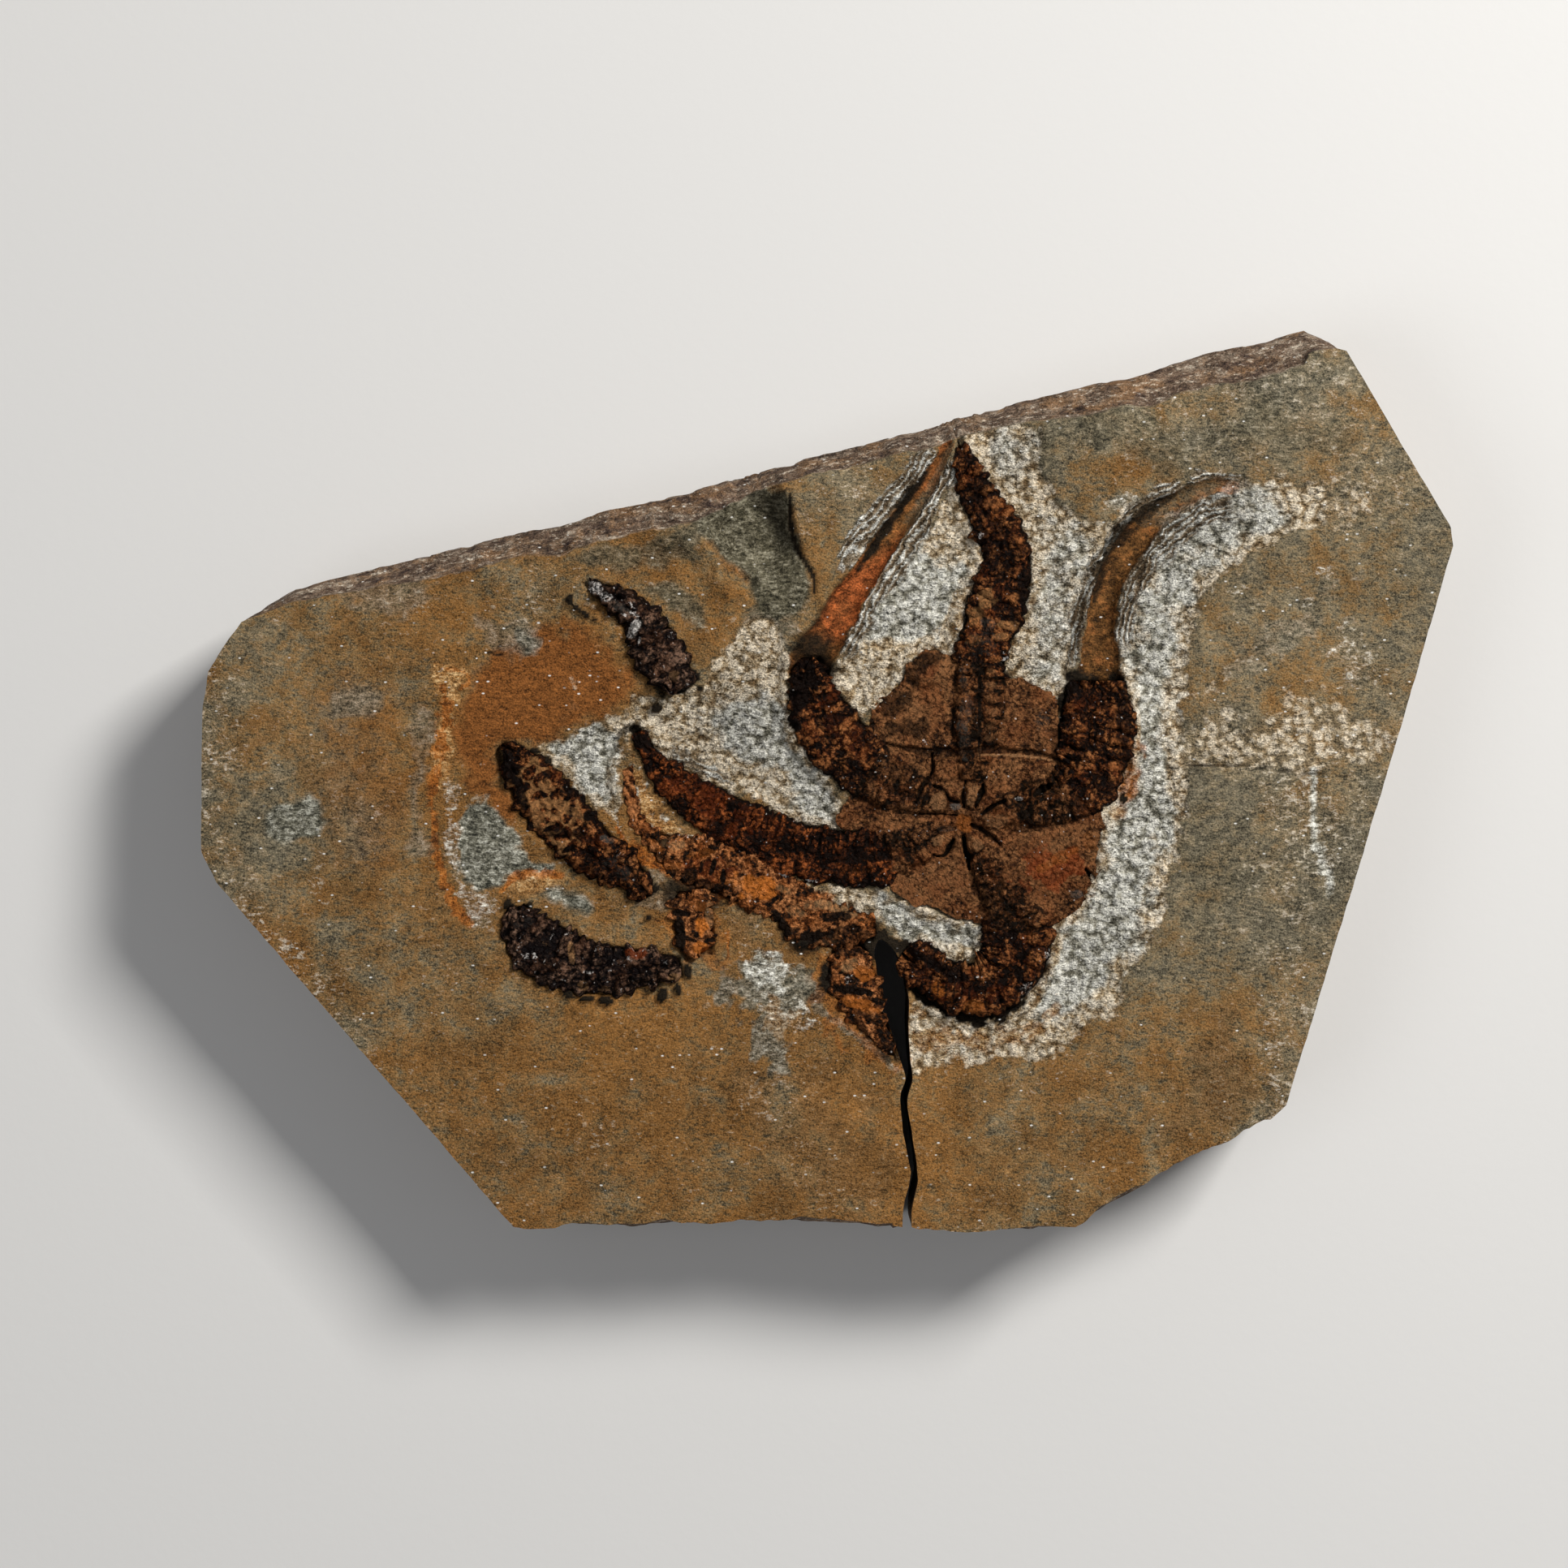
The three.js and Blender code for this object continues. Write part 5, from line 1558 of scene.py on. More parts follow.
@dataclass
class Slab:
    """The slab: one relief cut to the outline and the crack, with sawn and broken walls.

    Attributes:
        fine: The cell size where the fossil lies.
        coarse: The cell size towards the edges.
        window: The left, right, lower and upper bounds of the fine cells.
        shares: How high up the wall each ring of points lies, from the rim down.
        under: How far the face gives way below the fossil.
        crossing: Where along the lower edge the crack opens, and how far to each side of it.
        apart: How near each other rim points may lie.
        layer: How far the layers of a broken wall stand out.
        ledge: How far its upper part steps back.
    """

    fine: float = 0.21
    coarse: float = 0.62
    window: tuple[float, float, float, float] = (-31.0, 33.0, -23.5, 26.5)
    shares: tuple[float, ...] = (0.955, 0.90, 0.83, 0.75, 0.66, 0.56, 0.45, 0.33, 0.2, 0.08, 0.0)
    under: float = 0.75
    crossing: tuple[float, float] = (6.3, 0.6)
    apart: float = 0.06
    layer: float = 0.30
    ledge: float = 0.35

    def walk(self) -> Array:
        """The base outline and the crack's edges, in close steps.

        Returns:
            Rows of x, y, inward x, inward y, lean and rough.
        """
        rows = []
        trail = flowing(np.array(CRACK), 12)
        for start, end in zip(CORNERS, CORNERS[1:] + CORNERS[:1]):
            long = math.hypot(end.x - start.x, end.y - start.y)
            inward = ((start.y - end.y) / long, (end.x - start.x) / long)
            for share in np.arange(0, 1, 0.25 / long):
                x, y = start.x + share * (end.x - start.x), start.y + share * (end.y - start.y)
                lean = start.lean + share * (end.lean - start.lean)
                if y < 0 and abs(x - self.crossing[0]) < self.crossing[1]:
                    if not any(row[5] < 0 for row in rows):
                        rows.extend(self.crack_rows(trail, y))
                    continue
                rows.append((x, y, *inward, lean, start.rough))
        return np.array(rows)

    @staticmethod
    def crack_rows(trail: Array, bottom: float) -> list[tuple[float, ...]]:
        """The crack's edges as rows of the outline: up its left side and down its right.

        Args:
            trail: The crack's x, y and width from its top down.
            bottom: Where the lower edge crosses it.

        Returns:
            Rows as `walk` gives them, with a negative rough for the crack.
        """
        kept = trail[trail[:, 1] > bottom]
        stray = 0.10 * NOISE.layered(kept[:, 0] * 0, kept[:, 1], 1.4, 3, 81)
        half = np.maximum(kept[:, 2] / 2, 0.15)
        left = [(x - h + s, y, -1.0, 0.0, 0.0, -0.1) for (x, y, _), h, s in zip(kept, half, stray)]
        right = [(x + h + s, y, 1.0, 0.0, 0.0, -0.1) for (x, y, _), h, s in zip(kept, half, -0.7 * stray)]
        return left[::-1] + right

    def edges(self) -> tuple[Array, Array]:
        """The walk's base points and its rim points.

        Returns:
            The base as rows of x, y and how broken the wall is, and the rim, set in by the
            wall's lean and its breaks, as rows of x and y.
        """
        rows = self.walk()
        x, y, lean, rough = rows[:, 0], rows[:, 1], rows[:, 4], rows[:, 5]
        inward = rows[:, 2:4].copy()
        for _ in range(6):
            blended = (np.roll(inward, 1, axis=0) + inward * 2 + np.roll(inward, -1, axis=0)) / 4
            inward = np.where(rough[:, None] < 0, inward, blended)
        inward /= np.maximum(np.hypot(*inward.T), 1e-6)[:, None]
        broken = np.clip(rough, 0, 1)
        stray = broken * (0.5 + 1.5 * NOISE.layered(x, y, 3.2, 4, 91))
        stray = stray + 0.03 * NOISE.layered(x, y, 0.9, 2, 93)
        stray = stray * np.where(lean > 0.6, 1.5, 1.0)
        base = rows[:, :2] + inward * np.clip(stray, 0.0, 2.0)[:, None] * 0.4
        rim = rows[:, :2] + inward * (lean + np.clip(stray, -0.1, 2.0))[:, None]
        crack = rough[:, None] < 0
        base, rim = np.where(crack, rows[:, :2], base), np.where(crack, rows[:, :2], rim)
        return np.column_stack([base, broken]), rim

    def lines(self, low: float, high: float, first: float, last: float) -> Array:
        """Grid lines that lie close in one stretch and wide elsewhere.

        Args:
            low: The first line.
            high: The last line.
            first: Where the stretch begins.
            last: Where it ends.

        Returns:
            The lines' places.
        """
        before = np.linspace(low, first, max(2, round((first - low) / self.coarse)), endpoint=False)
        middle = np.linspace(first, last, round((last - first) / self.fine), endpoint=False)
        after = np.linspace(last, high, max(2, round((high - last) / self.coarse)) + 1)
        return np.concatenate([before, middle, after])

    def build(self, star: "BrittleStar") -> Piece:
        """Makes the slab.

        Args:
            star: The fossil, below which the face gives way.

        Returns:
            The slab's piece.
        """
        base, rim = self.edges()
        low, high = rim.min(0) - 0.3, rim.max(0) + 0.3
        left, right, lower, upper = self.window
        columns = self.lines(low[0], high[0], left, right)
        x, y = np.meshgrid(columns, self.lines(low[1], high[1], lower, upper))
        outline = Outline([tuple(point) for point in rim], legs=1)
        middle_x = (x[:-1, :-1] + x[1:, 1:]) / 2
        middle_y = (y[:-1, :-1] + y[1:, 1:]) / 2
        sheet = Relief(np.stack([x, y, np.zeros(x.shape)], axis=2), outline.inside(middle_x, middle_y) > 0)
        sheet.heal()
        loop = sheet.rim()
        flat = sheet.points.reshape(-1, 3)
        foot = np.zeros((len(loop), 3))
        for i, point in enumerate(flat[loop, :2]):
            foot[i], flat[loop[i], :2] = self.nearest(point, base, rim)
        foot, flat[loop, :2] = self.spread(foot, flat[loop, :2])
        x, y = sheet.points[..., 0], sheet.points[..., 1]
        height, marks = FACE.surface(x, y)
        cover = star.cover(x, y)
        height = height + 0.8 * FACE.pecked_depth * marks[Mark.PECKED.value] * rise(-1.3, -0.2, cover)
        height = height - self.under * rise(0.12, 0.5, cover)
        stained = rise(-1.5, -0.2, cover + 0.8 * NOISE.layered(x, y, 1.3, 3, 97))
        marks[Mark.WHITE.value] = marks[Mark.WHITE.value] * (1 - 0.85 * stained)
        stained = rise(-0.9, -0.1, cover + 0.7 * NOISE.layered(x, y, 1.0, 3, 99)) * marks[Mark.PECKED.value]
        lay(marks, Mark.RUST.value, 0.4 * stained)
        sheet.points[..., 2] = height
        sheet.marks = marks
        bare = {mark.value: 0.0 for mark in (Mark.PECKED, Mark.GROOVE, Mark.COMBED, Mark.SHADE_AND_DARK)}
        return sheet.close("slab", self.rings(flat[loop], foot), bare | {Mark.SIDE.value: 1.0})

    @staticmethod
    def nearest(point: Array, base: Array, rim: Array) -> tuple[Array, Array]:
        """The nearest place on the rim, and the base point below it.

        Args:
            point: A point near the rim.
            base: The base outline.
            rim: The rim, point for point with the base.

        Returns:
            The base point and the rim point.
        """
        start = int(np.argmin(((rim - point) ** 2).sum(1)))
        best, found = 1e9, None
        for a in (start - 1, start):
            b = (a + 1) % len(rim)
            edge = rim[b] - rim[a]
            share = float(np.clip((point - rim[a]) @ edge / max(edge @ edge, 1e-12), 0, 1))
            place = rim[a] + share * edge
            far = float(((point - place) ** 2).sum())
            if far < best:
                best, found = far, (base[a] + share * (base[b] - base[a]), place)
        return found

    def spread(self, foot: Array, top: Array) -> tuple[Array, Array]:
        """Moves apart the rim points that share a spot, so that the wall has no pleats.

        Args:
            foot: The base point below each point.
            top: The rim's points.

        Returns:
            Both again, set right.
        """
        both = np.column_stack([foot, top])
        for _ in range(2):
            ahead, behind = np.roll(both, -1, axis=0), np.roll(both, 1, axis=0)
            near = np.minimum(np.hypot(*(ahead - both)[:, 3:].T), np.hypot(*(both - behind)[:, 3:].T))
            both = np.where((near < self.apart)[:, None], (ahead + behind) / 2, both)
        return both[:, :3], both[:, 3:]

    def rings(self, top: Array, foot: Array) -> list[Array]:
        """Loops of points down the walls, with the layers of the broken ones.

        Args:
            top: The rim's points.
            foot: The base point below each.

        Returns:
            The loops, from below the rim to the underside.
        """
        out = foot[:, :2] - top[:, :2]
        broken, steep = rise(0.02, 0.15, foot[:, 2]), rise(0.5, 0.1, np.hypot(*out.T))
        away = np.roll(top[:, :2], -1, axis=0) - np.roll(top[:, :2], 1, axis=0)
        away = np.column_stack([away[:, 1], -away[:, 0]])
        for _ in range(5):
            away = (np.roll(away, 1, axis=0) + 2 * away + np.roll(away, -1, axis=0)) / 4
        away /= np.maximum(np.hypot(*away.T), 1e-6)[:, None]
        rings = []
        for share in self.shares:
            height, level = top[:, 2] * share, np.full(len(top), share)
            along = steep * (1 - share**1.4) + (1 - steep) * rise(1.0, 0.70, level)
            drawn = top[:, :2] * 0.35 + height[:, None] * (2.2, -1.7)
            layer = NOISE.layered(*drawn.T, 1.5, 3, 95)
            step = broken * (self.layer * layer + self.ledge * (1 - steep) * rise(0.1, 0.6, level))
            step = np.clip(step + 0.02 * layer, -0.5, 0.5) * rise(1.0, 0.85, level)
            place = top[:, :2] + out * along[:, None] + away * step[:, None]
            rings.append(np.column_stack([place, height]))
        return rings


# ---------------------------------------------------------------- the brittle star


@dataclass(frozen=True)
class Lane:
    """A column of plates along an arm.

    Attributes:
        middle: Where it runs, from -1 at the arm's right edge to 1 at its left.
        half: Its half width, in the same measure.
        pitch: The length of a plate with its joint.
        lift: How far a plate stands proud.
        tone: How pale its plates are, from 0 to 1.
        vary: How much the tone changes from plate to plate.
        lean: How far a row slants forwards towards the arm's left edge.
    """

    middle: float
    half: float
    pitch: float
    lift: float = 0.24
    tone: float = 0.42
    vary: float = 0.4
    lean: float = 0.0


@dataclass(frozen=True)
class Stain:
    """An oval of one mark on a fossil piece, with its half widths, turn and strength."""

    mark: Mark
    x: float
    y: float
    rx: float
    ry: float
    turn: float = 0.0
    strength: float = 1.0

    def cover(self, x: Array, y: Array) -> Array:
        """How strongly the stain shows.

        Args:
            x: Places along the slab.
            y: Places across it.

        Returns:
            From 0 to its strength, at each place.
        """
        reach = min(1.0, min(self.rx, self.ry) / 0.8)
        stray = 0.55 * NOISE.layered(x, y, 0.9, 3, salt=101 + int(7 * self.x))
        deep = Oval(self.x, self.y, self.rx, self.ry, self.turn).inside(x, y) / reach
        return self.strength * rise(-0.1, 0.45, deep + stray)


@dataclass(frozen=True)
class Arm:
    """An arm, or a stretch of one: its path, its plates and its stains.

    Attributes:
        name: Its node and piece name.
        look: Its slot and finish.
        stations: Its x, y and half width from its base to its tip.
        height: How high its crest stands, as a share of a full one.
        lanes: Its columns of plates.
        start: Where the piece begins along the path.
        bead: The length of the beads along its edges.
        ragged: How far the beads stand out.
        stains: Its other colours.
        grain: How coarse its crumbs are.
        crest: How high its middle stands, in millimetres.
        salt: Which of many unlike patterns it has.
        mortar: How far tan stone fills the joints between its plates.
        filled: The stretch along its path where it does.
        base: How pale it is between its plates.
        mottled: How much the tone changes from crumb to crumb.
        dip: How far its edges dip into the stone.
        tuck: How far its base dips further under the disc.
    """

    name: str
    look: Fossil
    stations: tuple[Station, ...]
    height: float
    lanes: tuple[Lane, ...]
    start: float = 0.0
    bead: float = 0.95
    ragged: float = 0.16
    stains: tuple[Stain, ...] = ()
    grain: float = 0.42
    crest: float = 0.50
    salt: int = 0
    mortar: float = 0.0
    filled: tuple[float, float] = (0.0, 99.0)
    base: float = 0.24
    mottled: float = 0.46
    dip: float = 0.75
    tuck: float = 0.7

    def relief(
        self, run: Array, across: Array, half: Array, x: Array, y: Array
    ) -> tuple[Array, dict[Mark, Array]]:
        """The arm's height above the bedding and its marks.

        Args:
            run: Distances along the arm.
            across: Places across it, from -1 to 1.
            half: Its half width there.
            x: The same places along the slab.
            y: The same places across it.

        Returns:
            The height and the marks.
        """
        thin = np.clip(half, 0.25, 1)
        wide = np.abs(across)
        sway = run + 0.26 * NOISE.layered(x, y, 1.2, 3, self.salt + 11)
        drift = across + 0.20 * NOISE.layered(x, y, 1.0, 3, self.salt + 13) / np.maximum(half, 0.6)
        dome = np.clip(1 - np.clip(wide, 0, 1) ** 3.4, 0, 1) ** 0.55
        plates, tone = np.zeros(run.shape), np.full(run.shape, self.base)
        joint = np.ones(run.shape)
        for number, lane in enumerate(self.lanes):
            wobble = 0.20 * NOISE.layered(run, across * 2, 2.2, 2, self.salt + 3 * number)
            step = (sway + lane.lean * across) / lane.pitch + wobble + 0.37 * number
            row = np.floor(step)
            salt = self.salt + 17 * number
            shift = 0.16 * (self.draw(row, salt) - 0.5)
            grow = 0.78 + 0.3 * self.draw(row, salt + 1)
            from_joint = np.abs(2 * (step - row - 0.5)) / grow
            width = lane.half * (0.8 + 0.3 * self.draw(row, salt + 2))
            from_edge = np.abs(drift - lane.middle - shift) / width
            body = np.clip(1 - from_joint**2.4, 0, 1) * np.clip(1 - from_edge**2.8, 0, 1)
            body = body * rise(0.0, 0.3, self.draw(row, salt + 4) - 0.10)
            lift = lane.lift * (0.5 + 1.0 * self.draw(row, salt + 3)) * body**0.7
            higher = lift > plates
            plates = np.where(higher, lift, plates)
            own = lane.tone + lane.vary * (self.draw(row, salt + 5) - 0.5)
            tone = np.where(higher, self.base + (own - self.base) * body**0.6, tone)
            joint = np.minimum(joint, 1 - body**0.5)
        bent_x = x + 0.16 * NOISE.layered(x, y, 0.6, 2, self.salt + 15)
        bent_y = y + 0.16 * NOISE.layered(x, y, 0.6, 2, self.salt + 19)
        near, between, crumb = NOISE.cells(bent_x, bent_y, self.grain, salt=self.salt + 7)
        crumbs = (0.6 - near) * (0.4 + 1.2 * crumb)
        height = self.crest * self.height * thin * dome
        height = height + (1.25 * plates + 0.24 * crumbs) * thin * np.clip(dome * 1.4, 0, 1)
        height = height + 0.14 * NOISE.layered(x, y, 1.3, 3, self.salt + 9) * thin
        # Dark joints between plates, with painted shade along the arm's edges and in the seams between
        # crumbs.
        gap = rise(0.45, 1.0, joint) * (0.5 if self.lanes else 0.0) + rise(0.82, 1.0, wide) * 0.4
        gap = gap + rise(0.22, 0.02, between) * (0.4 if self.lanes else 0.16)
        tone = tone + self.mottled * (crumb - 0.5) + 0.20 * NOISE.layered(x, y, 0.9, 2, self.salt + 21)
        values = {mark: np.zeros(run.shape) for mark in FOSSIL_MARKS}
        for stain in self.stains:
            lay(values, stain.mark, stain.cover(x, y))
        _, apart, dull = NOISE.cells(sway + 0.5 * across**2, drift * half * 0.6, 0.92, salt=self.salt + 23)
        seams = 0.26 + 0.36 * NOISE.layered(x, y, 1.5, 3, self.salt + 25)
        filled = rise(0.12, -0.08, apart - seams) * rise(0.95, 0.7, wide) * rise(0.1, 0.25, dull)
        first, last = self.filled
        filled = self.mortar * filled * rise(first, first + 1.5, run) * rise(last, last - 2.5, run)
        lay(values, Mark.TAN, filled)
        values[Mark.GAP], values[Mark.TONE] = np.clip(gap, 0, 1) * (1 - filled), tone
        return height, values

    @staticmethod
    def draw(row: Array, salt: int) -> Array:
        """A random number from 0 to 1 for each row of plates."""
        return NOISE.draw(row, np.full(row.shape, salt * 31.0), salt)

    def cover(self, x: Array, y: Array) -> Array:
        """How deep inside the arm points lie.

        Args:
            x: Places along the slab.
            y: Places across it.

        Returns:
            The distance to its edge, positive inside.
        """
        trail = Trail(self.stations)
        run, side, half = trail.locate(x, y, 3.5)
        past = (run > trail.length - 1e-6) | (run < 1e-6)
        return np.where(past, 0.0, half) - np.abs(side)

    def build(self, star: "BrittleStar", cell: float = 0.105) -> Piece:
        """Makes the arm as a strip swept along its path.

        Args:
            star: The star, whose disc the arm's base slips under.
            cell: The size of the strip's cells.

        Returns:
            The arm's piece.
        """
        trail = Trail(self.stations)
        runs = np.linspace(self.start, trail.length, max(12, round((trail.length - self.start) / cell)))
        widest = max(station[2] for station in self.stations)
        shares = np.linspace(-1, 1, max(16, round(2 * widest / cell)))
        run, across = np.meshgrid(runs, shares, indexing="ij")
        _, _, half = trail.at(run)
        sign = np.where(across > 0, 1.0, 2.0)
        step = run / self.bead + 0.13 * sign + 0.25 * NOISE.smooth(run / 2.5, sign * 9.0, self.salt)
        row = np.floor(step)
        knob = np.clip(1 - (2 * (step - row - 0.5)) ** 2, 0, 1) ** 0.6
        knob = knob * (0.4 + self.draw(row, self.salt + 40)) - 0.5
        edge = half + 1.5 * self.ragged * knob * rise(0.35, 1.0, np.abs(across)) * np.clip(half, 0.4, 1)
        edge = edge + 0.50 * NOISE.layered(run, sign * 5.0, 1.1, 5, self.salt + 2) * np.clip(half, 0.3, 1)
        left = trail.length - run if self.start > 0 else np.minimum(trail.length - run, run)
        end = np.clip(left / np.minimum(half, 0.9), 0, 1)
        edge = edge * np.sqrt(np.clip(1 - (1 - end) ** 2, 0.02, 1))
        pull = 0.9 * NOISE.layered(across * half, run * 0, 1.1, 3, self.salt + 6) * rise(2.2, 0.2, left)
        x, y = trail.place(run + pull, across * edge)
        lift, values = self.relief(run, across, half, x, y)
        lip = rise(1.0, 0.93, np.abs(across)) * rise(0.0, 0.35, trail.length - run)
        if self.start <= 0:
            lip = lip * rise(0.0, 0.35, run)
        height = FACE.bedding(x, y) + lift - self.dip * (1 - lip)
        if self.start > 0:
            height = height - self.tuck * rise(0.45, 1.0, star.disc.inside(x, y))
        points = np.stack([x, y, height], axis=2).transpose(1, 0, 2).copy()
        kept = np.ones((points.shape[0] - 1, points.shape[1] - 1), bool)
        marks = {mark.value: value.T for mark, value in values.items()}
        sheet = Relief(points, kept, marks)
        top = points.reshape(-1, 3)[sheet.rim()]
        floor = star.floor(self.name)
        middle = np.column_stack([top[:, :2], top[:, 2] * 0.5 + floor * 0.5])
        piece = sheet.close(self.name, [middle, np.column_stack([top[:, :2], np.full(len(top), floor)])])
        stand_for(piece, self.name, self.look.slot, star.material(self.look))
        return piece


ARM_UP = Arm(
    "arm_up", Fossil.DARK,
    ((10.9, -1, .8), (11.3, 1.2, 1.4), (11.7, 4, 1.95), (11.9, 6.8, 2.05), (12, 9.4, 2.1), (12.6, 12, 2.3),
     (13.5, 14.4, 2.35), (14, 16.4, 2.15), (13.9, 18.2, 1.95), (13.2, 19.8, 1.9), (12.2, 21.6, 1.6),
     (11.2, 23.6, 1.1), (10.6, 25.2, .75), (10.2, 26.9, .35)),
    1,
    (Lane(.58, .4, 1.15, .2, .48, .45), Lane(-.52, .42, 1.04, .26, .55, .35),
     Lane(.02, .16, .8, .12, .12, .2)),
    start=9.2, bead=.9, ragged=.24, salt=200,
    stains=(
        *marked(
            Stain,
            red=((12.8, 8.4, 1, 1, 0, .4),),
            orange=((12.4, 20.4, .8, .6, 0, .5), (12.2, 22.3, .7, .5, 0, .5)),
            tan=((13.7, 17.2, .4, 1.6, .1, .4), (12.7, 14.2, 1.2, .9, .2, .8), (11.3, 12.9, .8, .8, 0, .7),
                (14.2, 12.2, .9, .5, 0, .8), (11.5, 11, 1, .5, 0, .6), (13.6, 11.3, .8, .4, 0, .7),
                (10.8, 7.4, .6, .7, 0, .4), (10.7, 4.2, .5, .5, 0, .4), (12.9, 6, .7, .45, 0, .5),
                (12.7, 1.4, .6, .5, 0, .3)),
            black=((15.4, 15.4, .9, 3, .1, .9), (13.8, 18.4, 2.4, 2.6, 0, .66),
                (12, 22.6, 1.2, 2.8, 0, .62), (12.2, 18.6, .5, 2.6, .2, .85), (11.85, 5.4, .16, 4, 0, .9),
                (9.8, 5.6, .16, 3.4, 0, .9)),
            grey=((12.6, 12.4, .7, .7, 0, .6), (10.8, 5.4, .8, 3.6, 0, .55), (12.2, 10.8, 1.6, 1.6, 0, .5)),
            # Painted glints.
            pale=((13.9, 9.5, .5, .22, .5, .55), (12, 19.2, .35, .4, 0, .55)),
        ),
        *(Stain(Mark.BLACK, 13.5 - .02 * row, 2.9 + 1.04 * row, .55, .2, 0, .95) for row in range(7)),
        *(Stain(Mark.BLACK, 12.7, 2.9 + 1.04 * row, .7, .1, 0, .7) for row in range(7)),
        *(Stain(Mark.TAN, 12.75, 3.4 + 1.04 * row, .62, .36, 0, .58) for row in range(6)),
    ),
)
ARM_RIGHT = Arm(
    "arm_right", Fossil.DARK,
    ((11.9, -2.6, .8), (13.6, -2.3, 1.3), (16, -1.9, 1.75), (18.4, -1.1, 2.3), (20.1, .4, 2.7),
     (20.88, 2.6, 3.1), (21.08, 4.8, 3.05), (21, 6.6, 2.7), (21, 7.9, 2.2)),
    1,
    (Lane(.62, .34, 1, .24, .36, .5), Lane(-.6, .36, 1, .24, .34, .5), Lane(0, .26, .9, .16, .25, .5)),
    start=5.4, bead=.85, ragged=.24, salt=220,
    stains=marked(
        Stain,
        orange=((23.4, 1.6, .9, 1.6, 0, .5), (21.4, 5.2, .8, 1.8, 0, .35)),
        tan=((19.3, 3.3, .4, .8, .3, .4), (13.3, -3, .9, .5, 0, .7)),
        black=((23.2, 4.4, .7, 3.2, 0, .8), (19.1, 7.1, .8, .7), (19.2, 1.8, 1, 1.4, 0, .6),
            (16.6, -.8, .5, .35, .4), (18.6, -1.6, 1.6, .5, .3, .6)),
        grey=((19.2, 5.2, .7, 1.2, 0, .35),),
        # Painted glint.
        pale=((15, -1.3, .3, .2, 0, .6),),
    ),
)
ARM_UPPER_LEFT = Arm(
    "arm_upper_left", Fossil.DARK,
    ((9.4, -2, .8), (7.6, -1.3, 1.4), (5.6, -.5, 2), (3.2, 1, 2.4), (1.4, 2.6, 2.55), (0, 4.4, 2.55),
     (-1, 6.4, 2.05), (-1.4, 8.3, 1.55), (-1.2, 9.8, 1.1)),
    .9,
    (Lane(.58, .38, .92, .22, .42, .5), Lane(-.5, .42, .96, .22, .46, .45), Lane(.04, .18, .8, .12, .2, .3)),
    start=5.4, bead=.8, ragged=.22, salt=240,
    stains=marked(
        Stain,
        red=((.3, 6.6, 1.2, 1.2, 0, .8), (1.2, 4, 2, 1.6, -.6, .55), (3.4, 1.4, 2.2, 1.4, -.6, .4)),
        orange=((.2, 6.2, .7, .7, 0, .5),),
        black=((-2.2, 6.8, 1, 2, -.1), (-1.4, 8.6, .9, 1.4, .2), (-2.5, 4.4, .6, .6)),
    ),
)
ARM_LEFT = Arm(
    "arm_left", Fossil.RED,
    ((9.2, -3.6, .8), (8.2, -4.3, 1.2), (6.4, -5.3, 1.85), (3.8, -5.9, 2.15), (.9, -5.9, 2.3),
     (-2, -5.3, 2.25), (-4.8, -4.4, 2.15), (-7.4, -3.1, 2.05), (-9.7, -1.8, 1.75), (-11.6, -.3, 1.45),
     (-13, 1.1, 1.05), (-14, 2.4, .8), (-14.5, 3.2, .74), (-14.75, 3.9, .6)),
    .75,
    (Lane(.5, .44, 1, .18, .42, .45), Lane(-.46, .46, .72, .2, .3, .5, .15),
     Lane(.02, .12, .7, .1, .02, .1)),
    start=3.9, bead=.62, ragged=.14, salt=260, grain=.36,
    stains=(
        *marked(
            Stain,
            red=((-9.6, -1.6, 4.6, 1.9, -.62, .72), (-5, -3.4, 3, 1.2, -.45, .55),
                (-1.6, -3.9, 3.4, .8, -.2, .4)),
            orange=((-11.4, .2, 1.2, .8, -.6, .4), (-7.4, -2.6, 1.4, .6, -.4, .35),
                (1.8, -6.9, 2.8, .8, 0, .5), (-3, -6.1, 1.8, .7, -.2, .45)),
            black=((2.6, -5.9, 3.8, .5, 0, .8), (-2.8, -4.9, 2.4, .5, -.25, .6), (-14.5, 3.2, .7, .9),
                (4.4, -4.6, 2.6, .7, 0, .5)),
            # Painted glints along the lower edge.
            pale=((-5.4, -6.5, .5, .12, -.3, .8), (-3.6, -7.3, .6, .12, -.2, .8),
                (-1.2, -7.7, .6, .12, -.15, .8)),
        ),
        *(Stain(Mark.BLACK, 5.2 - .72 * row, -4.4 - .02 * abs(row - 4), .17, .7, -.1, .9)
          for row in range(11)),
        *(Stain(Mark.BLACK, -4.6 - .72 * row, -2.2 + .42 * row, .22, .4, -.5, .95) for row in range(9)),
    ),
)
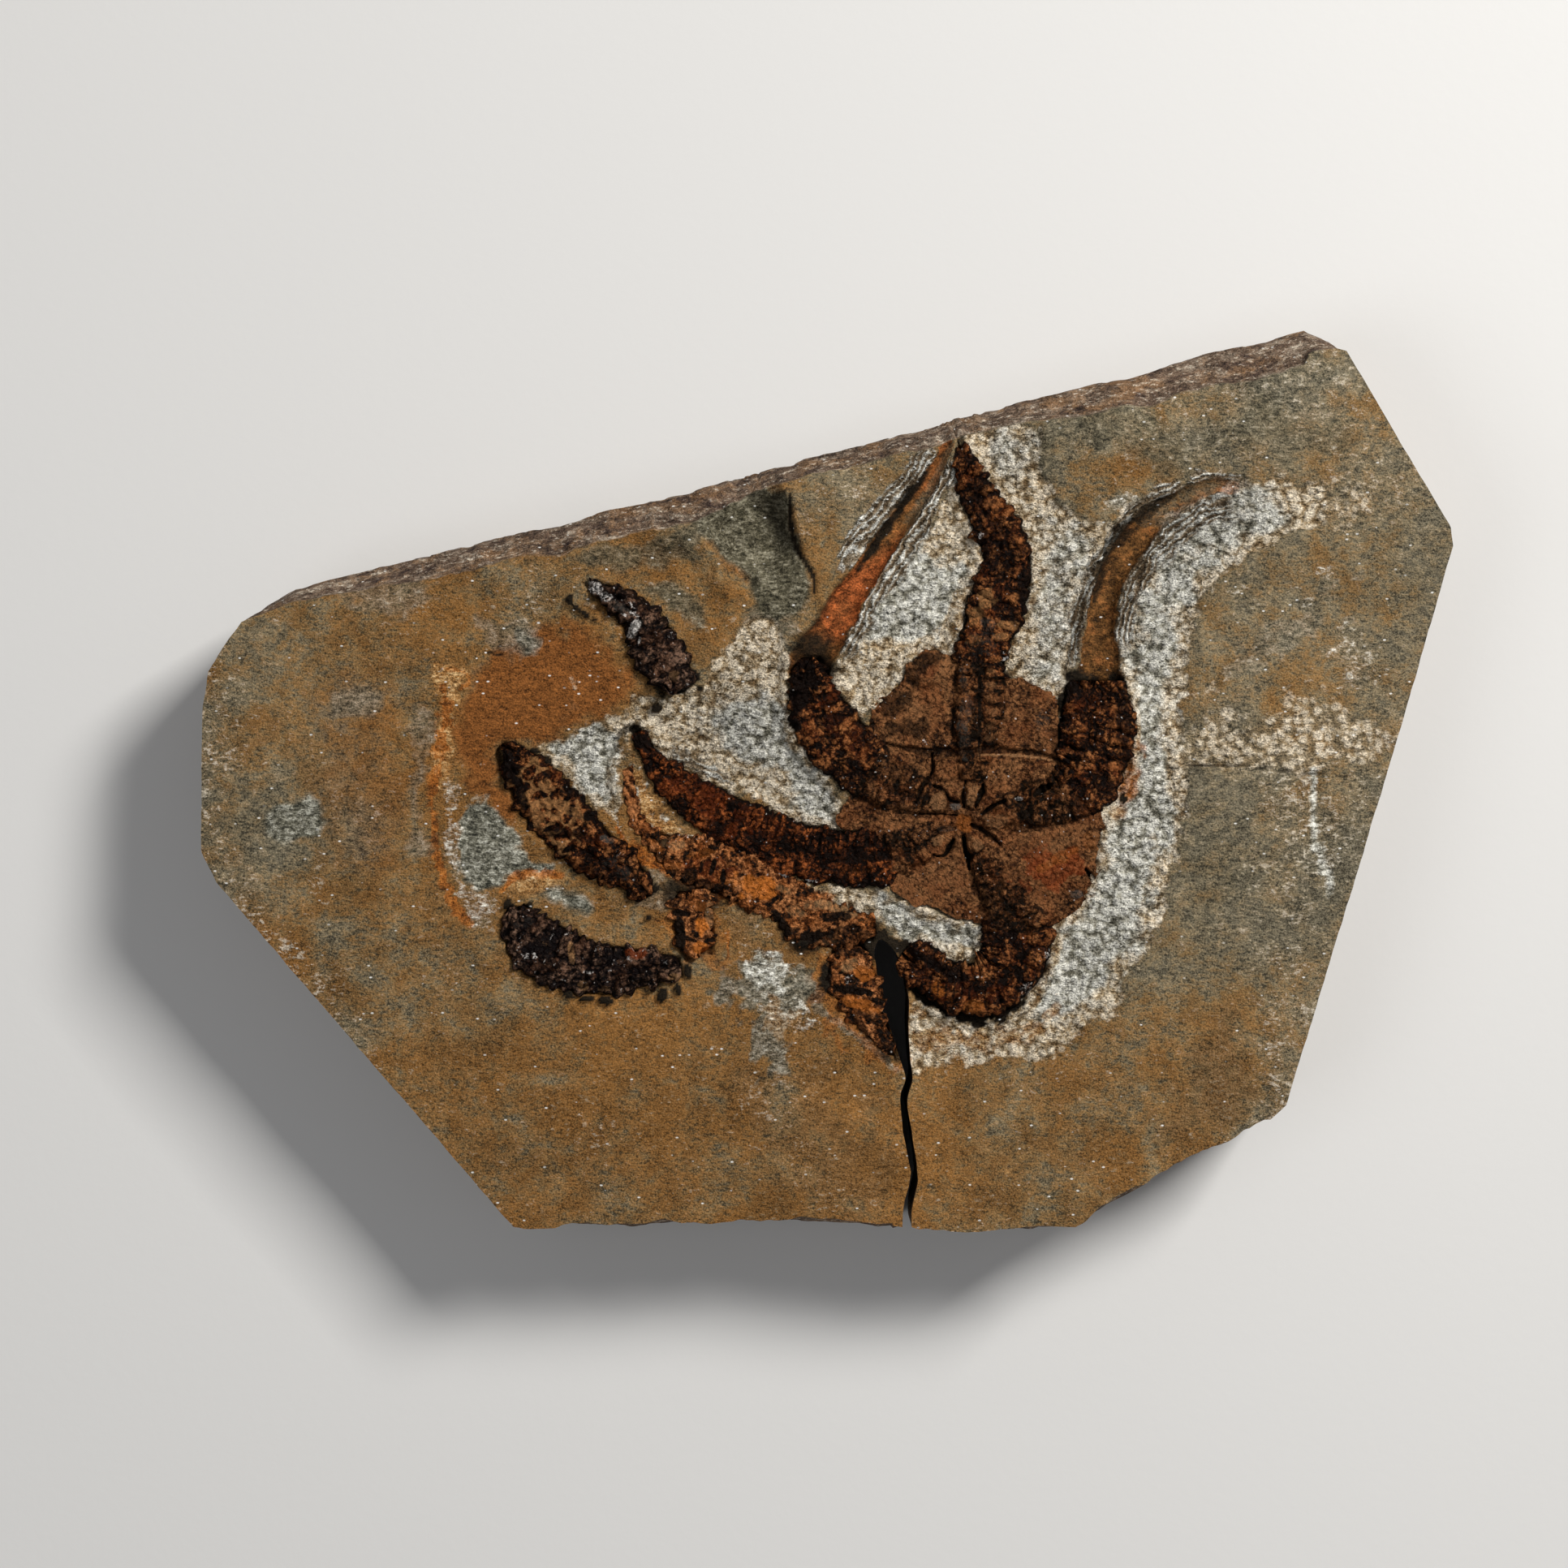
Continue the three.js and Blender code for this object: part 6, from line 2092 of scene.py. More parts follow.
ARM_DOWN = Arm(
    "arm_down", Fossil.DARK,
    ((11.2, -4.4, .8), (12, -5.8, 1.2), (13.1, -7.6, 1.6), (13.8, -9.4, 2.05), (14.6, -11.2, 2.7),
     (14.8, -13, 2.9), (14, -14.9, 2.7), (12.4, -16, 2.35), (10.5, -16.1, 2.15), (8.7, -15.4, 1.95),
     (7.2, -14.4, 1.7), (5.9, -13.4, 1.3)),
    1,
    (Lane(.58, .38, 1.15, .26, .36, .5, -.2), Lane(-.54, .42, 1, .24, .3, .5),
     Lane(.05, .16, .9, .12, .1, .2)),
    start=5.8, bead=.85, ragged=.24, salt=280,
    stains=(
        *marked(
            Stain,
            red=((10.4, -16.4, 4.2, 1.2, -.1, .6),),
            orange=((15.8, -11.6, 1, 1.6, 0, .5), (8.8, -16.4, 1.2, .8, -.2, .9),
                (11.6, -17.6, 1.3, .7, -.2, .8), (6.6, -14.2, .8, .8, 0, .5), (13, -16, 1.4, .8, 0, .35)),
            tan=((16.9, -15.4, .7, .5, .3, .55), (14, -17.6, .8, .3, .1, .5), (11.3, -14.1, 1.2, .4, 0, .6)),
            black=((12.6, -10.4, .9, 3.6, 0, .7), (13.2, -12.6, 1.4, 1.6, 0, .6), (14.9, -14.9, .5, .6),
                (9.2, -14.6, 2.2, .5, -.4, .9), (7, -13.4, 1.6, .4, -.5, .9)),
            pale=((17, -13.4, .8, .8, .3, .55), (15.6, -16.2, 1, .7, .6, .5)),
        ),
        *(Stain(Mark.BLACK, 7.4 + .62 * row, -15.7 - .22 * row + .02 * row**2, .12, .75, -.1, .85)
          for row in range(9)),
    ),
)
ARM_CURL = Arm(
    "arm_curl", Fossil.RUSTY,
    ((3.8, -11.5, 1.1), (2.2, -11.5, 1.5), (.4, -11.3, 1.75), (-1.4, -10.6, 1.9), (-3.2, -9.3, 1.95),
     (-5, -8.2, 2.1), (-6.9, -7.25, 2.2), (-8.9, -6.6, 2.15), (-10.7, -6.1, 1.95), (-12.4, -5.2, 1.4),
     (-13.8, -4.2, .8), (-14.9, -2.6, .5), (-15.4, -.6, .45), (-15.6, 1.4, .35)),
    .7,
    (),
    bead=.8, ragged=.42, salt=300, grain=.42, base=.36, mottled=.7,
    stains=marked(
        Stain,
        red=((-9, -6.8, 2.6, 1.2, 0, .7), (-4, -7.4, 2.6, .7, -.3, .5), (-15.2, -1.4, .7, 2.6, 0, .5)),
        orange=((-5.4, -8.3, 2.6, 1.1, -.3, .95), (-7.8, -7.6, 1.4, .8, -.2, .6),
            (-9.8, -5.6, 2, .5, .2, .6), (-12, -6.6, 1, .5, .3, .6), (-13.4, -4.9, .9, .35, -.7, .6)),
        tan=((-1, -9.6, 1.2, .5, -.3, .6), (1.8, -10.4, .8, .35, .2, .7), (.4, -9.7, 1.8, .45, -.2, .75),
            (-3.4, -8.4, 1, .4, -.4, .6), (-12.6, -4.6, .8, .5, .4, .5), (-2.2, -10.2, 1.3, .7, -.4, .6),
            (2.8, -10.7, .8, .5, 0, .5), (.2, -12.4, .9, .5, 0, .5), (-11.6, -4.9, .9, .5, .2, .7)),
        black=((-10.8, -7.2, 1, .8, .2, .9), (-8.1, -7.3, .26, .7, -.1), (-9.8, -6.6, .16, .6, -.2, .9),
            (-10.6, -6.2, .16, .5, -.2, .8), (-12.4, -7.2, .7, .4, .4, .8), (-13.2, -6, .5, .3, .5, .8),
            (2.9, -11.8, .8, .5, 0, .8), (-2.6, -11.6, .7, .4, .4, .8), (1, -12.3, 2.8, .9, 0, .62),
            (-10.2, -8.2, 1.3, .6, .3, .85), (-8.9, -6.6, .25, .7, -.3), (.6, -10.5, 1.5, .4, 0, .9),
            (-1.2, -12.2, 1.3, .8, .3), (1.6, -11.6, 1.6, .5, .1, .8), (-3.6, -11, .5, 1.4, .6),
            (-9.4, -8.4, 1.4, .4, .2, .8)),
        pale=((-10.6, -4.3, 1.6, .12, -.2, .5),),
    ),
)
ARM_STUB = Arm(
    "arm_stub", Fossil.RUSTY,
    ((1.6, -12.9, 1.5), (1.8, -14.4, 1.85), (2.2, -16, 1.85), (2.9, -17.6, 1.55), (3.9, -19.2, 1.05),
     (4.9, -20.8, .6), (5.5, -21.9, .3)),
    .6,
    (),
    bead=1, ragged=.35, salt=320, grain=.42, base=.27, mottled=.7,
    stains=marked(
        Stain,
        orange=((2.8, -14.8, .9, 1, 0, .8), (2.6, -17.4, 1.6, .6, -.4, .8)),
        tan=((1.4, -14.4, 1.1, .8, .2, .7), (.8, -17.2, .8, .5, 0, .4)),
        black=((0, -15.2, .5, 1.4), (1.8, -16.2, 1.7, .35, -.1), (3.4, -18.4, 1.4, .4, -.5, .7),
            (4.8, -20.6, .5, 1, .4, .8), (3, -19.8, .7, 1.8, .5, .7), (1.6, -13.2, 1.6, .4, 0, .8)),
        # Painted highlight on the block.
        pale=((1.6, -15.4, .4, .5, 0, .5),),
    ),
)
SHORT_ARM = Arm(
    "short_arm", Fossil.RUSTY,
    ((-10.7, -8.4, 1.3), (-10.6, -9.6, 1.55), (-10.4, -11.2, 1.7), (-10.2, -12.5, 1.65),
     (-9.9, -13.7, 1.35)),
    .7,
    (),
    bead=.9, ragged=.5, salt=340, grain=.42, base=.36, mottled=.7,
    stains=marked(
        Stain,
        orange=((-9.8, -11.4, .8, .9), (-10, -12.9, .9, .5, 0, .9), (-10, -9.6, .8, .6, 0, .6)),
        tan=((-9.1, -10.2, .6, 1.5, 0, .62),),
        black=((-11.5, -11.8, .5, 1.8), (-11.4, -10.2, .8, .3, -.2), (-10.2, -11.9, .3, .3),
            (-8.9, -12.3, .5, .2), (-11.9, -9.2, .5, .9, 0, .8), (-10.9, -12.2, .9, .22, -.3, .9)),
    ),
)
LOOSE_ARM_LOWER = Arm(
    "loose_arm_lower", Fossil.BLACK,
    ((-11.4, -14.4, 1), (-12.6, -14.5, 1.25), (-14.6, -14.5, 1.6), (-16.6, -14.6, 2), (-18.6, -14.5, 2.2),
     (-20.4, -14, 2.4), (-22, -13.2, 2.5), (-23.3, -12, 2.25), (-24, -10.8, 1.6), (-24.2, -9.7, 1)),
    1,
    (Lane(-.5, .46, 1.5, .3, .42, .4), Lane(.4, .36, 1.1, .3, .36, .5), Lane(.86, .16, .8, .2, .3, .4)),
    bead=.9, ragged=.34, salt=360, grain=.55,
    stains=marked(
        Stain,
        red=((-14.8, -13.3, .9, .5, 0, .9), (-24.9, -13.2, .5, .8, 0, .5)),
        orange=((-20.4, -14.6, .6, .3, 0, .5),),
        tan=((-19, -15.9, .5, .5, 0, .7), (-17.4, -16.1, .6, .3, 0, .6), (-19.9, -13.4, .3, 1, .1, .9),
            (-22, -12.6, .3, .3, 0, .6), (-11.8, -15.2, .9, .4, 0, .7)),
        grey=((-23.8, -10.9, 1, .5, 0, .5),),
        pale=((-18.6, -14.8, .5, .15, 0, .7),),
    ),
)
LOOSE_ARM_MIDDLE = Arm(
    "loose_arm_middle", Fossil.DARK,
    ((-25.6, 2.9, .7), (-24.8, 2.1, 1.3), (-23.8, .9, 1.75), (-22.5, -.7, 2.15), (-21, -2.6, 2.3),
     (-19.4, -4.3, 2.15), (-17.7, -5.7, 1.9), (-16.1, -6.8, 1.6), (-14.7, -7.9, 1.2), (-14, -9, .7)),
    .8,
    (Lane(.56, .34, 1.15, .24, .34, .5, .2), Lane(-.56, .34, 1.1, .28, .26, .4),
     Lane(.02, .26, 1.3, .2, .3, .4)),
    bead=.9, ragged=.26, salt=380, grain=.5, mortar=.9, filled=(1.2, 11.5),
    stains=marked(
        Stain,
        red=((-18.4, -4.6, 1.6, 1, -.6, .5),),
        orange=((-21.6, .9, .5, .4, 0, .6),),
        tan=((-21.9, -.2, 1.1, .8, -.4, .8), (-21.4, -1.7, 1.4, .35, .1, .9),
            (-20.2, -2.2, 1.2, .4, -.4, .8), (-22.6, -2.8, .8, .5, -.7, .7), (-18.9, -2.9, .8, .5, -.5, .6),
            (-14.8, -7.2, .7, .5, 0, .5)),
        black=((-24.9, 1.4, .9, 2, .5), (-23.8, -1, .6, 1.3, .4, .9), (-20.6, -4, 2.2, .5, -.1, .8),
            (-18.6, -2.6, .5, .5), (-20.3, -.9, .6, .7, -.3, .8), (-18, -7, 1.6, .5, -.5, .7)),
        grey=((-17.2, -4.4, .7, .4, 0, .7), (-16, -6.8, 1.6, 1.2, -.6, .5)),
        pale=((-16.2, -5.7, .5, .4, 0, .4),),
    ),
)
LOOSE_ARM_UPPER = Arm(
    "loose_arm_upper", Fossil.BLACK,
    ((-19.2, 15.6, .35), (-18.2, 15.2, .7), (-17, 14.6, 1.05), (-15.8, 13.8, 1.35), (-14.6, 12.6, 1.6),
     (-13.6, 11.1, 1.85), (-12.7, 9.4, 1.9), (-12.1, 7.9, 1.7), (-12, 6.8, 1.2)),
    1.1,
    (Lane(.46, .46, 1.25, .34, .38, .45, -.25), Lane(-.5, .44, 1.15, .34, .34, .45, .25)),
    bead=1.05, ragged=.34, salt=400, grain=.6,
    stains=marked(
        Stain,
        red=((-13.4, 6.7, .8, .6, 0, .6),),
        orange=((-12.6, 7.8, .9, .8, 0, .4),),
        tan=((-11.9, 8.2, .5, .7, 0, .6),),
        grey=((-14.9, 11.9, .6, 1, -.5, .8), (-16.2, 13.6, 1.2, .4, -.6, .6)),
        # Painted glints on the black mineral.
        pale=((-18.3, 15.2, 1, .5, -.4, .66), (-16.9, 14.5, .7, .7, 0, .66), (-15, 12, .5, 1.1, -.5, .68),
            (-17.6, 14.2, .4, .14, -.6, .7), (-15.8, 13, .3, .12, -.5, .7), (-14.6, 11, .14, .45, -.3, .6)),
    ),
)


@dataclass(frozen=True)
class Slit:
    """A slit of the mouth: its path and half widths, and how deep it goes."""

    stations: tuple[Station, ...]
    depth: float = 0.6


@dataclass(frozen=True)
class Jaw:
    """A pale plate beside the mouth."""

    x: float
    y: float
    rx: float
    ry: float
    turn: float = 0.0
    tone: float = 0.8


@dataclass(frozen=True)
class Disc:
    """The disc: five arm bases, the skin between them, and the mouth.

    Attributes:
        margin: Its margin, which runs into a bay between each two arms.
        arms: The arms whose bases lie on it.
        slits: The slits round its mouth.
        jaws: The pale plates between the slits.
        stains: Its stains.
        field: How high its skin stands above the bedding.
        knob: The knob beside the upper arm.
        knob_height: How high that stands.
        mouth: The sunken mouth.
        mouth_depth: How deep it is sunk.
        jaw_height: How high the pale plates stand.
        fissure: The crack across it, as x, y and half width.
        fissure_depth: How deep that is.
        hairline: The pale line beside the crack.
    """

    margin: tuple[Point, ...] = (
        (14, 8.2), (12, 9.4), (10, 9.9), (8.4, 10.3), (7, 10), (6.2, 8.9), (5.2, 7.3), (3.2, 4.9),
        (4.2, 2.6), (3.4, .8), (2.4, -.7), (1, -2.2), (.7, -3.3), (3.8, -4.4), (4.9, -6), (4.9, -8.1),
        (6.4, -9.2), (8.4, -10), (11.2, -11), (13.4, -11.3), (16.2, -11.5), (18.6, -10.8), (19.9, -9.4),
        (20.6, -8), (21.2, -6), (21.4, -4.2), (21.4, -2.6), (20, -1.2), (18.6, .2), (18.2, 2.4),
        (18.2, 4.6), (18.2, 6.1), (17, 7), (15.6, 7.9))
    arms: tuple[Arm, ...] = (ARM_UP, ARM_RIGHT, ARM_DOWN, ARM_LEFT, ARM_UPPER_LEFT)
    slits: tuple[Slit, ...] = (
        Slit(((12.2, -.2, .14), (12, -.9, .26), (11.6, -1.9, .14)), .5),
        Slit(((13.9, -1.4, .14), (13.1, -1.8, .2), (12.1, -2.5, .14))),
        Slit(((11.3, -3.4, .14), (12.2, -3.8, .24), (13, -4.4, .18), (13.5, -4.9, .08)), .4),
        Slit(((10.7, -4.3, .14), (10.8, -5.2, .2), (11, -6.1, .26), (11.1, -6.8, .1)), .7),
        Slit(((9.9, -4.5, .12), (9.5, -5.2, .24), (9, -5.8, .14), (8.3, -5.7, .08)), .55),
        Slit(((10, -3.6, .14), (9, -3.8, .22), (8.2, -3.9, .1)), .25),
        Slit(((10.1, -2.6, .08), (8.6, -2.5, .12), (7.1, -2.5, .08)), .35),
        Slit(((10.3, -1.6, .14), (9.6, -1.4, .18), (9.1, -.7, .14), (8.3, -.3, .08)), .4),
        Slit(((10.7, -1.9, .12), (10.6, -1, .14), (10.8, .1, .06)), .35),
        Slit(((8.2, 2.2, .1), (8.2, .8, .14), (7.5, -.2, .14), (6.9, -1.6, .1)), .4),
        Slit(((16.2, -1, .2), (16.9, -.5, .3), (17.4, -.2, .15)), .5),
        Slit(((20.2, -6.8, .15), (20.6, -7.4, .25), (20.9, -7.9, .12)), .5),
    )
    jaws: tuple[Jaw, ...] = (
        Jaw(8.7, -1.5, .62, .75, 0, .78), Jaw(11.35, -1.1, .5, .85, 0, .74),
        Jaw(13.1, -3.05, 1, .5, -.1, .62), Jaw(8.7, -4.6, .65, .5, .2, .74),
        Jaw(11.8, -4.9, .45, .75, .75, .74), Jaw(9.4, -3.05, .5, .3, 0, .35),
        Jaw(10.2, -4.6, .3, .5, .1, .45), Jaw(10.9, .6, .5, .6, 0, .35), Jaw(9.2, .9, .8, .7, 0, .35))
    stains: tuple[Stain, ...] = marked(
        Stain,
        red=((17.8, -6.8, 3, 2, .3, .95), (6.2, -2.2, 2.6, 1.2, -.2, .35), (15.6, 5.6, 1.2, 1.6, 0, .3),
            (3.2, -.8, 1.8, 1.2, -.6, .4), (7.8, 8.6, 1.2, .6, .3, .6), (7.2, 5.6, 1.6, 1.4, 0, .4)),
        orange=((18.2, -5.9, 2.6, .6, .45, .72), (20.4, -4.6, .8, 1.4, .1, .6),
            (14.8, -3.4, 1.6, .6, .1, .5), (3.6, 2, 1.4, 1.6, -.6, .3), (10.7, -3.3, .7, .9, 0, .8)),
        tan=((17.6, -5, 2.8, .9, .2, .5), (17.2, -9.6, 1.8, 1, 0, .4), (15.2, 1, 2.2, .9, 0, .3),
            (4, -2, 2.4, 1.4, -.4, .25), (8.6, -7.8, 2.6, 2.2, -.4, .3), (9, 1, .9, 1, 0, .4)),
        black=((17.4, -7.6, 2.4, .5, .5, .5), (15.4, -5.2, 1.4, .6, -.3, .45), (8.2, 9.4, 1.7, .9, .3, .8),
            (6.6, 8.2, .7, .9, .3, .8), (5.4, 6.2, 1.6, 1.2, .5, .75), (6, 4, 2.4, 1, .1, .75),
            (5.4, .8, 2.6, 1, -.3, .6), (3.6, 2, 1.4, 1.2, 0, .5), (17.6, 3.4, .6, 1.6, 0, .6),
            (18.6, -9.2, 1.6, .8, .4, .45), (15.6, -8.2, 1.2, 2.4, .2, .5), (16.6, -3.3, 2.4, .6, .2, .6),
            (17, -.2, 2, .5, .25, .5)),
        grey=((15.8, -5.6, 1.2, .6, .4, .4), (19.5, -8.7, .7, .6, 0, .7), (10, -1.9, .7, .4, 0, .8),
            (9.2, -3.65, .8, .3, 0, .6), (16.8, 5, .9, 1.3, 0, .5), (15.6, 3.4, 1.4, .8, 0, .3)),
        # Painted glints.
        pale=((7.6, 3.2, .25, .2, 0, .5), (14.9, -1.3, .35, .2, 0, .7)),
    )
    field: float = 0.14
    knob: Oval = Oval(8.0, 8.9, 2.4, 1.9)
    knob_height: float = 0.42
    mouth: Oval = Oval(10.6, -3.1, 2.6, 2.6)
    mouth_depth: float = 0.40
    jaw_height: float = 0.22
    fissure_depth: float = 0.32
    fissure: tuple[Station, ...] = (
        (4.6, 3, .14), (6.2, 2.6, .24), (8.2, 2.3, .32), (9.8, 2.25, .34), (11.2, 2.4, .32),
        (12.6, 2.5, .26), (14.4, 2.4, .24), (16.4, 2.2, .22), (18, 1.8, .2), (19.8, 1.4, .16),
        (21.6, 1.1, .1))
    hairline: tuple[Station, ...] = (
        (11.8, 2.1, .08), (14, 2.1, .12), (16, 1.95, .12), (18, 1.6, .1), (20, 1.25, .08), (21.8, 1, .05))

    def inside(self, x: Array, y: Array) -> Array:
        """How deep inside the margin points lie."""
        return Outline(self.margin).inside(x, y)

    def surface(self, x: Array, y: Array) -> tuple[Array, dict[Mark, Array]]:
        """The disc's upper side.

        Args:
            x: Places along the slab.
            y: Places across it.

        Returns:
            Its height above the bedding, and its marks.
        """
        near, between, crumb = NOISE.cells(x, y, 0.3, salt=501)
        height = self.field + 0.06 * (0.6 - near) + 0.09 * NOISE.layered(x, y, 1.8, 3, 503)
        knob = rise(0, 0.6, self.knob.inside(x, y) + 0.2 * NOISE.layered(x, y, 1.2, 3, 507))
        height = height + self.knob_height * knob
        marks = {mark: np.zeros(x.shape) for mark in FOSSIL_MARKS}
        marks[Mark.TONE] = 0.60 + 0.26 * (crumb - 0.5) + 0.34 * NOISE.layered(x, y, 2.8, 4, 505)
        # Painted shade in the seams between the skin's crumbs.
        marks[Mark.GAP] = 0.25 * rise(0.25, 0.02, between)
        for arm in self.arms:
            run, side, half = Trail(arm.stations).locate(x, y)
            across = side / half
            lift, values = arm.relief(run, across, half, x, y)
            lift = lift * rise(0.4, 2.6, run) + 0.02
            frayed = np.abs(across) + 0.36 * NOISE.layered(x, y, 1.1, 4, arm.salt + 5)
            on = rise(1.12, 0.84, frayed) * rise(0.2, 0.8, run)
            taller = on * (lift > height)
            share = np.maximum(taller, on * rise(-0.3, 0.1, lift - height))
            height = np.where(lift > height, height + on * (lift - height), height)
            values[Mark.TONE] = values[Mark.TONE] - 0.04
            values[Mark.GAP] = values[Mark.GAP] * 0.7
            for mark, value in values.items():
                marks[mark] = marks[mark] * (1 - share) + value * share
            seam = np.exp(-(((np.abs(across) - 1.0) / 0.07) ** 2)) * rise(1.5, 3.5, run)
            lay(marks, Mark.GAP, 0.2 * seam)
        height = height - self.mouth_depth * rise(0, 0.9, self.mouth.inside(x, y))
        for jaw in self.jaws:
            on = Oval(jaw.x, jaw.y, jaw.rx * 1.25, jaw.ry * 1.2, jaw.turn).inside(x, y)
            on = rise(0.0, 0.3, on + 0.45 * NOISE.layered(x, y, 0.8, 3, 511))
            height = height + self.jaw_height * on
            lay(marks, Mark.TAN, jaw.tone * on)
            marks[Mark.GAP] = marks[Mark.GAP] * (1 - on)
        for slit in self.slits:
            _, side, half = Trail(slit.stations).locate(x, y, 1.5)
            cut = rise(1.25, 0.7, np.abs(side) / half * (1 + 0.35 * NOISE.layered(x, y, 0.7, 2, 513)))
            height = height - slit.depth * cut
            # Painted shade in the slits: the deeper a slit, the blacker it is painted.
            lay(marks, Mark.BLACK, cut * min(1.0, 1.4 * slit.depth + 0.3))
            for mark in (Mark.TAN, Mark.ORANGE, Mark.PALE):
                marks[mark] = marks[mark] * (1 - 0.8 * cut)
        _, side, half = Trail(self.fissure).locate(x, y, 1.5)
        cut = rise(1.3, 0.5, np.abs(side) / half * (1 + 0.5 * NOISE.layered(x, y, 0.9, 2, 509)))
        height = height - self.fissure_depth * cut
        lay(marks, Mark.GAP, 0.62 * cut)
        lay(marks, Mark.GREY, 0.40 * cut)
        _, side, half = Trail(self.hairline).locate(x, y, 1.5)
        line = rise(1.3, 0.7, np.abs(side) / half * (1 + 0.4 * NOISE.layered(x, y, 0.8, 2, 515)))
        lay(marks, Mark.TAN, 0.95 * line)
        marks[Mark.GAP] = marks[Mark.GAP] * (1 - line)
        for stain in self.stains:
            lay(marks, stain.mark, stain.cover(x, y))
        return height, marks

    def build(self, star: "BrittleStar", cell: float = 0.1) -> Piece:
        """Makes the disc as a relief cut to its margin.

        Args:
            star: The star that the disc belongs to.
            cell: The size of the relief's cells.

        Returns:
            The disc's piece.
        """
        margin = flowing(np.array(self.margin, float), 16, closed=True)
        stray = [NOISE.layered(*margin.T, 1.3, 5, salt) for salt in (521, 523)]
        margin = margin + 0.5 * np.column_stack(stray)
        low, high = margin.min(0) - cell, margin.max(0) + cell
        x, y = np.meshgrid(np.arange(low[0], high[0], cell), np.arange(low[1], high[1], cell))
        middle_x, middle_y = (x[:-1, :-1] + x[1:, 1:]) / 2, (y[:-1, :-1] + y[1:, 1:]) / 2
        outline = Outline([tuple(point) for point in margin], legs=1)
        sheet = Relief(np.stack([x, y, np.zeros(x.shape)], axis=2), outline.inside(middle_x, middle_y) > 0)
        sheet.heal()
        flat, loop = sheet.points.reshape(-1, 3), sheet.rim()
        for point in loop:
            _, flat[point, :2] = Slab.nearest(flat[point, :2], margin, margin)
        x, y = sheet.points[..., 0], sheet.points[..., 1]
        height, marks = self.surface(x, y)
        sheet.points[..., 2] = FACE.bedding(x, y) + height
        sheet.marks = {mark.value: values for mark, values in marks.items()}
        top = flat[loop]
        floor = star.floor("disc")
        ledge = np.column_stack([top[:, :2], top[:, 2] * 0.6 + floor * 0.4])
        piece = sheet.close("disc", [ledge, np.column_stack([top[:, :2], np.full(len(top), floor)])])
        stand_for(piece, "disc", Fossil.DISC.slot, star.material(Fossil.DISC))
        return piece


@dataclass
class BrittleStar:
    """The star, and the loose arms that lie by it.

    Attributes:
        disc: Its disc.
        arms: Its arms and the loose ones.
        materials: The finishes made so far, by slot.
    """

    disc: Disc = field(default_factory=Disc)
    arms: tuple[Arm, ...] = (
        ARM_UP, ARM_RIGHT, ARM_UPPER_LEFT, ARM_LEFT, ARM_DOWN, ARM_CURL, ARM_STUB, SHORT_ARM,
        LOOSE_ARM_LOWER, LOOSE_ARM_MIDDLE, LOOSE_ARM_UPPER)
    materials: dict[str, Material] = field(default_factory=dict)

    def material(self, look: Fossil) -> Material:
        """The finish of a slot, made once.

        Args:
            look: The slot and its finish.

        Returns:
            The material.
        """
        if look.slot not in self.materials:
            self.materials[look.slot] = look.finish.material(look.slot)
        return self.materials[look.slot]

    def floor(self, node: str) -> float:
        """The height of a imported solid's underside, in millimetres."""
        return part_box(node)[0].z / MM

    def cover(self, x: Array, y: Array) -> Array:
        """How deep under the fossil points of the face lie.

        Args:
            x: Places along the slab.
            y: Places across it.

        Returns:
            The distance to its edge, positive below it.
        """
        deep = self.disc.inside(x, y)
        for arm in self.arms:
            deep = np.maximum(deep, arm.cover(x, y))
        return deep

    def build(self) -> None:
        """Makes every fossil piece."""
        self.disc.build(self)
        for arm in self.arms:
            arm.build(self)


# ---------------------------------------------------------------- studio


@dataclass(frozen=True)
class Lamp:
    """A soft square lamp that looks at the slab.

    Attributes:
        name: Its name.
        place: Where it hangs, in millimetres.
        size: The length of its sides.
        power: Its power in watts.
        colour: The colour of its light.
    """

    name: str
    place: tuple[float, float, float]
    size: float
    power: float
    colour: Colour = (1.0, 1.0, 1.0)

    def hang(self) -> None:
        """Hangs the lamp."""
        light = bpy.data.lights.new(self.name, "AREA")
        light.shape, light.size = "SQUARE", self.size * MM
        light.energy, light.color = self.power, self.colour
        lamp = bpy.data.objects.new(self.name, light)
        lamp.location = Vector(self.place) * MM
        lamp.rotation_euler = (-lamp.location).to_track_quat("-Z", "Y").to_euler()
        bpy.context.scene.collection.objects.link(lamp)


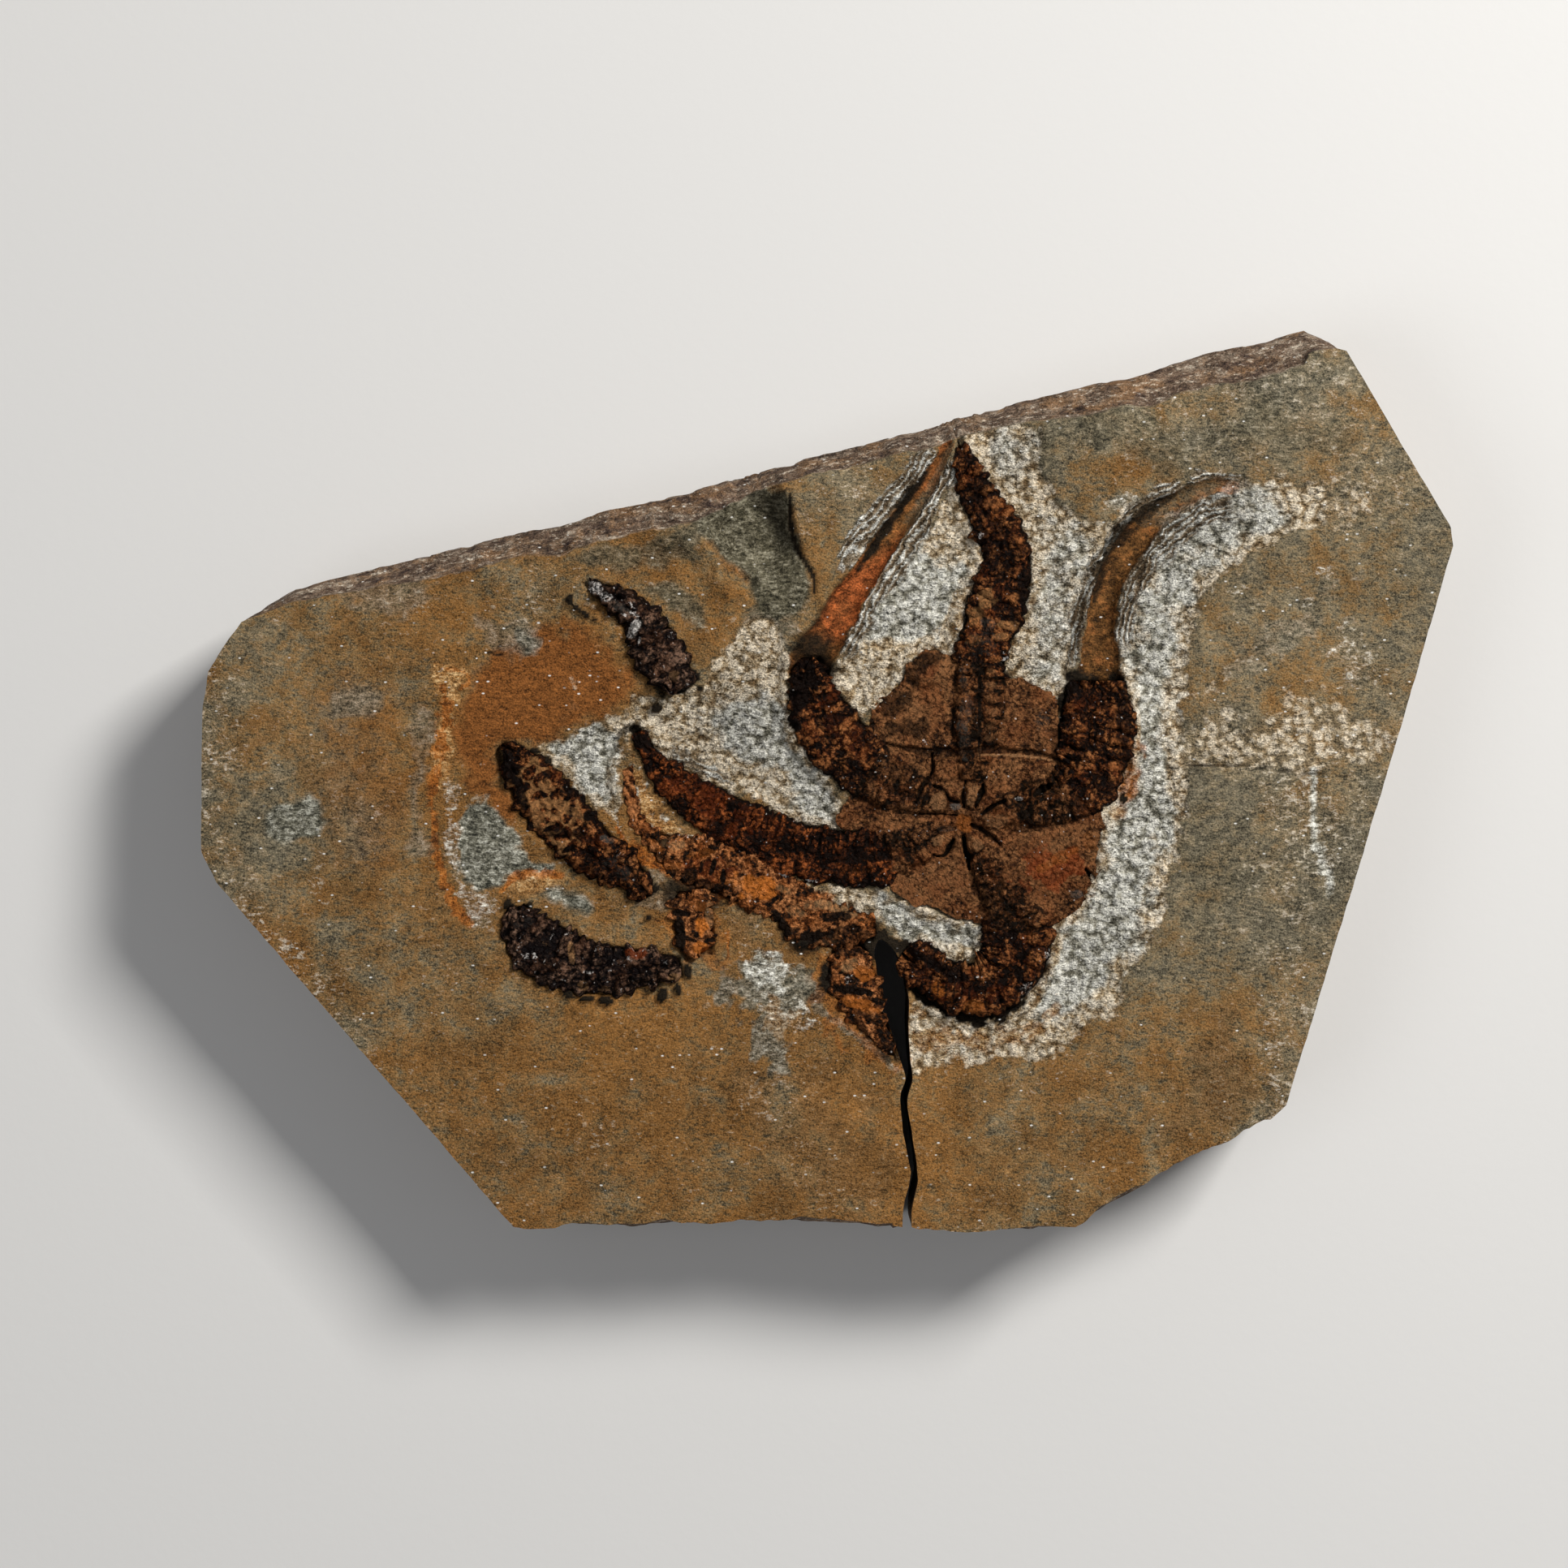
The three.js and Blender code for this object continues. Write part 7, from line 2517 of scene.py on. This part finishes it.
@dataclass(frozen=True)
class Studio:
    """The pale floor, the soft lamps and the camera straight above.

    Attributes:
        floor_size: The length of the floor's sides, in millimetres.
        eye: Where the camera hangs, in millimetres.
        lens: Its focal length.
        lamps: The lamps.
        sky: How bright the sky is.
    """

    floor_size: float = 900.0
    eye: tuple[float, float, float] = (-3.35, -0.16, 350.7)
    lens: float = 100.0
    lamps: tuple[Lamp, ...] = (
        Lamp("key", (300, 260, 360), 160, 3.2, (1.0, 0.985, 0.96)),
        Lamp("fill", (-320, -120, 420), 300, 0.5, (0.97, 0.98, 1.0)),
    )
    sky: float = 0.15

    def floor(self) -> Piece:
        """Lays the floor.

        Returns:
            The floor, which isn't part of the object.
        """
        half = self.floor_size / 2 * MM
        mesh = bpy.data.meshes.new("floor")
        corners = [(-half, -half, 0), (half, -half, 0), (half, half, 0), (-half, half, 0)]
        mesh.from_pydata(corners, [], [(0, 1, 2, 3)])
        mesh.materials.append(FloorFinish().material("floor"))
        floor = bpy.data.objects.new("floor", mesh)
        bpy.context.scene.collection.objects.link(floor)
        return floor

    def camera(self) -> Piece:
        """Sets the camera up, looking straight down.

        Returns:
            The camera.
        """
        data = bpy.data.cameras.new("camera")
        data.lens, data.sensor_width = self.lens, 36.0
        data.clip_start, data.clip_end = 0.01, 10.0
        camera = bpy.data.objects.new("camera", data)
        camera.location = Vector(self.eye) * MM
        bpy.context.scene.collection.objects.link(camera)
        bpy.context.scene.camera = camera
        return camera

    def light(self) -> None:
        """Hangs the lamps under a pale sky."""
        for lamp in self.lamps:
            lamp.hang()
        world = bpy.data.worlds.new("sky")
        world.use_nodes = True
        background = world.node_tree.nodes["Background"]
        background.inputs["Color"].default_value = (0.93, 0.95, 1.0, 1.0)
        background.inputs["Strength"].default_value = self.sky
        bpy.context.scene.world = world
        bpy.context.scene.view_settings.view_transform = "Standard"


def main() -> None:
    """Builds the fossil on its slab in the studio."""
    logging.basicConfig(level=logging.INFO, format="%(name)s: %(message)s")
    studio = Studio()
    studio.camera()
    studio.floor()
    studio.light()
    star = BrittleStar()
    slab = Slab().build(star)
    stand_for(slab, "slab", "stone", StoneFinish().material("stone"))
    star.build()


if __name__ == "__main__":
    main()
